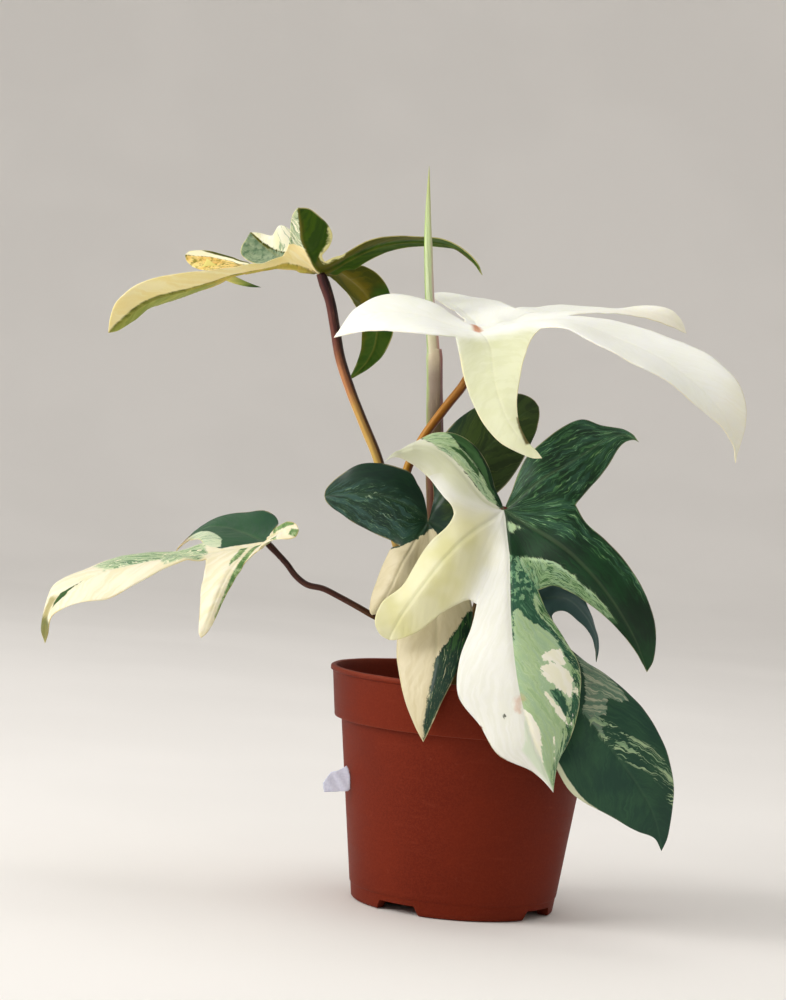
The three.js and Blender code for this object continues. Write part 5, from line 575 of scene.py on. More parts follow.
def thin_plate(data):
    """The grown surface of a blade: maps flat places to places in the plant."""
    seen, marks = set(), []
    for m in [[0, 0] + list(data["J"])] + [p for l in data["lobes"] for row in l["rows"] + [[l["tip"]]] for p in row]:
        if (m[0], m[1]) not in seen:
            seen.add((m[0], m[1]))
            marks.append(m)
    M = np.array(marks, float)
    uv, xyz = M[:, :2], M[:, 2:]
    n = len(M)

    def kernel(d2):
        return np.where(d2 > 1e-12, 0.5 * d2 * np.log(np.maximum(d2, 1e-12)), 0.0)

    A = np.zeros((n + 3, n + 3))
    A[:n, :n] = kernel(((uv[:, None] - uv[None]) ** 2).sum(-1)) + 0.5 * np.eye(n)
    A[:n, n] = A[n, :n] = 1
    A[:n, n + 1 :] = uv
    A[n + 1 :, :n] = uv.T
    W = np.linalg.solve(A, np.concatenate([xyz, np.zeros((3, 3))]))

    def surface(q):
        q = np.asarray(q, float)
        flat = q.reshape(-1, 2)
        out = np.empty((len(flat), 3))
        for i in range(0, len(flat), 4000):
            p = flat[i : i + 4000]
            k = kernel(((p[:, None] - uv[None]) ** 2).sum(-1))
            out[i : i + 4000] = k @ W[:n] + W[n] + p @ W[n + 1 :]
        return out.reshape(q.shape[:-1] + (3,))

    return surface




def inside_distance(p, poly):
    """Signed distance from flat points to a closed outline, positive inside."""
    poly = np.asarray(poly, float)
    a, b = poly, np.roll(poly, -1, 0)
    d2 = np.full(len(p), 1e18)
    odd = np.zeros(len(p), bool)
    for (ax, ay), (bx, by) in zip(a, b):
        ex, ey = bx - ax, by - ay
        t = np.clip(((p[:, 0] - ax) * ex + (p[:, 1] - ay) * ey) / max(ex * ex + ey * ey, 1e-12), 0, 1)
        d2 = np.minimum(d2, (p[:, 0] - ax - t * ex) ** 2 + (p[:, 1] - ay - t * ey) ** 2)
        if by != ay:
            cross = (ay > p[:, 1]) != (by > p[:, 1])
            odd ^= cross & (p[:, 0] < (bx - ax) * (p[:, 1] - ay) / (by - ay) + ax)
    return np.sqrt(d2) * np.where(odd, 1, -1)


def blade_mesh(name, data, layers, material, replaces, thickness=0.5, inner=12, half=22, pitch=1.15, vein=7.0, relief=1.0, side=0.35, slants={}):
    surface = thin_plate(data)
    lobes = data["lobes"]
    f = np.arange(1, inner + 1) / inner
    flat, side_s, vein_c, ell_c, mid_d, quads, tris = [], [], [], [], [], [], []
    rim = []
    index = {}
    loops = []
    points = []
    per_loop = []

    def vid(q):
        key = (round(q[0], 4), round(q[1], 4))
        if key not in index:
            index[key] = len(points)
            points.append(q)
        return index[key]

    s = np.linspace(-1, 1, 2 * half + 1)
    s = np.sign(s) * (0.65 * np.abs(s) + 0.35 * np.abs(s) ** 1.8)  # denser by the midrib
    s[0], s[-1] = -1, 1
    disp_sum, disp_n = {}, {}
    edges_a, edges_b = None, None
    faces = []
    loop_vc, loop_md = [], []
    for i, lobe in enumerate(lobes):
        tipv = np.array(lobe["tip"][:2], float)
        length = np.linalg.norm(tipv)
        rows = max(int(length / pitch), 30)
        t = np.arange(1, rows + 1) / rows
        A, M, B = lobe_lines(lobe, f, t, i == 0, i == len(lobes) - 1)
        n = len(M)
        ell = np.concatenate([[np.linalg.norm(M[0])], np.linalg.norm(M[0]) + np.cumsum(np.linalg.norm(np.diff(M, axis=0), axis=1))])
        wide = max(np.linalg.norm(A - M, axis=1).max(), np.linalg.norm(B - M, axis=1).max())
        E = np.where(s[None, :, None] < 0, A[:, None], B[:, None])
        G = M[:, None] + (E - M[:, None]) * np.abs(s)[None, :, None]
        d = np.linalg.norm(G - M[:, None], axis=2)
        frac = ell / ell[-1]
        sa, sb = slants.get(i, (0.75, 0.95))
        follow = sa == 0  # streaks that run along the lobe, keeping to its margin
        va, vb = (0.9, 0.95) if follow else (sa, sb)
        norm = math.sqrt(1 + (va + vb) ** 2)
        ell0 = ell[:, None] - (va * d + vb * d * d / wide)
        ids = np.empty(G.shape[:2], int)
        for r in range(n - 1):
            for c in range(len(s)):
                ids[r, c] = vid(G[r, c])
        tip_id = vid(G[-1, 0])
        ids[-1] = tip_id
        j_id = vid(np.zeros(2))
        # relief along the midrib and the side veins, in mm along the normal
        fade = np.clip(1 - frac, 0, 1)[:, None] ** 0.7
        rise = np.clip(ell / 12, 0, 1)[:, None]
        channel = np.exp(-((d / (0.75 + 0.5 * fade)) ** 2))
        gap = vein * norm / 1.97
        ph = ell0 / gap + 0.25 * np.sign(s)[None]
        near = np.abs(ph - np.round(ph)) * gap
        away = np.clip(d / 4, 0, 1) * np.clip((1 - np.abs(s)[None]) / 0.12, 0, 1) * np.clip((1 - frac) / 0.12, 0, 1)[:, None] * rise
        groove = np.exp(-((near / 0.7) ** 2)) * away
        puff = np.cos(2 * np.pi * ph) * away
        uneven = np.array([[0.55 + 0.9 * noise.noise(Vector((G[r, c][0] * 0.05, G[r, c][1] * 0.05, 31.0))) for c in range(len(s))] for r in range(n)])
        veins = side * np.clip(uneven, 0, 1.4) * (-0.16 * groove - 0.10 * puff)
        hollow = -relief * 0.42 * channel * (0.35 + 0.65 * fade)
        up = hollow + veins
        down = hollow + veins - relief * 0.75 * channel * fade - 0.3 * side * groove
        for r in range(n):
            for c in range(len(s)):
                k = ids[r, c]
                disp_sum[k] = disp_sum.get(k, 0) + np.array([up[r, c], down[r, c]])
                disp_n[k] = disp_n.get(k, 0) + 1
        sg = np.where(s < 0, -1.0, 1.0)[None] * d
        across = np.abs(s)[None] * wide + sb * ell[:, None]
        vc = np.stack([across if follow else ell0 / norm, np.where(sg < 0, -90, 0) + ell[:, None] if follow else sg, np.full_like(d, i * 37.0)], -1)
        J = np.array([0.0, 0.0, i * 37.0])

        def add(*rc):
            faces.append([ids[a] for a in rc])
            loop_vc.extend(vc[a] for a in rc)
            loop_md.extend((d[a], frac[a[0]]) for a in rc)

        for c in range(len(s) - 1):
            faces.append([j_id, ids[0, c], ids[0, c + 1]])
            loop_vc.extend([J, vc[0, c], vc[0, c + 1]])
            loop_md.extend([(0.0, 0.0), (d[0, c], frac[0]), (d[0, c + 1], frac[0])])
        for r in range(n - 1):
            for c in range(len(s) - 1):
                if r == n - 2:
                    faces.append([ids[r, c], tip_id, ids[r, c + 1]])
                    loop_vc.extend([vc[r, c], vc[-1, c], vc[r, c + 1]])
                    loop_md.extend([(d[r, c], frac[r]), (0.0, 1.0), (d[r, c + 1], frac[r])])
                else:
                    add((r, c), (r + 1, c), (r + 1, c + 1), (r, c + 1))
        start = inner - 1
        left = ids[start:, 0].tolist()
        right = ids[start:, -1].tolist()
        if i == 0:
            left = [j_id] + ids[:start, 0].tolist() + left
        if i == len(lobes) - 1:
            right = [j_id] + ids[:start, -1].tolist() + right
        rim.append((left, right))
    # the outline, once round: up each lobe's first margin and down its second
    outline = []
    for left, right in rim:
        outline += left + right[::-1][1:]
    outline = [v for k, v in enumerate(outline) if v != outline[k - 1]]
    if outline[0] == outline[-1]:
        outline.pop()
    Q = np.array(points)
    N = len(Q)
    disp = np.zeros((N, 2))
    for k, v in disp_sum.items():
        disp[k] = v / disp_n[k]
    e = 0.6
    P = surface(Q)
    nrm = np.cross(surface(Q + [e, 0]) - surface(Q - [e, 0]), surface(Q + [0, e]) - surface(Q - [0, e]))
    nrm /= np.linalg.norm(nrm, axis=1)[:, None]
    border = Q[outline]
    ed = np.full(N, 1e9)
    for k in range(0, len(border), 8):
        seg = border[k : k + 8]
        ed = np.minimum(ed, np.sqrt(((Q[:, None] - seg[None]) ** 2).sum(-1)).min(1))
    # slow waves: a little unevenness everywhere, more along the edges
    seed = sum(map(ord, name))
    wob = np.array([noise.noise(Vector((q[0] * 0.035, q[1] * 0.035, seed))) for q in Q])
    wob2 = np.array([noise.noise(Vector((q[0] * 0.11, q[1] * 0.11, seed + 7))) for q in Q])
    edge_w = np.exp(-ed / 4.0)
    common = 0.5 * wob + (0.12 + 0.35 * edge_w) * wob2
    rnd = np.clip(ed / 0.5, 0, 1)
    th = thickness * (0.35 + 0.65 * np.sqrt(1 - (1 - rnd) ** 2))
    top = P + nrm * (common + disp[:, 0] + th / 2)[:, None]
    bot = P + nrm * (common + disp[:, 1] - th / 2)[:, None]
    verts = np.concatenate([top, bot]) * MM
    allf = [list(x) for x in faces] + [[v + N for v in x[::-1]] for x in faces]
    wall = []
    for k in range(len(outline)):
        a, b = outline[k], outline[(k + 1) % len(outline)]
        wall.append([b, a, a + N, b + N])
    o = new_object(name, verts, allf + wall, material, True, replaces)
    # loops, in the order the faces were given
    vcs = np.array(loop_vc)
    mds = np.array(loop_md)
    rev, start = [], 0
    for x in faces:
        rev.extend(range(start + len(x) - 1, start - 1, -1))
        start += len(x)
    wall_n = 4 * len(wall)
    vc_all = np.concatenate([vcs, vcs[rev], np.zeros((wall_n, 3))])
    md_all = np.concatenate([mds, mds[rev], np.full((wall_n, 2), (9.0, 0.5))])
    corner_attr(o, "vein", vc_all)
    corner_attr(o, "mid", md_all[:, 0])
    corner_attr(o, "frac", md_all[:, 1])
    point_attr(o, "flat", np.concatenate([np.c_[Q, np.zeros(N)], np.c_[Q, np.zeros(N)]]))
    point_attr(o, "edge", np.concatenate([ed, ed]))
    point_attr(o, "under", np.concatenate([np.zeros(N), np.ones(N)]))
    for key, poly in layers.items():
        sd = np.full(N, -60.0)
        for one in poly:
            sd = np.maximum(sd, inside_distance(Q, one))
        point_attr(o, key, np.concatenate([sd, sd]))
    return o


def blade_material(name, base, paint, under=None, rib=None, rim=None, sheen=0.0, rough=(0.42, 0.56), sss=0.12, seed=0.0, spec=0.2, warp=1.0):
    """base: (dark colour, light colour). paint: a list of layers, painted in
    order. Each is a dict with a colour, the zone it fills and how ragged its
    edge is, or how dense its flecks are."""
    n = Nodes(name)
    flat = n.shift(n.attr("flat", True), (0, 0, seed))
    bend = n.node("ShaderNodeTexNoise", {"Vector": flat, "Scale": 0.16, "Detail": 2.0, "Roughness": 0.6}).outputs[1]
    bend = n.scale(n.shift(bend, (-0.5, -0.5, -0.5)), (5.0 * warp, 6.0 * warp, 0.0))
    vein = n.node("ShaderNodeVectorMath", {0: n.shift(n.attr("vein", True), (0, 0, seed)), 1: bend}, operation="ADD").outputs[0]
    streak = n.noise(n.scale(vein, (0.85, 0.12, 1.0)), 1.0, 4.0, 0.68, 0.4)
    fine = n.noise(n.scale(vein, (2.6, 0.26, 1.0)), 1.0, 3.0, 0.6)
    broad = n.noise(n.scale(vein, (0.34, 0.06, 1.0)), 1.0, 2.0, 0.6)
    mottle = n.noise(flat, 0.42, 4.0, 0.62)
    soft = n.noise(flat, 0.06, 2.0, 0.5)
    kinds = {"streak": streak, "fine": fine, "broad": broad, "mottle": mottle, "soft": soft}
    col = n.mix(n.step(n.math("ADD", n.math("MULTIPLY", streak, 0.5), n.math("MULTIPLY", soft, 0.5)), 0.38, 0.62), base[0], base[1])
    for p in paint:
        rag = p.get("ragged", 1.5)
        kind = kinds[p.get("grain", "streak")]
        sd = n.attr(p["zone"]) if p.get("zone") else 5.0
        d = n.math("ADD", sd, n.math("MULTIPLY", n.math("SUBTRACT", kind, 0.5), 2.0 * rag))
        if p.get("grain2"):
            d = n.math("ADD", d, n.math("MULTIPLY", n.math("SUBTRACT", kinds[p["grain2"]], 0.5), 2.0 * rag))
        soft_w = p.get("soft", 0.25)
        f = n.step(d, -soft_w, soft_w)
        if "flecks" in p:
            lo = p["flecks"]
            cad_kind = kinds[p.get("fleck_grain", "streak")]
            f = n.math("MULTIPLY", f, n.step(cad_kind, lo, lo + p.get("fleck_soft", 0.035)))
        if "brim" in p:
            near = n.math("ADD", n.attr("edge"), n.math("MULTIPLY", n.math("SUBTRACT", mottle, 0.5), 2.0 * p["brim"]))
            f = n.math("MULTIPLY", f, n.step(near, p["brim"], 0.3 * p["brim"], 0.0, 1.0))
        if "alpha" in p:
            f = n.math("MULTIPLY", f, p["alpha"])
        c = p["color"]
        if "color2" in p:
            c = n.mix(n.step(kinds[p.get("blend", "broad")], 0.38, 0.62), p["color"], p["color2"])
        col = n.mix(f, col, c)
    # midrib and side veins, a little paler or darker than the blade
    mid = n.attr("mid")
    frac = n.attr("frac")
    if rib:
        width = n.math("MULTIPLY_ADD", frac, -0.75, 0.95)
        f = n.math("MULTIPLY", n.step(n.math("SUBTRACT", width, mid), -0.35, 0.25), rib[1])
        col = n.mix(f, col, rib[0])
    if rim:
        wear_and_highlight = n.step(n.noise(flat, 0.09, 2.0, 0.5), 0.38, 0.62)
        f = n.math("MULTIPLY", n.math("MULTIPLY", n.step(n.attr("edge"), rim[1], 0.05, 0.0, 1.0), rim[2]), wear_and_highlight)
        col = n.mix(f, col, rim[0])
    back = n.attr("under")
    if under:
        uc = n.mix(under[1], col, under[0])
        col = n.mix(back, col, uc)
    hgt = n.math("ADD", n.math("MULTIPLY", fine, 0.5), n.math("MULTIPLY", mottle, 0.5))
    nb = n.bump(hgt, 0.12, 0.0004)
    r = n.math("ADD", n.step(streak, 0.35, 0.65, rough[0], rough[1]), n.math("MULTIPLY", back, 0.12))
    sh = n.principled(Base_Color=col, Roughness=r, Normal=nb)
    sh.inputs["Specular IOR Level"].default_value = spec
    sh.inputs["Subsurface Weight"].default_value = sss
    sh.inputs["Subsurface Radius"].default_value = (0.9, 1.0, 0.45)
    sh.inputs["Subsurface Scale"].default_value = 0.0016
    sh.inputs["Coat Weight"].default_value = sheen
    sh.inputs["Coat Roughness"].default_value = 0.3
    return n.finish(sh)


CREAM = srgb(238, 236, 214)
WHITE = srgb(247, 246, 236)
MINT = srgb(160, 188, 150)
LEAF_DARK = srgb(28, 62, 42)
LEAF_MID = srgb(42, 84, 52)
OLIVE = srgb(88, 90, 28)

# Colour areas of each blade: closed outlines in the flat blade, in mm.
FRONT = {
    "cream": [[(0.2, 0.2), (56, 0.15), (84, 0.15), (94, 0.2), (122, 0.2), (134, -40), (60, -84), (-10, -84), (-12, -22), (-6, -11), (-1, -3)]],
    "torn": [[(0, -1), (10, -60), (-54, -74), (-52, -44), (-28, -33.5), (-22, -30), (-17, -22), (-9, -11), (-3, -3)]],
    "gloom": [[(-6, -2.4), (-13, -6), (-19, -10), (-26, -17), (-33, -24), (-32, -27.4), (-26, -23), (-21, -17.4), (-14.5, -9.6)], [(-14, -12), (-20, -21), (-24, -27), (-23, -22), (-17, -13)]],
    "yellow": [[(2, -9), (14, -8), (30, -18), (40, -26), (60, -60), (60, -84), (10, -80), (8, -34), (0, -20)]],
    "streaky": [
        [(0, 0), (-14, 20), (-40, 34), (-40, 60), (0, 34), (12, 36), (30, 62), (36, 64), (24, 46), (14, 24), (7, 8)],
        [(0, 0), (-26, 8), (-44, 36), (-34, 52), (-12, 18)],
    ],
    "mint": [
        [(46, -3), (122, -3), (124, 2), (120, 12), (100, 30), (66, 34), (30, 30), (30, 4), (38, 2), (42, 4)],
        [(21, 5), (21.7, 10), (24.2, 18.3), (26.2, 23), (30, 28), (34, 34), (37.4, 40), (40, 44), (44.6, 50), (46, 46), (43, 40), (38.6, 33), (36, 26), (34.8, 19), (36.6, 11), (38, 4), (30, 2)],
        [(5, 1.0), (7.2, 4.5), (8.6, 7.4), (9.2, 3.6), (11, 2), (8, 0.8)],
        [(-2, -2.5), (-8, -3.8), (-14, -9.5), (-19, -15.5), (-24, -22.5), (-33, -27), (-40, -33), (-28, -33.5), (-22, -30), (-17, -22), (-9, -11)],
    ],
    "crest": [[(-2, -2.5), (-8, -3.8), (-14, -9.5), (-19, -15.5), (-24, -22.5), (-33, -27), (-40, -33), (-28, -33.5), (-22, -30), (-17, -22), (-9, -11)]],
    "night": [
        [(34, 9.6), (40, 9.4), (44.4, 10.6), (47.2, 12.8), (50.7, 15.6), (54.2, 18.3), (59, 21), (62.5, 23.2), (65.3, 24.9), (70, 27), (73, 26), (71.5, 23.9), (68.1, 22.2), (64.6, 20.2), (59.7, 19), (55.6, 17.2), (52.8, 14.6), (50.7, 11.8), (49.3, 8.6), (47.2, 6.2), (45.1, 4), (43, 3), (44.5, 0.2), (38, 0.2), (36.6, 6)],
        [(72, 22.4), (75, 24.4), (79.5, 25), (78, 22)],
        [(82.6, 21), (84, 22.8), (89, 22.8), (94, 20), (97, 16.2), (92.5, 17.2), (86, 20)],
        [(79, 12), (80.6, 15.6), (84.7, 17.2), (90.3, 17.6), (94, 15.2), (88.9, 14), (84.7, 12.9), (81.2, 11.6)],
        [(101, 14.8), (104.5, 13.6), (107.4, 10.2), (104.2, 11.2), (100.7, 13.6)],
        [(96, 14.4), (99, 16), (98.6, 13.6)],
        [(44, 0.2), (46, 1.4), (54, 0.9), (58, 0.2)],
        [(22, 0.3), (24, 5), (31, 9), (34.4, 13), (36.6, 11.8), (38, 4), (38, 0.3)],
    ],
    "sinus": [[(20, 0.3), (22, 6), (30, 12), (36, 12), (39, 6), (40, 0.3)]],
    "green_cream": [[(-4, -7), (-16, -22), (-24, -33), (-33, -46), (-26, -46), (-12, -32), (-4, -17)]],
    "wedge": [[(22, 6), (26, 20), (34, 33), (46, 52), (50, 48), (40, 32), (36, 22), (36, 10), (30, 6)]],
    "shore": [[(34, 11), (44, 16), (56, 24), (68, 30), (84, 28), (96, 22), (106, 12), (98, 12), (94, 18), (84, 22.6), (74, 23), (64, 22.4), (56, 18.6), (46, 12.4)]],
    "fringe": [[(80, 30), (90, 26), (100, 19), (108, 12.4), (114, 6.6), (119, 2), (117, -0.4), (111, 3.4), (104, 9.4), (96, 15.6), (88, 20), (80, 23)]],
    "spots": [
        [(61.4, 19.2), (65.3, 20.2), (70, 19.8), (69, 17), (66.6, 14.4), (66.4, 10.8), (63.2, 10.2), (61.2, 15.8)],
        [(67.4, 16.4), (72.2, 20.8), (76.4, 21.9), (81.2, 21.2), (85.6, 19.4), (84.7, 18), (81, 17), (78.3, 14.2), (75, 11.7), (72.2, 9.8), (68.6, 9.3), (67.8, 13)],
        [(79.6, 22.8), (82.6, 24.2), (85.2, 22.9), (82.6, 22)],
        [(79, 9.2), (82.6, 11.7), (86.1, 13.1), (89.6, 14.6), (93.8, 15.3), (97, 15.4), (93, 13), (88.9, 11.6), (84.7, 10.2)],
        [(92, 19.1), (96, 16.8), (99.2, 15.6), (95, 18)],
        [(99.4, 8.1), (104, 7.2), (109.5, 5.2), (105.6, 6.2)],
        [(84.4, 0.1), (88, 2.4), (93, 3.5), (97.6, 3.4), (104, 1.4), (108, 0.4), (100, -0.6)],
    ],
    "pale": [[(88, 0), (92, -1.6), (97, -3), (100, -5.6), (106, -4), (114, -1.6), (120, 0.2), (108, 0.2), (100, -0.6)]],
    "stain": [[(78.6, 0.8), (80, -2.6), (84.6, -3.0), (85.6, -1.2), (82, -0.4)], [(79.6, 1.6), (81, 1.8), (81, -1.4), (79.4, -1)]],
    "speck": [[(84.4, -7.6), (85.2, -8.6), (86.3, -8.2), (85.6, -7.2)]],
    "burnt": [[(86, -16), (88, -19.0), (90.5, -19.3), (94, -17.8), (99, -16.2), (103, -13), (106, -10), (110, -5.6), (118, -2.4), (118, -8), (104, -20), (88, -23)]],
}
MIDDLE = {
    "cream": [[(3, 1.4), (6.4, -2), (9.2, -8), (10.2, -14), (12, -40), (60, -50), (112, -30), (104, 2), (97.2, 0.2), (85.6, -0.2), (72.2, -0.1), (62, 0), (59, 2), (53.6, 5), (48.2, 8.8), (44, 11), (41.4, 13.6), (38, 22), (22, 10), (8, 5)], [(57, 13.4), (64, 10.6), (72.2, 8.3), (82.2, 5.8), (90, 3.2), (96, 1.6), (110, 8), (70, 26), (50, 22)]],
    "veiny": [[(-2, -4), (-9, -8), (-18, -16), (-34, -34), (-26, -44), (-8, -36), (3, -22), (8, -14), (7, -8)]],
    "shards": [[(40, 15), (46, 9), (54, 4.6), (60, 1), (70, 0.6), (84, 0.2), (96, 0), (97, 2), (82, 6), (64, 11), (56, 15), (46, 22)]],
    "olive": [[(-2, 8), (-8, 34), (-30, 64), (-76, 66), (-76, 34), (-30, 8)]],
    "spill": [[(40, 14), (44, 17.5), (50, 15.6), (56, 12.4), (60, 4), (52, 6), (46, 10)]],
}
LOWER_RIGHT = {
    "patch": [[(28, 13.6), (36, 17), (44, 19), (52, 19.4), (59.6, 19), (58, 14.4), (53, 11.8), (56.4, 8.5), (58.6, 6.6), (57, 4), (66, 0.2), (51.5, -0.4), (49, 3.1), (45.7, 6.4), (40.7, 9.8), (35.7, 12.2)]],
    "spray": [[(57, 3.6), (66, 6.6), (74, 9), (82.3, 13.6), (92.3, 15.5), (102.3, 13.6), (110, 9), (104, 8), (96, 8.4), (88, 6.8), (82.3, 3.6), (76, 1.2), (66, -0.3), (56, -0.4)]],
    "shore": [[(58, -20.4), (63, -20.8), (68, -21.6), (78, -21.8), (84, -21), (90, -19), (90, -30), (56, -30)]],
    # painted shade: this whole lobe darkened to the blue-grey of the leaf's underside
    "blue_shade": [[(-14, 10), (14, 10), (12, 64), (-12, 64)]],
}
WHITE_LEAF = {
    "tint": [[(-9, -19), (-4, -14), (10, -12), (26, -16), (40, -30), (40, -100), (0, -100)]],
    "ends": [[(108, -40), (112, 0), (106, 40), (150, 30), (150, -40)], [(46, 60), (36, 84), (50, 110), (70, 110), (66, 60), (54, 40)]],
    "throat": [[(-5, 3.4), (-2.4, 4.6), (0, 2.4), (1.4, 0), (0, -3), (-2.4, -2)]],
    "slit": [[(23.6, -70), (26.4, -70), (27, -84), (23.2, -83)]],
    "edges": [[(30, 34), (60, 110), (90, 90), (52, 60), (44, 36), (36, 24), (40, 22), (60, 27), (100, 26), (104, 60), (46, 40)]],
}
UPPER_LEFT = {
    "cream": [
        [(0, 0.4), (3.2, 5), (8, 12.4), (11.5, 17.6), (14, 15), (17.4, 12), (50, 30), (110, 20), (102, 0.3), (84, 1.8), (62, 1.6), (40, 2.2), (20, 1.4), (9, 1.6)],
    ],
    "gold": [[(3, 0), (10, 2.2), (30, 2.2), (50, 1.6), (62, 1.2), (60, -8), (48, -18), (20, -22), (4, -8)]],
    "stripes": [[(11, 17), (14.6, 20.6), (19.9, 29), (24.5, 37.4), (32, 38), (27, 19), (19, 9), (15, 12)]],
    "rim": [[(26, -24), (27, -36), (34, -50), (42, -62), (50, -66), (48, -62), (39, -54), (33, -44), (29, -35), (34, -28)]],
    "lace": [[(-1, 0), (3, 8), (3.4, 12), (3, 19), (6, 30), (-6, 34), (-5, 6)]],
    "patchy": [[(29.4, -34), (33, -44), (39, -54), (47.6, -61.4), (52, -56), (46, -42), (40, -32), (34, -28)]],
    "ghost": [[(-8, -20), (-6.2, -34), (-8.2, -55), (-26, -54), (-24, -28), (-14, -26)]],
    # the lobe's green half, lightened to grey-green: its own green with a painted sheen
    "grey_sheen": [[(-6, -28), (-5.8, -40), (-7.4, -54), (10, -54), (8, -28), (0, -24)]],
    "leafy": [[(-70, -50), (-30, -30), (-24, -12), (-34, -4), (-80, -30)], [(-84, 50), (-36, 28), (-40, 44), (-70, 66)]],
    "dusk": [[(-2, 0), (-13, -2), (-54, 24), (-52, 38), (-33, 28), (-8, 11)], [(1.4, 22), (3.4, 10), (1.4, 2), (6.6, 9.4), (10.4, 16), (17.4, 28.6), (24.4, 37.4), (14, 42), (0, 34)]],
    "strip": [[(50, 1), (62, 0.8), (84, 1.2), (100, 0.6), (104, -6), (80, -18), (56, -20), (44, -10)]],
    "brown": [[(-4, -4), (-20, -20), (-36, -36), (-50, -40), (-36, -26), (-24, -14), (-8, -3)]],
}
LOWER_LEFT = {
    "cream": [
        [(2, -2.6), (12, -3), (19.4, -2.2), (26, -13), (30, -15), (60, -30), (120, -12), (118, 24), (50, 30), (44, 60), (20, 50), (4, 16), (-10, 44), (-24, 40), (-10, 8), (0, 0)],
    ],
    "mint": [
        [(19.2, -2.6), (17.6, -12), (19.4, -22), (21, -35.3), (23.6, -47), (27, -64), (36, -56), (36, -20), (27.4, -13.6), (23, -6)],
    ],
    "cross": [[(26, -0.3), (60, -0.3), (70, -1), (74, -12), (60, -24), (40, -22), (25, -12)], [(26, 0.5), (30, 7), (38, 12), (44, 12), (46, 0.5)]],
    "vein_green": [
        [(8, 1), (10.4, 9), (13.4, 14.4), (18.6, 19), (17, 14.4), (13, 7.6), (11, 0.6)],
        [(2, 2.2), (7, 12.4), (13, 22), (19.4, 30), (26.6, 38.6), (33, 46), (31.4, 41), (25, 33.4), (20, 27), (14, 18.6), (9, 10), (5.4, 2.6)],
        [(-13.4, 31), (-9, 21), (-5, 12), (-7.6, 12), (-13, 22), (-15.6, 31)],
        [(-4, 30), (-1.4, 22), (2, 13), (-1.8, 14), (-5.4, 24)],
        [(-13, 35.4), (-9.4, 35.6), (-8.8, 31.6), (-11.6, 30.8)],
    ],
    "wedge": [[(79.6, -0.9), (84, -1.8), (90, -3.8), (95, -1.4), (97, 0.4), (92, 0.4), (87, -1)]],
    "tawny": [[(92, -3), (94, -8), (99, -6), (106, -2.6), (112, 0), (104, 2.6), (100, 0)]],
    "tip": [[(101, -8), (114, -8), (116, 8), (104, 8), (101.6, 0)]],
    "flare": [[(27, -50), (20, -62), (28, -68), (36, -60), (34, -36), (29.4, -36)], [(-14, -24), (0, -44), (14, -58), (20, -64), (6, -66), (-20, -50)]],
}


def curled_end(o, path):
    """The narrow end of a lobe, curled back under the blade; path is a
    three-point curve in mm."""
    n = Nodes("blade_upper_left_end")
    tex = n.node("ShaderNodeTexCoord").outputs["Object"]
    x = n.node("ShaderNodeSeparateXYZ", {0: tex}).outputs[0]
    line = n.noise(n.scale(tex, (90.0, 90.0, 700.0)), 1.0, 3.0, 0.6)
    x = n.math("ADD", x, n.math("MULTIPLY", n.math("SUBTRACT", line, 0.5), 0.012))
    col = n.mix(n.step(x, -0.126, -0.114), srgb(210, 200, 118), srgb(128, 142, 62))
    col = n.mix(n.step(x, -0.116, -0.108), col, srgb(52, 78, 30))
    sh = n.principled(Base_Color=col, Roughness=0.5)
    sh.inputs["Specular IOR Level"].default_value = 0.1
    o.data.materials.append(n.finish(sh))
    a, b, c = (Vector(p) for p in path)
    bm = bmesh.new()
    bm.from_mesh(o.data)
    rings = []
    for i in range(29):
        f = i / 28
        p = a * (1 - f) ** 2 + b * (2 * f * (1 - f)) + c * f * f
        t = ((b - a) * (1 - f) + (c - b) * f).normalized()
        wide = (Vector((0, 0.25, 1)) - t * t.z).normalized()
        flat = t.cross(wide).normalized()
        half = float(np.interp(f, (0, 0.35, 0.6, 0.8, 0.95, 1), (2.3, 2.0, 1.5, 0.95, 0.3, 0.04)))
        ring = []
        for k in range(16):
            g = 2 * math.pi * k / 16
            q = p + wide * half * math.cos(g) + flat * (0.25 * math.sin(g) * min(1.0, half) + 0.35 * half * math.cos(g) ** 2)
            ring.append(bm.verts.new(q * MM))
        rings.append(ring)
    made = [bm.faces.new(rings[0]), bm.faces.new(rings[-1][::-1])]
    for lo, hi in zip(rings, rings[1:]):
        for k in range(16):
            made.append(bm.faces.new((lo[k], hi[k], hi[k - 15], lo[k - 15])))
    for face in made:
        face.material_index = 1
        face.smooth = True
    bmesh.ops.recalc_face_normals(bm, faces=made)
    bm.to_mesh(o.data)
    bm.free()


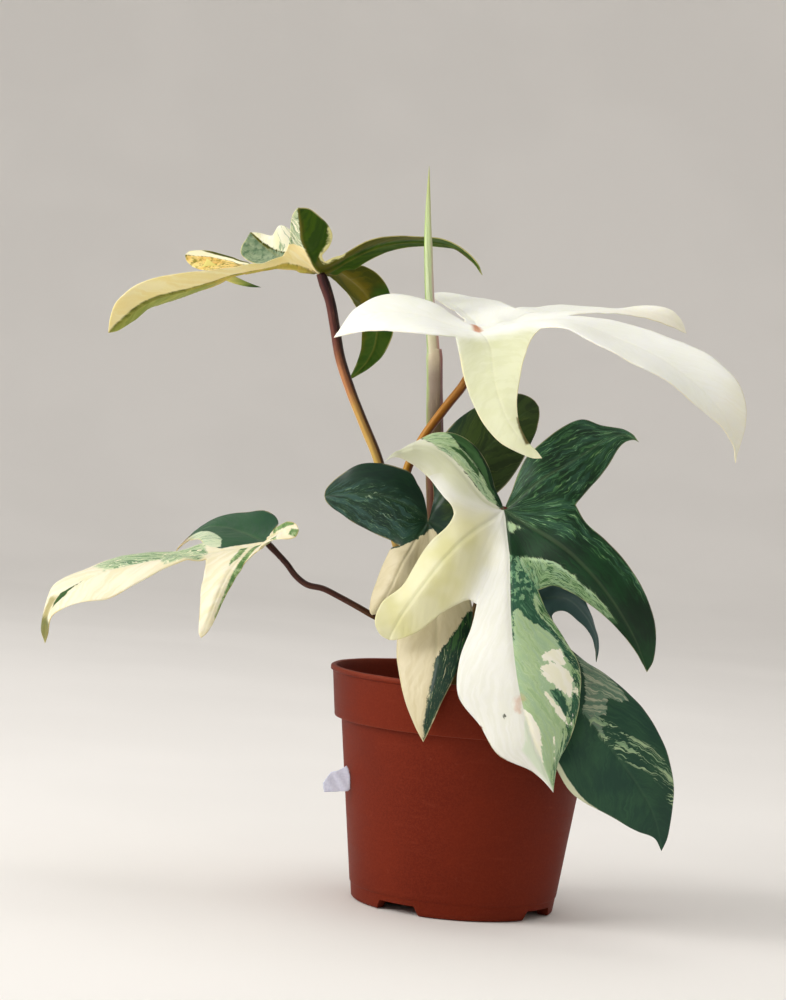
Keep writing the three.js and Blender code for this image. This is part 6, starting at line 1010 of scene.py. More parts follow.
def build_leaves():
    m = blade_material(
        "blade_front",
        (srgb(3, 36, 14), srgb(14, 60, 26)),
        [
            # painted sheen: bluish bands along the veins of the dark lobes
            dict(zone="streaky", color=srgb(44, 84, 66), ragged=3.0, soft=3.0, flecks=0.46, fleck_soft=0.16, fleck_grain="broad", alpha=0.55),
            dict(zone="streaky", color=srgb(62, 108, 62), color2=srgb(74, 120, 80), ragged=2.0, soft=1.2, flecks=0.50, fleck_soft=0.10, alpha=0.7),
            dict(zone="streaky", color=srgb(120, 154, 92), color2=srgb(146, 182, 136), ragged=2.0, soft=1.2, flecks=0.61, fleck_soft=0.06, alpha=0.8),
            dict(zone="mint", color=MINT, color2=srgb(176, 200, 148), ragged=1.6),
            dict(zone="mint", color=srgb(138, 172, 128), ragged=2.0, soft=1.0, grain="mottle", flecks=0.52, fleck_soft=0.10, fleck_grain="broad", alpha=0.6),
            dict(zone="mint", color=srgb(196, 212, 168), ragged=2.0, soft=1.0, flecks=0.60, fleck_soft=0.08, alpha=0.6),
            dict(zone="mint", color=srgb(208, 222, 186), ragged=1.6, soft=1.0, flecks=0.56, fleck_soft=0.05, fleck_grain="fine", alpha=0.55),
            dict(zone="mint", color=srgb(100, 144, 104), ragged=2.0, soft=1.0, flecks=0.60, fleck_soft=0.05, fleck_grain="fine", alpha=0.6),
            dict(zone="fringe", color=srgb(52, 98, 66), color2=srgb(84, 128, 80), ragged=1.6, flecks=0.48, fleck_soft=0.05),
            dict(zone="fringe", color=srgb(196, 212, 168), ragged=1.2, flecks=0.58, fleck_soft=0.04, fleck_grain="fine", alpha=0.8),
            dict(zone="shore", color=srgb(48, 96, 62), color2=srgb(84, 132, 78), ragged=2.4, flecks=0.46, fleck_soft=0.05),
            dict(zone="shore", color=srgb(30, 70, 48), color2=srgb(48, 92, 50), ragged=2.0, flecks=0.56, fleck_soft=0.03, fleck_grain="fine"),
            dict(zone="wedge", color=srgb(84, 122, 84), color2=srgb(104, 140, 92), ragged=2.4, soft=1.2, grain="broad", alpha=0.5),
            dict(zone="wedge", color=srgb(40, 82, 48), color2=srgb(60, 100, 56), ragged=2.4, flecks=0.51, fleck_soft=0.05, fleck_grain="fine"),
            dict(zone="wedge", color=srgb(36, 78, 46), color2=srgb(54, 94, 50), ragged=2.4, flecks=0.54, fleck_soft=0.06, alpha=0.8),
            dict(zone="night", color=srgb(34, 76, 58), color2=srgb(46, 92, 66), ragged=1.3, grain2="mottle"),
            dict(zone="night", color=srgb(104, 150, 112), ragged=1.0, soft=0.6, flecks=0.56, fleck_soft=0.06, fleck_grain="streak", alpha=0.8),
            dict(zone="shore", color=srgb(184, 204, 148), ragged=1.4, soft=0.6, flecks=0.57, fleck_soft=0.05, fleck_grain="fine", alpha=0.85),
            dict(zone="shore", color=srgb(26, 66, 40), ragged=1.4, soft=0.6, flecks=0.57, fleck_soft=0.04, fleck_grain="streak", alpha=0.8),
            dict(zone="sinus", color=srgb(140, 176, 132), color2=srgb(100, 146, 108), ragged=3.0, grain="mottle", flecks=0.50, fleck_soft=0.05, fleck_grain="mottle", alpha=0.9),
            dict(zone="sinus", color=srgb(30, 72, 52), ragged=2.0, flecks=0.56, fleck_soft=0.05, alpha=0.9),
            dict(zone="crest", color=srgb(66, 106, 70), color2=srgb(90, 130, 84), ragged=1.2, soft=0.6, flecks=0.54, fleck_soft=0.05, alpha=0.8),
            dict(zone="crest", color=srgb(218, 224, 186), ragged=1.2, soft=0.6, flecks=0.57, fleck_soft=0.05, fleck_grain="fine", alpha=0.7),
            dict(zone="gloom", color=srgb(46, 82, 44), color2=srgb(60, 100, 56), ragged=1.6),
            dict(zone="torn", color=srgb(220, 222, 196), color2=srgb(228, 229, 212), ragged=1.5),
            dict(zone="cream", color=srgb(229, 230, 218), color2=srgb(234, 235, 226), ragged=0.15, soft=0.12),
            dict(zone="green_cream", color=srgb(206, 210, 176), ragged=3.0, soft=3.0, grain="broad", alpha=0.8),
            dict(zone="yellow", color=srgb(214, 210, 148), color2=srgb(224, 221, 176), blend="soft", ragged=7.0, soft=7.0, grain="soft", alpha=0.9),
            dict(zone="spots", color=srgb(242, 240, 214), color2=srgb(246, 244, 226), ragged=1.5, soft=0.2, grain2="mottle"),
            dict(zone="pale", color=srgb(212, 224, 200), ragged=1.5, soft=0.8),
            dict(zone="stain", color=srgb(206, 156, 122), ragged=1.4, soft=1.2, grain="mottle", alpha=0.55),
            dict(zone="speck", color=srgb(70, 74, 58), ragged=0.5, soft=0.3, grain="mottle"),
            dict(zone="burnt", color=srgb(92, 44, 22), color2=srgb(140, 84, 48), ragged=1.0, soft=0.4, grain="mottle", brim=1.2),
        ],
        under=(srgb(150, 160, 130), 0.3),
        rib=(srgb(150, 170, 120), 0.07),
        rim=(srgb(222, 214, 160), 0.6, 0.4),
        rough=(0.38, 0.52),
        seed=1.0,
        spec=0.26,
    )
    blade_mesh("leaf_blade_front_look", BLADES["front"], FRONT, m, ("leaf_blade_front",), relief=1.1, slants={4: (0, 0.12), 3: (0, -0.06), 2: (0, -0.5), 0: (0, 0.1)})
    m = blade_material(
        "blade_middle",
        (srgb(13, 42, 30), srgb(24, 60, 36)),
        [
            # painted sheen: bluish bands along the side veins of this lobe
            dict(zone="veiny", color=srgb(50, 84, 76), ragged=3.0, soft=3.0, flecks=0.46, fleck_soft=0.12, fleck_grain="broad", alpha=0.7),
            dict(zone="veiny", color=srgb(150, 172, 140), ragged=3.0, soft=2.0, flecks=0.64, fleck_soft=0.03, alpha=0.8),
            dict(zone="olive", color=srgb(34, 52, 10), color2=srgb(54, 74, 22), ragged=4.0, soft=4.0, alpha=0.85),
            dict(zone="olive", color=srgb(84, 100, 40), ragged=4.0, soft=4.0, flecks=0.56, fleck_soft=0.12, alpha=0.5),
            dict(zone="veiny", color=srgb(76, 112, 76), color2=srgb(108, 142, 104), ragged=3.0, soft=2.0, flecks=0.58, fleck_soft=0.05, fleck_grain="fine", alpha=0.7),
            dict(zone="cream", color=srgb(203, 191, 154), color2=srgb(211, 200, 166), ragged=1.5, grain="streak", grain2="mottle"),
            dict(zone="shards", color=srgb(92, 126, 74), color2=srgb(126, 150, 100), ragged=2.0, soft=1.0, flecks=0.58, fleck_soft=0.05, alpha=0.6),
            dict(zone="shards", color=srgb(206, 196, 158), ragged=2.4, soft=1.0, flecks=0.625, fleck_soft=0.04, alpha=0.9),
            dict(zone="shards", color=srgb(196, 184, 140), ragged=2.0, soft=1.0, flecks=0.66, fleck_soft=0.03, fleck_grain="fine", alpha=0.8),
            dict(zone="spill", color=srgb(52, 92, 46), ragged=1.6, flecks=0.52, fleck_soft=0.04),
        ],
        under=(srgb(120, 140, 100), 0.3),
        rib=(srgb(110, 140, 90), 0.06),
        rim=(srgb(222, 206, 150), 0.6, 0.5),
        rough=(0.34, 0.48),
        seed=2.0,
        sss=0.0,
        spec=0.3,
    )
    blade_mesh("leaf_blade_middle_look", BLADES["middle"], MIDDLE, m, ("leaf_blade_middle",), slants={0: (0, 0.25), 2: (0, -0.15)})
    m = blade_material(
        "blade_lower_right",
        (srgb(32, 64, 50), srgb(46, 82, 58)),
        [
            dict(zone="patch", color=srgb(92, 122, 100), color2=srgb(108, 136, 112), ragged=1.3),
            dict(zone="patch", color=srgb(150, 166, 138), color2=srgb(180, 182, 156), ragged=1.8, flecks=0.48, fleck_soft=0.10),
            dict(zone="patch", color=srgb(204, 206, 186), ragged=1.6, soft=0.8, flecks=0.58, fleck_soft=0.04, fleck_grain="fine", alpha=0.8),
            dict(zone="patch", color=srgb(52, 84, 66), ragged=1.6, flecks=0.58, fleck_soft=0.05, fleck_grain="fine", alpha=0.8),
            dict(zone="spray", color=srgb(126, 156, 118), color2=srgb(164, 186, 144), ragged=2.6, soft=0.8, flecks=0.53, fleck_soft=0.04),
            dict(zone="shore", color=srgb(208, 212, 180), ragged=0.5),
            # painted shade over the whole lobe, in the blue-grey of the underside
            dict(zone="blue_shade", color=srgb(64, 92, 92), ragged=3.0, soft=3.0, alpha=0.85),
        ],
        under=(srgb(96, 116, 104), 0.45),
        rib=(srgb(88, 118, 84), 0.12),
        rim=(srgb(150, 156, 110), 0.6, 0.35),
        seed=3.0,
        sss=0.0,
    )
    blade_mesh("leaf_blade_lower_right_look", BLADES["lower_right"], LOWER_RIGHT, m, ("leaf_blade_lower_right",))
    m = blade_material(
        "blade_white",
        (srgb(244, 246, 236), srgb(240, 242, 229)),
        [
            dict(zone="tint", color=srgb(206, 208, 172), color2=srgb(212, 214, 182), ragged=5.0, soft=5.0, grain="soft"),
            dict(zone="ends", color=srgb(236, 220, 184), color2=srgb(240, 228, 200), ragged=6.0, soft=9.0, alpha=0.25),
            dict(zone="edges", color=srgb(242, 230, 204), ragged=3.0, soft=5.0, alpha=0.3),
            dict(zone="throat", color=srgb(196, 108, 40), ragged=0.8, soft=1.2, grain="mottle", alpha=0.85),
            dict(zone="slit", color=srgb(96, 88, 52), ragged=0.3, soft=0.5),
        ],
        under=(srgb(240, 234, 208), 0.5),
        rib=(srgb(236, 230, 200), 0.08),
        rim=(srgb(244, 226, 180), 0.8, 0.5),
        seed=4.0,
        sss=0.3,
    )
    blade_mesh("leaf_blade_white_look", BLADES["white"], WHITE_LEAF, m, ("leaf_blade_white",), relief=0.55, side=0.12, vein=10.0)
    m = blade_material(
        "blade_upper_left",
        (srgb(58, 66, 6), srgb(86, 84, 10)),
        [
            dict(zone="gold", color=srgb(214, 190, 96), color2=srgb(188, 176, 78), ragged=2.5, soft=1.5),
            dict(zone="brown", color=srgb(112, 98, 14), color2=srgb(98, 92, 12), ragged=3.0, soft=2.0),
            dict(zone="dusk", color=srgb(26, 66, 2), color2=srgb(54, 88, 2), ragged=3.0, soft=1.2),
            dict(zone="leafy", color=srgb(36, 78, 14), color2=srgb(56, 90, 22), ragged=4.0, soft=3.0),
            dict(zone="strip", color=srgb(172, 174, 88), color2=srgb(142, 154, 72), ragged=3.0, soft=2.4),
            dict(zone="cream", color=srgb(250, 228, 168), color2=srgb(255, 238, 192), ragged=0.8, soft=0.5),
            dict(zone="stripes", color=srgb(150, 172, 140), color2=srgb(196, 206, 170), ragged=1.2),
            dict(zone="stripes", color=srgb(238, 236, 214), ragged=1.2, flecks=0.52, fleck_soft=0.04),
            dict(zone="stripes", color=srgb(48, 86, 50), ragged=1.0, flecks=0.58, fleck_soft=0.03, fleck_grain="fine"),
            dict(zone="lace", color=srgb(232, 226, 168), ragged=0.4, brim=2.1),
            dict(zone="patchy", color=srgb(232, 206, 132), color2=srgb(222, 182, 100), ragged=1.0),
            dict(zone="patchy", color=srgb(132, 120, 40), ragged=1.0, soft=1.6, flecks=0.46, fleck_soft=0.20, fleck_grain="mottle"),
            dict(zone="rim", color=srgb(240, 234, 200), ragged=0.5),
            dict(zone="ghost", color=srgb(240, 238, 214), color2=srgb(230, 228, 192), ragged=0.8),
            dict(zone="ghost", color=srgb(132, 158, 124), ragged=0.8, soft=0.6, flecks=0.56, fleck_soft=0.05, alpha=0.85),
            # the green half of this lobe with a painted sheen, lightened to grey-green
            dict(zone="grey_sheen", color=srgb(122, 142, 112), color2=srgb(146, 160, 130), ragged=1.0),
            dict(zone="grey_sheen", color=srgb(76, 104, 78), ragged=1.0, flecks=0.44, fleck_soft=0.20, fleck_grain="mottle", alpha=0.8),
        ],
        under=(srgb(214, 200, 120), 0.03),
        rib=(srgb(150, 136, 60), 0.20),
        rim=(srgb(240, 224, 160), 0.8, 0.6),
        seed=5.0,
        sss=0.3,
        spec=0.08,
    )
    o = blade_mesh("leaf_blade_upper_left_look", BLADES["upper_left"], UPPER_LEFT, m, ("leaf_blade_upper_left",))
    curled_end(o, ((-134.1, 52.0, 270.5), (-119.8, 44.0, 261.7), (-106.5, 36.0, 260.7)))
    m = blade_material(
        "blade_lower_left",
        (srgb(28, 68, 46), srgb(46, 86, 56)),
        [
            dict(zone="cream", color=srgb(228, 219, 186), color2=srgb(236, 229, 204), ragged=0.7),
            dict(zone="cross", color=srgb(172, 194, 152), color2=srgb(194, 208, 170), ragged=2.2, soft=1.0, alpha=0.95),
            dict(zone="cross", color=srgb(118, 152, 112), ragged=1.6, soft=0.8, flecks=0.50, fleck_soft=0.05, alpha=0.9),
            dict(zone="cross", color=srgb(62, 104, 74), ragged=1.6, soft=0.8, flecks=0.60, fleck_soft=0.04, alpha=0.9),
            dict(zone="cross", color=srgb(232, 228, 200), ragged=1.2, soft=0.8, flecks=0.58, fleck_soft=0.04, fleck_grain="mottle"),
            dict(zone="mint", color=srgb(188, 204, 172), color2=srgb(208, 216, 186), ragged=0.8),
            dict(zone="mint", color=srgb(132, 164, 130), ragged=1.0, flecks=0.55, fleck_soft=0.05),
            dict(zone="vein_green", color=srgb(84, 122, 64), color2=srgb(120, 150, 92), ragged=0.8, soft=0.4),
            dict(zone="vein_green", color=srgb(176, 194, 146), ragged=0.8, soft=0.4, flecks=0.52, fleck_soft=0.06, fleck_grain="mottle", alpha=0.7),
            dict(zone="vein_green", color=srgb(48, 84, 50), ragged=0.8, soft=0.4, flecks=0.56, fleck_soft=0.05, fleck_grain="fine", alpha=0.8),
            dict(zone="wedge", color=srgb(52, 84, 40), ragged=0.9, grain="mottle"),
            dict(zone="tawny", color=srgb(150, 138, 74), ragged=1.5, soft=1.2, alpha=0.8),
            dict(zone="tip", color=srgb(112, 110, 52), color2=srgb(92, 100, 48), ragged=1.5, soft=1.5, alpha=0.9),
            dict(zone="flare", color=srgb(150, 106, 56), ragged=2.0, soft=3.0, alpha=0.7),
        ],
        under=(srgb(180, 170, 120), 0.35),
        rib=(srgb(150, 168, 120), 0.09),
        rim=(srgb(222, 196, 130), 0.7, 0.6),
        sss=0.3,
        seed=6.0,
    )
    blade_mesh("leaf_blade_lower_left_look", BLADES["lower_left"], LOWER_LEFT, m, ("leaf_blade_lower_left",))


build_leaves()


# ---------------------------------------------------------------- pot
POT_H, RIM_R, COLLAR_R, COLLAR_H, NECK_R, BASE_R = 99.4, 60.0, 56.9, 21.9, 53.9, 43.6
WALL, LIP, FOOT_H, FOOT_W = 1.5, 2.4, 4.2, 5.0


def sharpen(o, angle=0.6):
    bm = bmesh.new()
    bm.from_mesh(o.data)
    for e in bm.edges:
        e.smooth = not (len(e.link_faces) == 2 and e.calc_face_angle(0) > angle)
    bm.to_mesh(o.data)
    bm.free()


def lathe(profile, segments, closed):
    """Vertices and faces of a turned body; profile is [(radius, z)] in mm."""
    verts, faces, rings = [], [], []
    for r, z in profile:
        if r < 1e-6:
            rings.append([len(verts)] * segments)
            verts.append((0, 0, z * MM))
        else:
            rings.append(list(range(len(verts), len(verts) + segments)))
            for k in range(segments):
                a = 2 * math.pi * k / segments
                verts.append((r * math.cos(a) * MM, r * math.sin(a) * MM, z * MM))
    pairs = list(zip(rings, rings[1:])) + ([(rings[-1], rings[0])] if closed else [])
    for lo, hi in pairs:
        for k in range(segments):
            q = [lo[k], lo[(k + 1) % segments], hi[(k + 1) % segments], hi[k]]
            q = [v for j, v in enumerate(q) if v != q[j - 1]]
            if len(q) >= 3:
                faces.append(q)
    return np.array(verts), faces


def cut(o, cutters):
    for c in cutters:
        m = o.modifiers.new("cut", "BOOLEAN")
        m.operation, m.object, m.solver = "DIFFERENCE", c, "EXACT"
    dg = bpy.context.evaluated_depsgraph_get()
    me = bpy.data.meshes.new_from_object(o.evaluated_get(dg))
    o.modifiers.clear()
    o.data = me
    for c in cutters:
        bpy.data.objects.remove(c)


def plain(name, verts, faces):
    me = bpy.data.meshes.new(name)
    me.from_pydata([tuple(v) for v in verts], [], faces)
    o = bpy.data.objects.new(name, me)
    scene.collection.objects.link(o)
    return o


def pot_material():
    n = Nodes("pot_plastic")
    tex = n.node("ShaderNodeTexCoord").outputs["Object"]
    cloud = n.noise(tex, 22.0, 4.0, 0.55)
    grain = n.noise(tex, 1800.0, 2.0, 0.6)
    rub = n.noise(n.scale(tex, (60.0, 60.0, 420.0)), 1.0, 3.0, 0.6)
    dust = n.noise(tex, 260.0, 3.0, 0.7)
    col = n.mix(n.step(cloud, 0.35, 0.65), srgb(102, 31, 12), srgb(110, 35, 14))
    col = n.mix(n.math("MULTIPLY", n.step(rub, 0.56, 0.74), 0.18), col, srgb(134, 58, 40))
    peel = n.noise(tex, 900.0, 3.0, 0.7)
    col = n.mix(n.math("MULTIPLY", n.step(peel, 0.40, 0.66), 0.30), col, srgb(124, 46, 24))
    col = n.mix(n.math("MULTIPLY", n.step(grain, 0.58, 0.36), 0.22), col, srgb(78, 20, 8))
    col = n.mix(n.math("MULTIPLY", n.step(dust, 0.64, 0.76), 0.16), col, srgb(150, 78, 58))
    # painted highlight: a lighter band along the top of the rim lip and the lower edge of the collar
    col = n.mix(n.math("MULTIPLY", n.attr("wear_and_highlight"), 0.30), col, srgb(160, 80, 58))
    rough = n.math("ADD", n.step(cloud, 0.3, 0.7, 0.50, 0.60), n.math("MULTIPLY", n.step(rub, 0.5, 0.7), 0.05))
    nb = n.bump(n.math("ADD", n.math("MULTIPLY", grain, 0.6), n.math("MULTIPLY", rub, 0.4)), 0.14, 0.0003)
    sh = n.principled(Base_Color=col, Roughness=rough, Normal=nb)
    sh.inputs["Specular IOR Level"].default_value = 0.1
    return n.finish(sh)


def build_pot():
    H, zc = POT_H, POT_H - COLLAR_H
    slope = (NECK_R - BASE_R) / zc

    def outer(z):
        return BASE_R + slope * z

    prof = [(0, FOOT_H), (20, FOOT_H), (BASE_R - FOOT_W - 0.5, FOOT_H), (BASE_R - FOOT_W, FOOT_H - 0.5)]
    prof += [(BASE_R - FOOT_W, 0.4), (BASE_R - FOOT_W + 0.4, 0.0), (BASE_R - 1.0, 0.0), (BASE_R - 0.35, 0.15), (outer(0.7), 0.7)]
    prof += [(outer(z), z) for z in (2.0, 3.6, 5.2, 6.3)]
    prof += [(outer(6.55) + 0.02, 6.55), (outer(6.8) + 0.26, 6.8), (outer(7.2) + 0.34, 7.2)]
    prof += [(outer(z) + 0.34 * (1 - (z - 7) / (zc - 7)), z) for z in np.linspace(9, zc - 2, 22)]
    prof += [(NECK_R, zc - 0.7), (NECK_R + 0.12, zc - 0.25), (NECK_R + 0.5, zc - 0.02), (COLLAR_R - 0.5, zc), (COLLAR_R - 0.12, zc + 0.12), (COLLAR_R, zc + 0.5)]
    top = H - 2.5
    prof += [(COLLAR_R + (RIM_R - 0.95 - COLLAR_R) * f, zc + 0.5 + (top - zc - 0.5) * f) for f in np.linspace(0.06, 1, 12)]
    prof += [(RIM_R - 0.6, H - 2.3), (RIM_R - 0.15, H - 2.1), (RIM_R, H - 1.8), (RIM_R, H - 0.7), (RIM_R - 0.18, H - 0.25), (RIM_R - 0.6, H)]
    prof += [(RIM_R - LIP + 0.5, H), (RIM_R - LIP + 0.12, H - 0.2), (RIM_R - LIP, H - 0.6)]
    inn = [(COLLAR_R - WALL - 0.2, zc + 1.4), (COLLAR_R - WALL - 0.5, zc + 0.9), (NECK_R - WALL + 0.3, zc - 1.0), (NECK_R - WALL, zc - 1.4)]
    for f in np.linspace(0.12, 0.9, 8):
        prof.append((RIM_R - LIP + (inn[0][0] - RIM_R + LIP) * f, H - 0.6 + (inn[0][1] - H + 0.6) * f))
    prof += inn + [(outer(40) - WALL, 40), (outer(8) - WALL, 8.0), (outer(7) - WALL - 1.4, FOOT_H + 1.6), (0, FOOT_H + 1.6)]
    seg = 288
    verts, faces = lathe(prof, seg, False)
    o = plain("nursery_pot_look", verts, faces)
    cutters = []
    for k in range(4):
        a = math.radians(328 + 90 * k)
        prism = []
        for r in (BASE_R - FOOT_W - 3, BASE_R + 4):
            for y, z in ((-11.2, -1), (11.2, -1), (8.6, 4.0), (-8.6, 4.0)):
                prism.append(((r * math.cos(a) - y * math.sin(a)) * MM, (r * math.sin(a) + y * math.cos(a)) * MM, z * MM))
        cutters.append(plain("notch", prism, [(3, 2, 1, 0), (4, 5, 6, 7), (1, 5, 4, 0), (2, 6, 5, 1), (3, 7, 6, 2), (0, 4, 7, 3)]))
    for k in range(6):
        a = math.radians(40.8 + 60 * k)
        v, f = lathe([(0, -6), (4, -6), (4, 6), (0, 6)], 40, False)
        cutters.append(plain("hole", v + np.array([27 * math.cos(a), 27 * math.sin(a), FOOT_H]) * MM, f))
    cut(o, cutters)
    # the gate boss under the middle of the floor
    v, f = lathe([(0, 0), (8.7, 0), (9.0, 0.3), (9.0, FOOT_H + 0.4), (0, FOOT_H + 0.4)], 64, False)
    bm = bmesh.new()
    bm.from_mesh(o.data)
    extra = [bm.verts.new(p) for p in v]
    for q in f:
        bm.faces.new([extra[k] for k in q])
    bmesh.ops.remove_doubles(bm, verts=bm.verts, dist=1e-7)
    bm.to_mesh(o.data)
    bm.free()
    # a moulded rim is never quite true: its bead wavers a little
    co = np.array([x.co for x in o.data.vertices])
    ang = np.arctan2(co[:, 1], co[:, 0])
    z = co[:, 2] / MM
    rad = np.hypot(co[:, 0], co[:, 1])
    w1 = np.array([noise.noise(Vector((math.cos(a) * 3.2, math.sin(a) * 3.2, 4.0))) for a in ang])
    w2 = np.array([noise.noise(Vector((math.cos(a) * 17, math.sin(a) * 17, 9.0))) for a in ang])
    rim = np.clip((z - (POT_H - 6)) / 6, 0, 1)
    lipb = ((z > POT_H - 2.45) & (z < POT_H - 1.7) & (rad > (RIM_R - 1.2) * MM)).astype(float)
    dr = (0.28 * w1 + 0.06 * w2) * rim * MM
    co[:, 0] += np.cos(ang) * dr
    co[:, 1] += np.sin(ang) * dr
    co[:, 2] += (0.16 * w1 * rim + 0.35 * w2 * lipb) * MM
    o.data.vertices.foreach_set("co", co.ravel())
    o.data.shade_smooth()
    sharpen(o, 0.75)
    o.data.materials.clear()
    o.data.materials.append(pot_material())
    # painted highlights: a lighter band on the top of the rim lip and on the lower outer edge of the collar
    wear_and_highlight = np.exp(-(((z - POT_H + 0.3) / 0.5) ** 2)) + 0.8 * np.exp(-(((z - (POT_H - COLLAR_H)) / 0.35) ** 2)) * (rad > (NECK_R + 1.5) * MM)
    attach(o, "root")
    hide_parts("nursery_pot")
    point_attr(o, "wear_and_highlight", np.clip(wear_and_highlight, 0, 1))


build_pot()


# ---------------------------------------------------------------- potting mix
SOIL_Z, SOIL_CROWN = 80.5, 2.6


def soil_material(name, a, b, c):
    n = Nodes(name)
    tex = n.node("ShaderNodeTexCoord").outputs["Object"]
    big = n.noise(tex, 420.0, 4.0, 0.65)
    small = n.noise(tex, 2200.0, 3.0, 0.7)
    col = n.mix(n.step(big, 0.36, 0.64), a, b)
    col = n.mix(n.math("MULTIPLY", n.step(small, 0.55, 0.7), 0.6), col, c)
    nb = n.bump(small, 0.6, 0.0006)
    sh = n.principled(Base_Color=col, Roughness=n.step(big, 0.3, 0.7, 0.85, 0.97), Normal=nb)
    sh.inputs["Specular IOR Level"].default_value = 0.25
    return n.finish(sh)


def build_soil():
    inner = COLLAR_R - WALL - 0.8
    prof = [(0, 6.2), (40.0, 6.2), (42.6, 7.6), (NECK_R - WALL - 0.5, POT_H - COLLAR_H - 1.2), (inner, POT_H - COLLAR_H + 1.2)]
    rings = 60
    prof += [(inner * (1 - k / rings), None) for k in range(rings + 1)]

    def top(x, y):
        r = math.hypot(x, y)
        base = SOIL_Z + SOIL_CROWN * (0.5 + 0.5 * math.cos(min(r / inner, 1) * math.pi)) * 0.95
        p = Vector((x, y, 0))
        lumps = 0.9 * noise.noise(p * 0.11) + 0.75 * noise.noise(p * 0.31) + 0.35 * noise.noise(p * 0.9)
        return base - 0.9 + lumps * 0.9

    seg = 200
    verts, faces = lathe([(r, z if z is not None else 0.0) for r, z in prof], seg, False)
    for k, v in enumerate(verts):
        if v[2] == 0.0:
            verts[k, 2] = top(v[0] / MM, v[1] / MM) * MM
    mat = soil_material("potting_mix", srgb(46, 32, 24), srgb(70, 50, 36), srgb(24, 17, 13))
    o = new_object("potting_mix_look", verts, faces, mat, True, ("potting_mix",))
    # loose pieces: bark chips, coir chunks and perlite, half sunk in the mix
    shapes = []
    for seed in range(6):
        bm = bmesh.new()
        bmesh.ops.create_icosphere(bm, subdivisions=2, radius=1.0)
        for v in bm.verts:
            v.co *= 1 + 0.42 * noise.noise(v.co * 1.4 + Vector((seed * 11, 3, 5)))
        vv = np.array([v.co for v in bm.verts])
        ff = [[v.index for v in f.verts] for f in bm.faces]
        bm.free()
        shapes.append((vv, ff))

    def scatter(name, count, size, flat, mat, sink, rmax):
        vs, fs, n0 = [], [], 0
        k = 0
        while k < count:
            r, a = rmax * math.sqrt(rng.random()), rng.random() * 2 * math.pi
            x, y = r * math.cos(a), r * math.sin(a)
            s = size[0] + (size[1] - size[0]) * rng.random() ** 2.2
            if r + s > inner - 0.4 or math.hypot(x - STEM_AT[0], y - STEM_AT[1]) < 6.2 + s:
                continue
            k += 1
            vv, ff = shapes[rng.integers(len(shapes))]
            q = rng.normal(size=4)
            q /= np.linalg.norm(q)
            R = np.array(Matrix(((1, 0, 0), (0, 1, 0), (0, 0, 1))))
            from_q = Quaternion(q).to_matrix()
            tilt = np.array(from_q) if flat > 0.7 else R
            sc = np.array([s, s * (0.55 + 0.4 * rng.random()), s * flat])
            yaw = rng.random() * 2 * math.pi
            Z = np.array([[math.cos(yaw), -math.sin(yaw), 0], [math.sin(yaw), math.cos(yaw), 0], [0, 0, 1]])
            ax = (rng.random() - 0.5) * 0.7
            X = np.array([[1, 0, 0], [0, math.cos(ax), -math.sin(ax)], [0, math.sin(ax), math.cos(ax)]])
            w = (vv * sc) @ tilt.T @ X.T @ Z.T + np.array([x, y, top(x, y) + s * flat * sink])
            vs.append(w)
            fs += [[i + n0 for i in f] for f in ff]
            n0 += len(vv)
        return new_object(name, np.concatenate(vs) * MM, fs, mat, True, ())

    bark = soil_material("bark_chips", srgb(84, 54, 34), srgb(112, 74, 46), srgb(50, 32, 22))
    crumb = soil_material("mix_crumbs", srgb(52, 37, 27), srgb(82, 60, 43), srgb(30, 21, 16))
    perl = soil_material("perlite", srgb(226, 222, 212), srgb(240, 238, 230), srgb(196, 188, 172))
    scatter("bark_chips", 85, (1.2, 4.2), 0.42, bark, 0.25, inner)
    scatter("mix_crumbs", 420, (0.5, 1.7), 0.8, crumb, 0.15, inner)
    scatter("perlite_grains", 90, (0.5, 1.6), 0.85, perl, 0.3, inner)


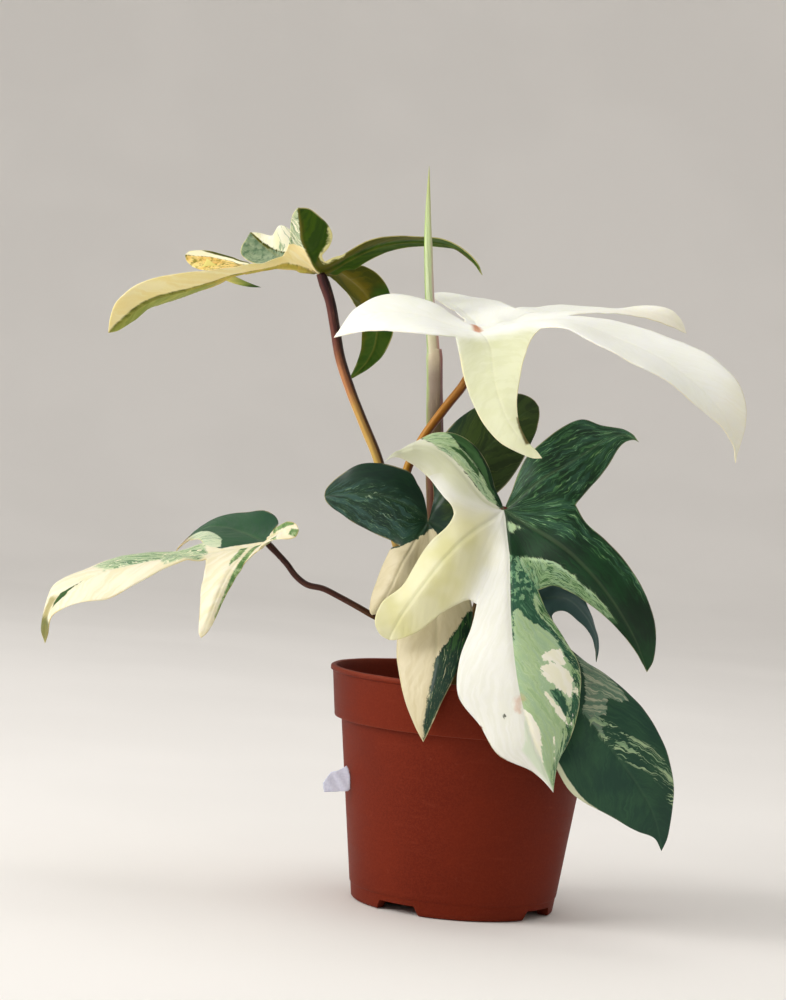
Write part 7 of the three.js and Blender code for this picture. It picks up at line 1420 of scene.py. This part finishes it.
# ---------------------------------------------------------------- stems
STEM = [
    (-7.28, 0.00, 83.75),
    (-7.08, 0.00, 91.70),
    (-10.61, 0.00, 108.78),
    (-13.72, 0.50, 125.86),
    (-16.95, 1.00, 147.28),
    (-19.20, 1.50, 164.45),
    (-21.54, 2.00, 184.47),
]
SHEATH = [
    (-21.60, 2.00, 185.12),
    (-22.74, 2.00, 196.70),
    (-23.55, 2.00, 205.30),
    (-24.50, 2.00, 216.07),
    (-25.36, 2.00, 226.83),
    (-26.22, 2.00, 236.51),
]
SPIKE = [
    (-26.64, 1.80, 236.99),
    (-28.27, 1.50, 248.23),
    (-29.89, 1.00, 258.89),
    (-31.15, 0.00, 269.54),
    (-32.23, -1.00, 280.17),
    (-33.27, -0.50, 290.91),
    (-34.14, 0.00, 303.83),
    (-34.82, 0.00, 315.64),
]
STALKS = {
    "stalk_upper_left": [(-12.32, 7.54, 124.58), (-17.26, 12.50, 129.22), (-26.63, 14.00, 136.28), (-34.65, 14.00, 148.81), (-39.69, 14.00, 162.46), (-43.96, 14.00, 177.48), (-47.50, 14.50, 188.61), (-53.55, 15.00, 200.86), (-61.95, 15.50, 217.76), (-67.70, 16.00, 231.81), (-70.76, 16.50, 243.89), (-73.87, 16.50, 255.50), (-78.57, 16.00, 266.75)],
    "stalk_lower_left": [(-16.69, -1.85, 105.84), (-21.63, -5.00, 112.59), (-29.14, -10.00, 116.64), (-35.69, -13.00, 119.32), (-42.23, -15.00, 121.70), (-49.31, -16.00, 125.04), (-57.72, -16.50, 128.88), (-65.22, -17.00, 131.94), (-72.16, -17.00, 133.09), (-77.17, -16.50, 136.29), (-81.44, -16.00, 141.06), (-86.11, -15.50, 145.38), (-90.53, -15.00, 149.23)],
    "stalk_white": [(-16.96, -6.22, 137.25), (-23.01, -8.20, 147.18), (-29.20, -9.50, 160.50), (-32.92, -10.00, 172.25), (-34.14, -10.00, 179.45), (-33.40, -10.00, 186.38), (-30.17, -10.00, 194.37), (-26.47, -10.50, 201.95), (-19.58, -12.00, 212.76), (-12.12, -14.00, 224.00), (-8.77, -17.00, 233.13), (-7.26, -19.82, 245.25)],
    "stalk_front": [(-6.63, -4.59, 113.00), (-1.50, -12.00, 121.00), (1.50, -19.00, 133.00), (4.50, -25.50, 147.00), (7.30, -28.80, 158.00), (9.00, -36.50, 166.60), (9.20, -44.00, 170.60), (8.71, -51.20, 172.04)],
    "stalk_middle": [(-13.45, -6.11, 128.11), (-16.13, -11.00, 137.12), (-19.00, -18.00, 147.92), (-21.03, -24.50, 156.52), (-22.40, -28.73, 163.01)],
    "stalk_lower_right": [(-2.59, -2.84, 101.91), (2.14, -10.00, 107.16), (7.16, -21.00, 113.99), (11.66, -33.00, 120.74), (15.40, -41.34, 126.18)],
}
STEM_AT = STEM[0][:2]


def smooth_path(points, step):
    """Points evenly spaced along a centripetal spline through the given ones."""
    P = np.array(points, float)
    P = np.concatenate([[2 * P[0] - P[1]], P, [2 * P[-1] - P[-2]]])
    out = []
    for i in range(1, len(P) - 2):
        p0, p1, p2, p3 = P[i - 1 : i + 3]
        t = [0.0]
        for a, b in ((p0, p1), (p1, p2), (p2, p3)):
            t.append(t[-1] + max(np.linalg.norm(b - a), 1e-6) ** 0.5)
        for q in np.linspace(t[1], t[2], 24, endpoint=False):
            A = [(t[k + 1] - q) / (t[k + 1] - t[k]) * P[i - 1 + k] + (q - t[k]) / (t[k + 1] - t[k]) * P[i + k] for k in range(3)]
            B = [(t[k + 2] - q) / (t[k + 2] - t[k]) * A[k] + (q - t[k]) / (t[k + 2] - t[k]) * A[k + 1] for k in range(2)]
            out.append((t[2] - q) / (t[2] - t[1]) * B[0] + (q - t[1]) / (t[2] - t[1]) * B[1])
    out.append(P[-2])
    out = np.array(out)
    s = np.concatenate([[0], np.cumsum(np.linalg.norm(np.diff(out, axis=0), axis=1))])
    n = max(int(s[-1] / step), 8)
    q = np.linspace(0, s[-1], n + 1)
    return np.stack([np.interp(q, s, out[:, k]) for k in range(3)], 1), q


def tube(name, points, radius, material, replaces, sides=28, step=0.9, section=None, wobble=0.05, point_end=False):
    """A stalk along a path. radius(f) gives its radius in mm at each fraction
    of its length, and section(angle, f) scales it round the stalk."""
    C, q = smooth_path(points, step)
    T = np.gradient(C, axis=0)
    T /= np.linalg.norm(T, axis=1)[:, None]
    x = np.cross(T[0], [0.13, -1.0, 0.21])
    x /= np.linalg.norm(x)
    verts, along, around, facing = [], [], [], []
    n = len(C)
    seed = sum(map(ord, name)) * 0.37
    ang = np.arange(sides) / sides * 2 * math.pi
    for i in range(n):
        x = x - T[i] * (x @ T[i])
        x /= np.linalg.norm(x)
        y = np.cross(T[i], x)
        fr = q[i] / q[-1]
        R = radius(fr)
        for a in ang:
            w = 1 + wobble * noise.noise(Vector((math.cos(a) * 0.9, math.sin(a) * 0.9, q[i] * 0.09 + seed)))
            k = section(a, fr) if section else 1.0
            d = x * math.cos(a) + y * math.sin(a)
            verts.append(C[i] + d * R * w * k)
            along.append(q[i])
            around.append(a)
            facing.append(d)
    faces = []
    for i in range(n - 1):
        for j in range(sides):
            a, b = i * sides + j, i * sides + (j + 1) % sides
            faces.append([a, b, b + sides, a + sides])
    verts += [C[0], C[-1]]
    along += [0.0, q[-1]]
    around += [0.0, 0.0]
    facing += [-T[0], T[-1]]
    last = (n - 1) * sides
    for j in range(sides):
        faces.append([len(verts) - 2, (j + 1) % sides, j])
        faces.append([len(verts) - 1, last + j, last + (j + 1) % sides])
    o = new_object(name, np.array(verts) * MM, faces, material, True, replaces)
    point_attr(o, "along", np.array(along))
    point_attr(o, "part", np.array(along) / q[-1])
    point_attr(o, "facing", np.array(facing))
    return o


def stalk_material(name, paint, rough=0.42, seed=0.0, streaks=(0.5, (0, 0, 0, 1)), near=(-0.92, -0.60), far=(0.46, 0.80)):
    """paint: colours along the stalk as (fraction, left, right) or (fraction,
    left, middle, right), left being the -X side and right the +X side."""
    n = Nodes(name)
    part = n.attr("part")
    facing = n.attr("facing", True)
    along = n.attr("along")
    sep = n.node("ShaderNodeSeparateXYZ", {0: facing})
    comb = n.node("ShaderNodeCombineXYZ", {0: n.math("MULTIPLY", sep.outputs[0], 3.2), 1: n.math("MULTIPLY", sep.outputs[1], 3.2), 2: n.math("MULTIPLY_ADD", along, 0.07, seed)})
    line = n.noise(comb, 1.3, 3.0, 0.6)
    tex = n.node("ShaderNodeTexCoord").outputs["Object"]
    mot = n.noise(tex, 320.0, 3.0, 0.6)
    # tones round the stalk follow world X: the -X side faces the key lamp, so the lighter -X tones and darker +X tones
    # are partly painted light and partly the stalks' own colours
    across = n.math("ADD", sep.outputs[0], n.math("MULTIPLY", n.math("SUBTRACT", line, 0.5), 0.7))
    side = n.step(across, -0.30, 0.30)
    near, far = n.step(across, *near), n.step(across, *far)
    col = None
    for k, (f, *tones) in enumerate(paint):
        c = n.mix(side, *tones) if len(tones) == 2 else n.mix(far, n.mix(near, *tones[:2]), tones[2])
        if col is None:
            col = c
        else:
            f0 = paint[k - 1][0]
            g = n.step(n.math("ADD", part, n.math("MULTIPLY", n.math("SUBTRACT", mot, 0.5), 0.08)), f0, f)
            col = n.mix(g, col, c)
    col = n.mix(n.math("MULTIPLY", n.step(line, 0.52, 0.72), streaks[0]), col, streaks[1])
    nb = n.bump(n.math("ADD", n.math("MULTIPLY", line, 0.7), n.math("MULTIPLY", mot, 0.3)), 0.25, 0.0005)
    sh = n.principled(Base_Color=col, Roughness=n.step(mot, 0.3, 0.7, rough - 0.06, rough + 0.08), Normal=nb)
    sh.inputs["Specular IOR Level"].default_value = 0.28
    sh.inputs["Subsurface Weight"].default_value = 0.08
    sh.inputs["Subsurface Radius"].default_value = (1.0, 0.7, 0.4)
    sh.inputs["Subsurface Scale"].default_value = 0.0012
    return n.finish(sh)


def lerp(*pairs):
    xs, ys = zip(*pairs)
    return lambda f: float(np.interp(f, xs, ys))


def extended(points, start=0.0, end=0.0):
    """The path carried on by so many mm at each end."""
    P = [np.array(p, float) for p in points]
    if start:
        d = P[0] - P[1]
        P.insert(0, P[0] + d / np.linalg.norm(d) * start)
    if end:
        d = P[-1] - P[-2]
        P.append(P[-1] + d / np.linalg.norm(d) * end)
    return P


def build_stems():
    # main stem: joints every few centimetres, with a ring at each
    rings = (0.10, 0.33, 0.55, 0.77)

    def stem_r(f):
        r = np.interp(f, (0, 0.2, 0.4, 0.6, 0.8, 1), (5.6, 5.6, 5.0, 5.1, 4.5, 4.3))
        for g in rings:
            r += 0.35 * math.exp(-(((f - g) / 0.012) ** 2)) - 0.25 * math.exp(-(((f - g - 0.03) / 0.015) ** 2))
        return r

    m = stalk_material(
        "stem",
        [
            (0.0, srgb(92, 84, 36), srgb(96, 76, 36), srgb(72, 44, 26)),
            (0.5, srgb(104, 100, 44), srgb(104, 84, 42), srgb(84, 40, 28)),
            (0.78, srgb(96, 70, 36), srgb(104, 56, 36), srgb(104, 30, 26)),
            (1.0, srgb(120, 100, 60), srgb(112, 66, 50), srgb(92, 26, 26)),
        ],
        0.5,
        3.0,
        (0.45, srgb(60, 40, 26)),
    )
    tube("main_stem_look", extended(STEM, 3.0, 1.5), stem_r, m, ("main_stem",), 40, 0.8, wobble=0.10)
    m = stalk_material(
        "sheath",
        [
            (0.0, srgb(150, 140, 92), srgb(122, 84, 66), srgb(84, 28, 28)),
            (0.35, srgb(140, 150, 88), srgb(108, 90, 66), srgb(90, 36, 38)),
            (0.75, srgb(166, 186, 122), srgb(152, 136, 122), srgb(112, 54, 58)),
            (1.0, srgb(188, 210, 150), srgb(222, 208, 182), srgb(160, 108, 104)),
        ],
        0.38,
        8.0,
        (0.35, srgb(186, 178, 150)),
    )

    def sheath_section(a, f):
        d = (a - 5.2 + math.pi) % (2 * math.pi) - math.pi
        return 1.0 + 0.10 * math.exp(-((d / 0.25) ** 2)) - 0.08 * math.exp(-(((d - 0.5) / 0.35) ** 2))

    tube("new_leaf_sheath_look", extended(SHEATH, 1.5, 1.5), lerp((0, 4.0), (0.06, 3.9), (0.5, 3.65), (0.93, 3.5), (1, 3.1)), m, ("new_leaf_sheath",), 36, 0.8, sheath_section)
    m = stalk_material(
        "rolled_leaf",
        [
            (0.0, srgb(170, 196, 130), srgb(222, 210, 184), srgb(196, 146, 138)),
            (0.3, srgb(150, 176, 98), srgb(202, 216, 172), srgb(200, 176, 170)),
            (0.7, srgb(164, 190, 110), srgb(198, 216, 158), srgb(190, 190, 150)),
            (1.0, srgb(168, 178, 96), srgb(184, 190, 124), srgb(176, 176, 112)),
        ],
        0.4,
        15.0,
        (0.45, srgb(222, 230, 196)),
    )

    def roll(a, f):
        d = (a + 1.1 + 1.4 * f) % (2 * math.pi)
        return 0.90 + 0.16 * d / (2 * math.pi)

    tube(
        "rolled_new_leaf_look",
        extended(SPIKE, 2.0, 0.6),
        lerp((0, 2.9), (0.12, 2.7), (0.28, 2.1), (0.45, 1.95), (0.56, 1.9), (0.68, 1.5), (0.8, 1.05), (0.92, 0.5), (1, 0.08)),
        m,
        ("rolled_new_leaf",),
        40,
        0.8,
        roll,
        0.03,
    )
    dark, purple = srgb(40, 16, 20), srgb(62, 26, 34)
    # left tones are partly painted light on the lamp side, right tones partly painted shade, over each stalk's own
    # colours
    looks = {
        "stalk_upper_left": ([(0.0, srgb(120, 92, 34), srgb(84, 44, 24), srgb(52, 22, 14)), (0.42, srgb(200, 168, 84), srgb(160, 130, 70), srgb(70, 44, 24)), (0.60, srgb(208, 164, 84), srgb(162, 124, 66), srgb(62, 34, 24)), (0.70, srgb(196, 132, 82), srgb(138, 88, 56), srgb(50, 22, 20)), (0.82, srgb(116, 62, 50), srgb(68, 30, 28), srgb(36, 12, 16)), (1.0, srgb(84, 36, 36), srgb(46, 16, 20), srgb(34, 10, 16))], 2.25, (0.3, srgb(160, 104, 70))),
        "stalk_lower_left": ([(0.0, srgb(124, 96, 46), srgb(88, 58, 28)), (0.3, srgb(108, 74, 38), srgb(74, 42, 22)), (0.6, srgb(76, 34, 20), srgb(54, 20, 12)), (1.0, srgb(54, 18, 12), srgb(44, 12, 8))], 1.35, (0.3, srgb(128, 84, 48))),
        "stalk_white": ([(0.0, srgb(160, 110, 30), srgb(150, 96, 24), srgb(110, 56, 20)), (0.3, srgb(200, 160, 24), srgb(186, 140, 16), srgb(140, 84, 16)), (0.52, srgb(176, 118, 24), srgb(150, 94, 18), srgb(110, 54, 14)), (1.0, srgb(150, 96, 26), srgb(120, 66, 14), srgb(90, 40, 12))], 2.0, (0.3, srgb(200, 150, 84))),
        "stalk_front": ([(0.0, srgb(100, 72, 30), srgb(80, 44, 24)), (0.6, srgb(112, 84, 36), srgb(90, 48, 26)), (1.0, srgb(92, 30, 20), srgb(84, 26, 20))], 1.9, (0.3, srgb(150, 120, 70))),
        "stalk_middle": ([(0.0, srgb(100, 72, 30), srgb(80, 44, 24)), (0.6, srgb(96, 56, 30), srgb(84, 38, 24)), (1.0, srgb(84, 24, 18), srgb(78, 20, 18))], 1.7, (0.3, srgb(150, 120, 70))),
        "stalk_lower_right": ([(0.0, srgb(96, 76, 32), srgb(80, 52, 26)), (0.6, srgb(84, 80, 34), srgb(68, 54, 28)), (1.0, srgb(66, 48, 26), srgb(60, 34, 22))], 1.9, (0.3, srgb(140, 130, 74))),
    }
    for k, (name, (paint, r, streaks)) in enumerate(looks.items()):
        m = stalk_material(name + "_skin", paint, 0.36, 21.0 + 7 * k, streaks, (-0.45, -0.02), (0.22, 0.55))
        # a sheathing foot where it leaves the stem, and a swollen joint under the blade
        rad = lerp((0, r * 1.25), (0.05, r * 1.18), (0.16, r * 1.0), (0.6, r * 0.97), (0.93, r * 1.0), (0.97, r * 1.12), (1, r * 0.95))

        def groove(a, f, r=r):
            d = (a - 1.6 + math.pi) % (2 * math.pi) - math.pi
            return 1.0 - 0.10 * math.exp(-((d / 0.42) ** 2))

        tube(name + "_look", extended(STALKS[name], 1.2, 0.9), rad, m, (name,), 30, 0.8, groove, 0.05)


build_stems()
build_soil()


# ---------------------------------------------------------------- price label
LABEL = [
    (-58.5, 49.5),
    (-57.8, 45.7),
    (-47.8, 46.9),
    (-46.8, 47.9),
    (-47.2, 53.0),
    (-48.2, 56.7),
    (-49.1, 57.7),
    (-52.2, 55.6),
    (-55.5, 54.5),
    (-57.0, 52.2),
]
LABEL_Y = -19.8


def build_label():
    n = Nodes("label_paper")
    tex = n.node("ShaderNodeTexCoord").outputs["Object"]
    fib = n.noise(tex, 900.0, 4.0, 0.65)
    crease_shade = n.noise(tex, 120.0, 2.0, 0.5)
    col = n.mix(n.step(fib, 0.3, 0.7), srgb(204, 206, 226), srgb(220, 222, 238))
    # painted shade: darker blue-grey blotches where the paper is creased
    col = n.mix(n.math("MULTIPLY", n.step(crease_shade, 0.58, 0.7), 0.4), col, srgb(160, 160, 190))
    m = n.finish(n.principled(Base_Color=col, Roughness=n.step(fib, 0.3, 0.7, 0.7, 0.85), Normal=n.bump(fib, 0.3, 0.0003)))
    # the torn outline, refined, then a curled sheet inside it
    P = np.array(LABEL, float)
    ring = []
    for a, b in zip(P, np.roll(P, -1, 0)):
        k = max(int(np.linalg.norm(b - a) / 0.35), 1)
        for t in range(k):
            ring.append(a + (b - a) * t / k)
    ring = np.array(ring)
    mid = ring.mean(0)
    d = ring - mid
    L = np.linalg.norm(d, axis=1)[:, None]
    jag = np.array([[noise.noise(Vector((p[0] * 1.3, p[1] * 1.3, 2.0)))] for p in ring])
    ring = mid + d * (1 + 0.035 * jag)
    levels = 10
    pts = [mid]
    for k in range(1, levels + 1):
        pts.extend(mid + (ring - mid) * k / levels)
    pts = np.array(pts)
    m_count = len(ring)

    def sheet(off):
        x, z = pts[:, 0], pts[:, 1]
        right = P[:, 0].max()
        away = (right - x) / (right - P[:, 0].min())
        y = LABEL_Y + off + 0.5 * away**2 * np.sin(z * 0.33) - 0.35 * away + 0.12 * np.sin(x * 1.1 + z * 0.7)
        return np.stack([x, y, z], 1)

    front, back = sheet(-0.09), sheet(0.09)
    N = len(pts)
    faces = [[0, 1 + (k + 1) % m_count, 1 + k] for k in range(m_count)]
    for lv in range(1, levels):
        a0, b0 = 1 + (lv - 1) * m_count, 1 + lv * m_count
        for k in range(m_count):
            k2 = (k + 1) % m_count
            faces.append([a0 + k, a0 + k2, b0 + k2, b0 + k])
    allf = faces + [[v + N for v in f[::-1]] for f in faces]
    b0 = 1 + (levels - 1) * m_count
    for k in range(m_count):
        k2 = (k + 1) % m_count
        allf.append([b0 + k2, b0 + k, b0 + k + N, b0 + k2 + N])
    o = new_object("price_label_look", np.concatenate([front, back]) * MM, allf, m, True, ("price_label",))
    bm = bmesh.new()
    bm.from_mesh(o.data)
    bmesh.ops.recalc_face_normals(bm, faces=bm.faces)
    bm.to_mesh(o.data)
    bm.free()


build_label()


# ---------------------------------------------------------------- floor and light
def floor_and_light():
    n = Nodes("floor")
    tex = n.node("ShaderNodeTexCoord").outputs["Object"]
    c = n.mix(n.step(n.noise(tex, 3.0, 2.0), 0.4, 0.6), srgb(238, 235, 231), srgb(241, 238, 234))
    m = n.finish(n.principled(Base_Color=c, Roughness=0.9))
    # flat out to 1.9 m, then swept up all round without an edge
    ring = [(0.0, 0.0)] + [(r, 0.0) for r in np.linspace(0.15, 1.9, 9)]
    ring += [(1.9 + 1.7 * math.sin(a), 1.7 * (1 - math.cos(a))) for a in np.linspace(0.06, math.pi / 2, 24)] + [(3.6, 3.4)]
    verts, faces = lathe([(r / MM, z / MM) for r, z in ring], 96, False)
    me = bpy.data.meshes.new("floor")
    me.from_pydata([tuple(v) for v in verts], [], [f for f in faces])
    me.update()
    me.shade_smooth()
    me.materials.append(m)
    o = bpy.data.objects.new("floor", me)
    o.location.z = -0.0002
    scene.collection.objects.link(o)
    world = bpy.data.worlds.new("studio")
    world.use_nodes = True
    world.node_tree.nodes["Background"].inputs[0].default_value = (0.86, 0.85, 0.84, 1)
    world.node_tree.nodes["Background"].inputs[1].default_value = 0.6
    scene.world = world

    def area(name, size, power, at, to, color=(1, 1, 1)):
        l = bpy.data.lights.new(name, "AREA")
        l.shape = "RECTANGLE"
        l.size, l.size_y = size
        l.energy = power
        l.color = color
        ob = bpy.data.objects.new(name, l)
        scene.collection.objects.link(ob)
        ob.location = at
        ob.rotation_euler = (Vector(to) - Vector(at)).to_track_quat("-Z", "Y").to_euler()

    area("key", (1.0, 1.0), 24, (-1.55, -0.7, 1.1), (0, 0, 0.17), (1.0, 0.985, 0.96))
    area("top", (1.3, 1.3), 9.5, (0.15, 0.35, 1.9), (0, 0, 0.2), (1.0, 0.99, 0.975))
    area("side", (0.7, 0.7), 3.2, (-1.7, -0.45, 0.35), (0.0, 0.0, 0.08))
    area("front", (1.4, 1.4), 2.8, (-0.6, -1.9, 1.0), (0, 0, 0.17), (1.0, 0.99, 0.97))
    scene.view_settings.view_transform = "Standard"


floor_and_light()
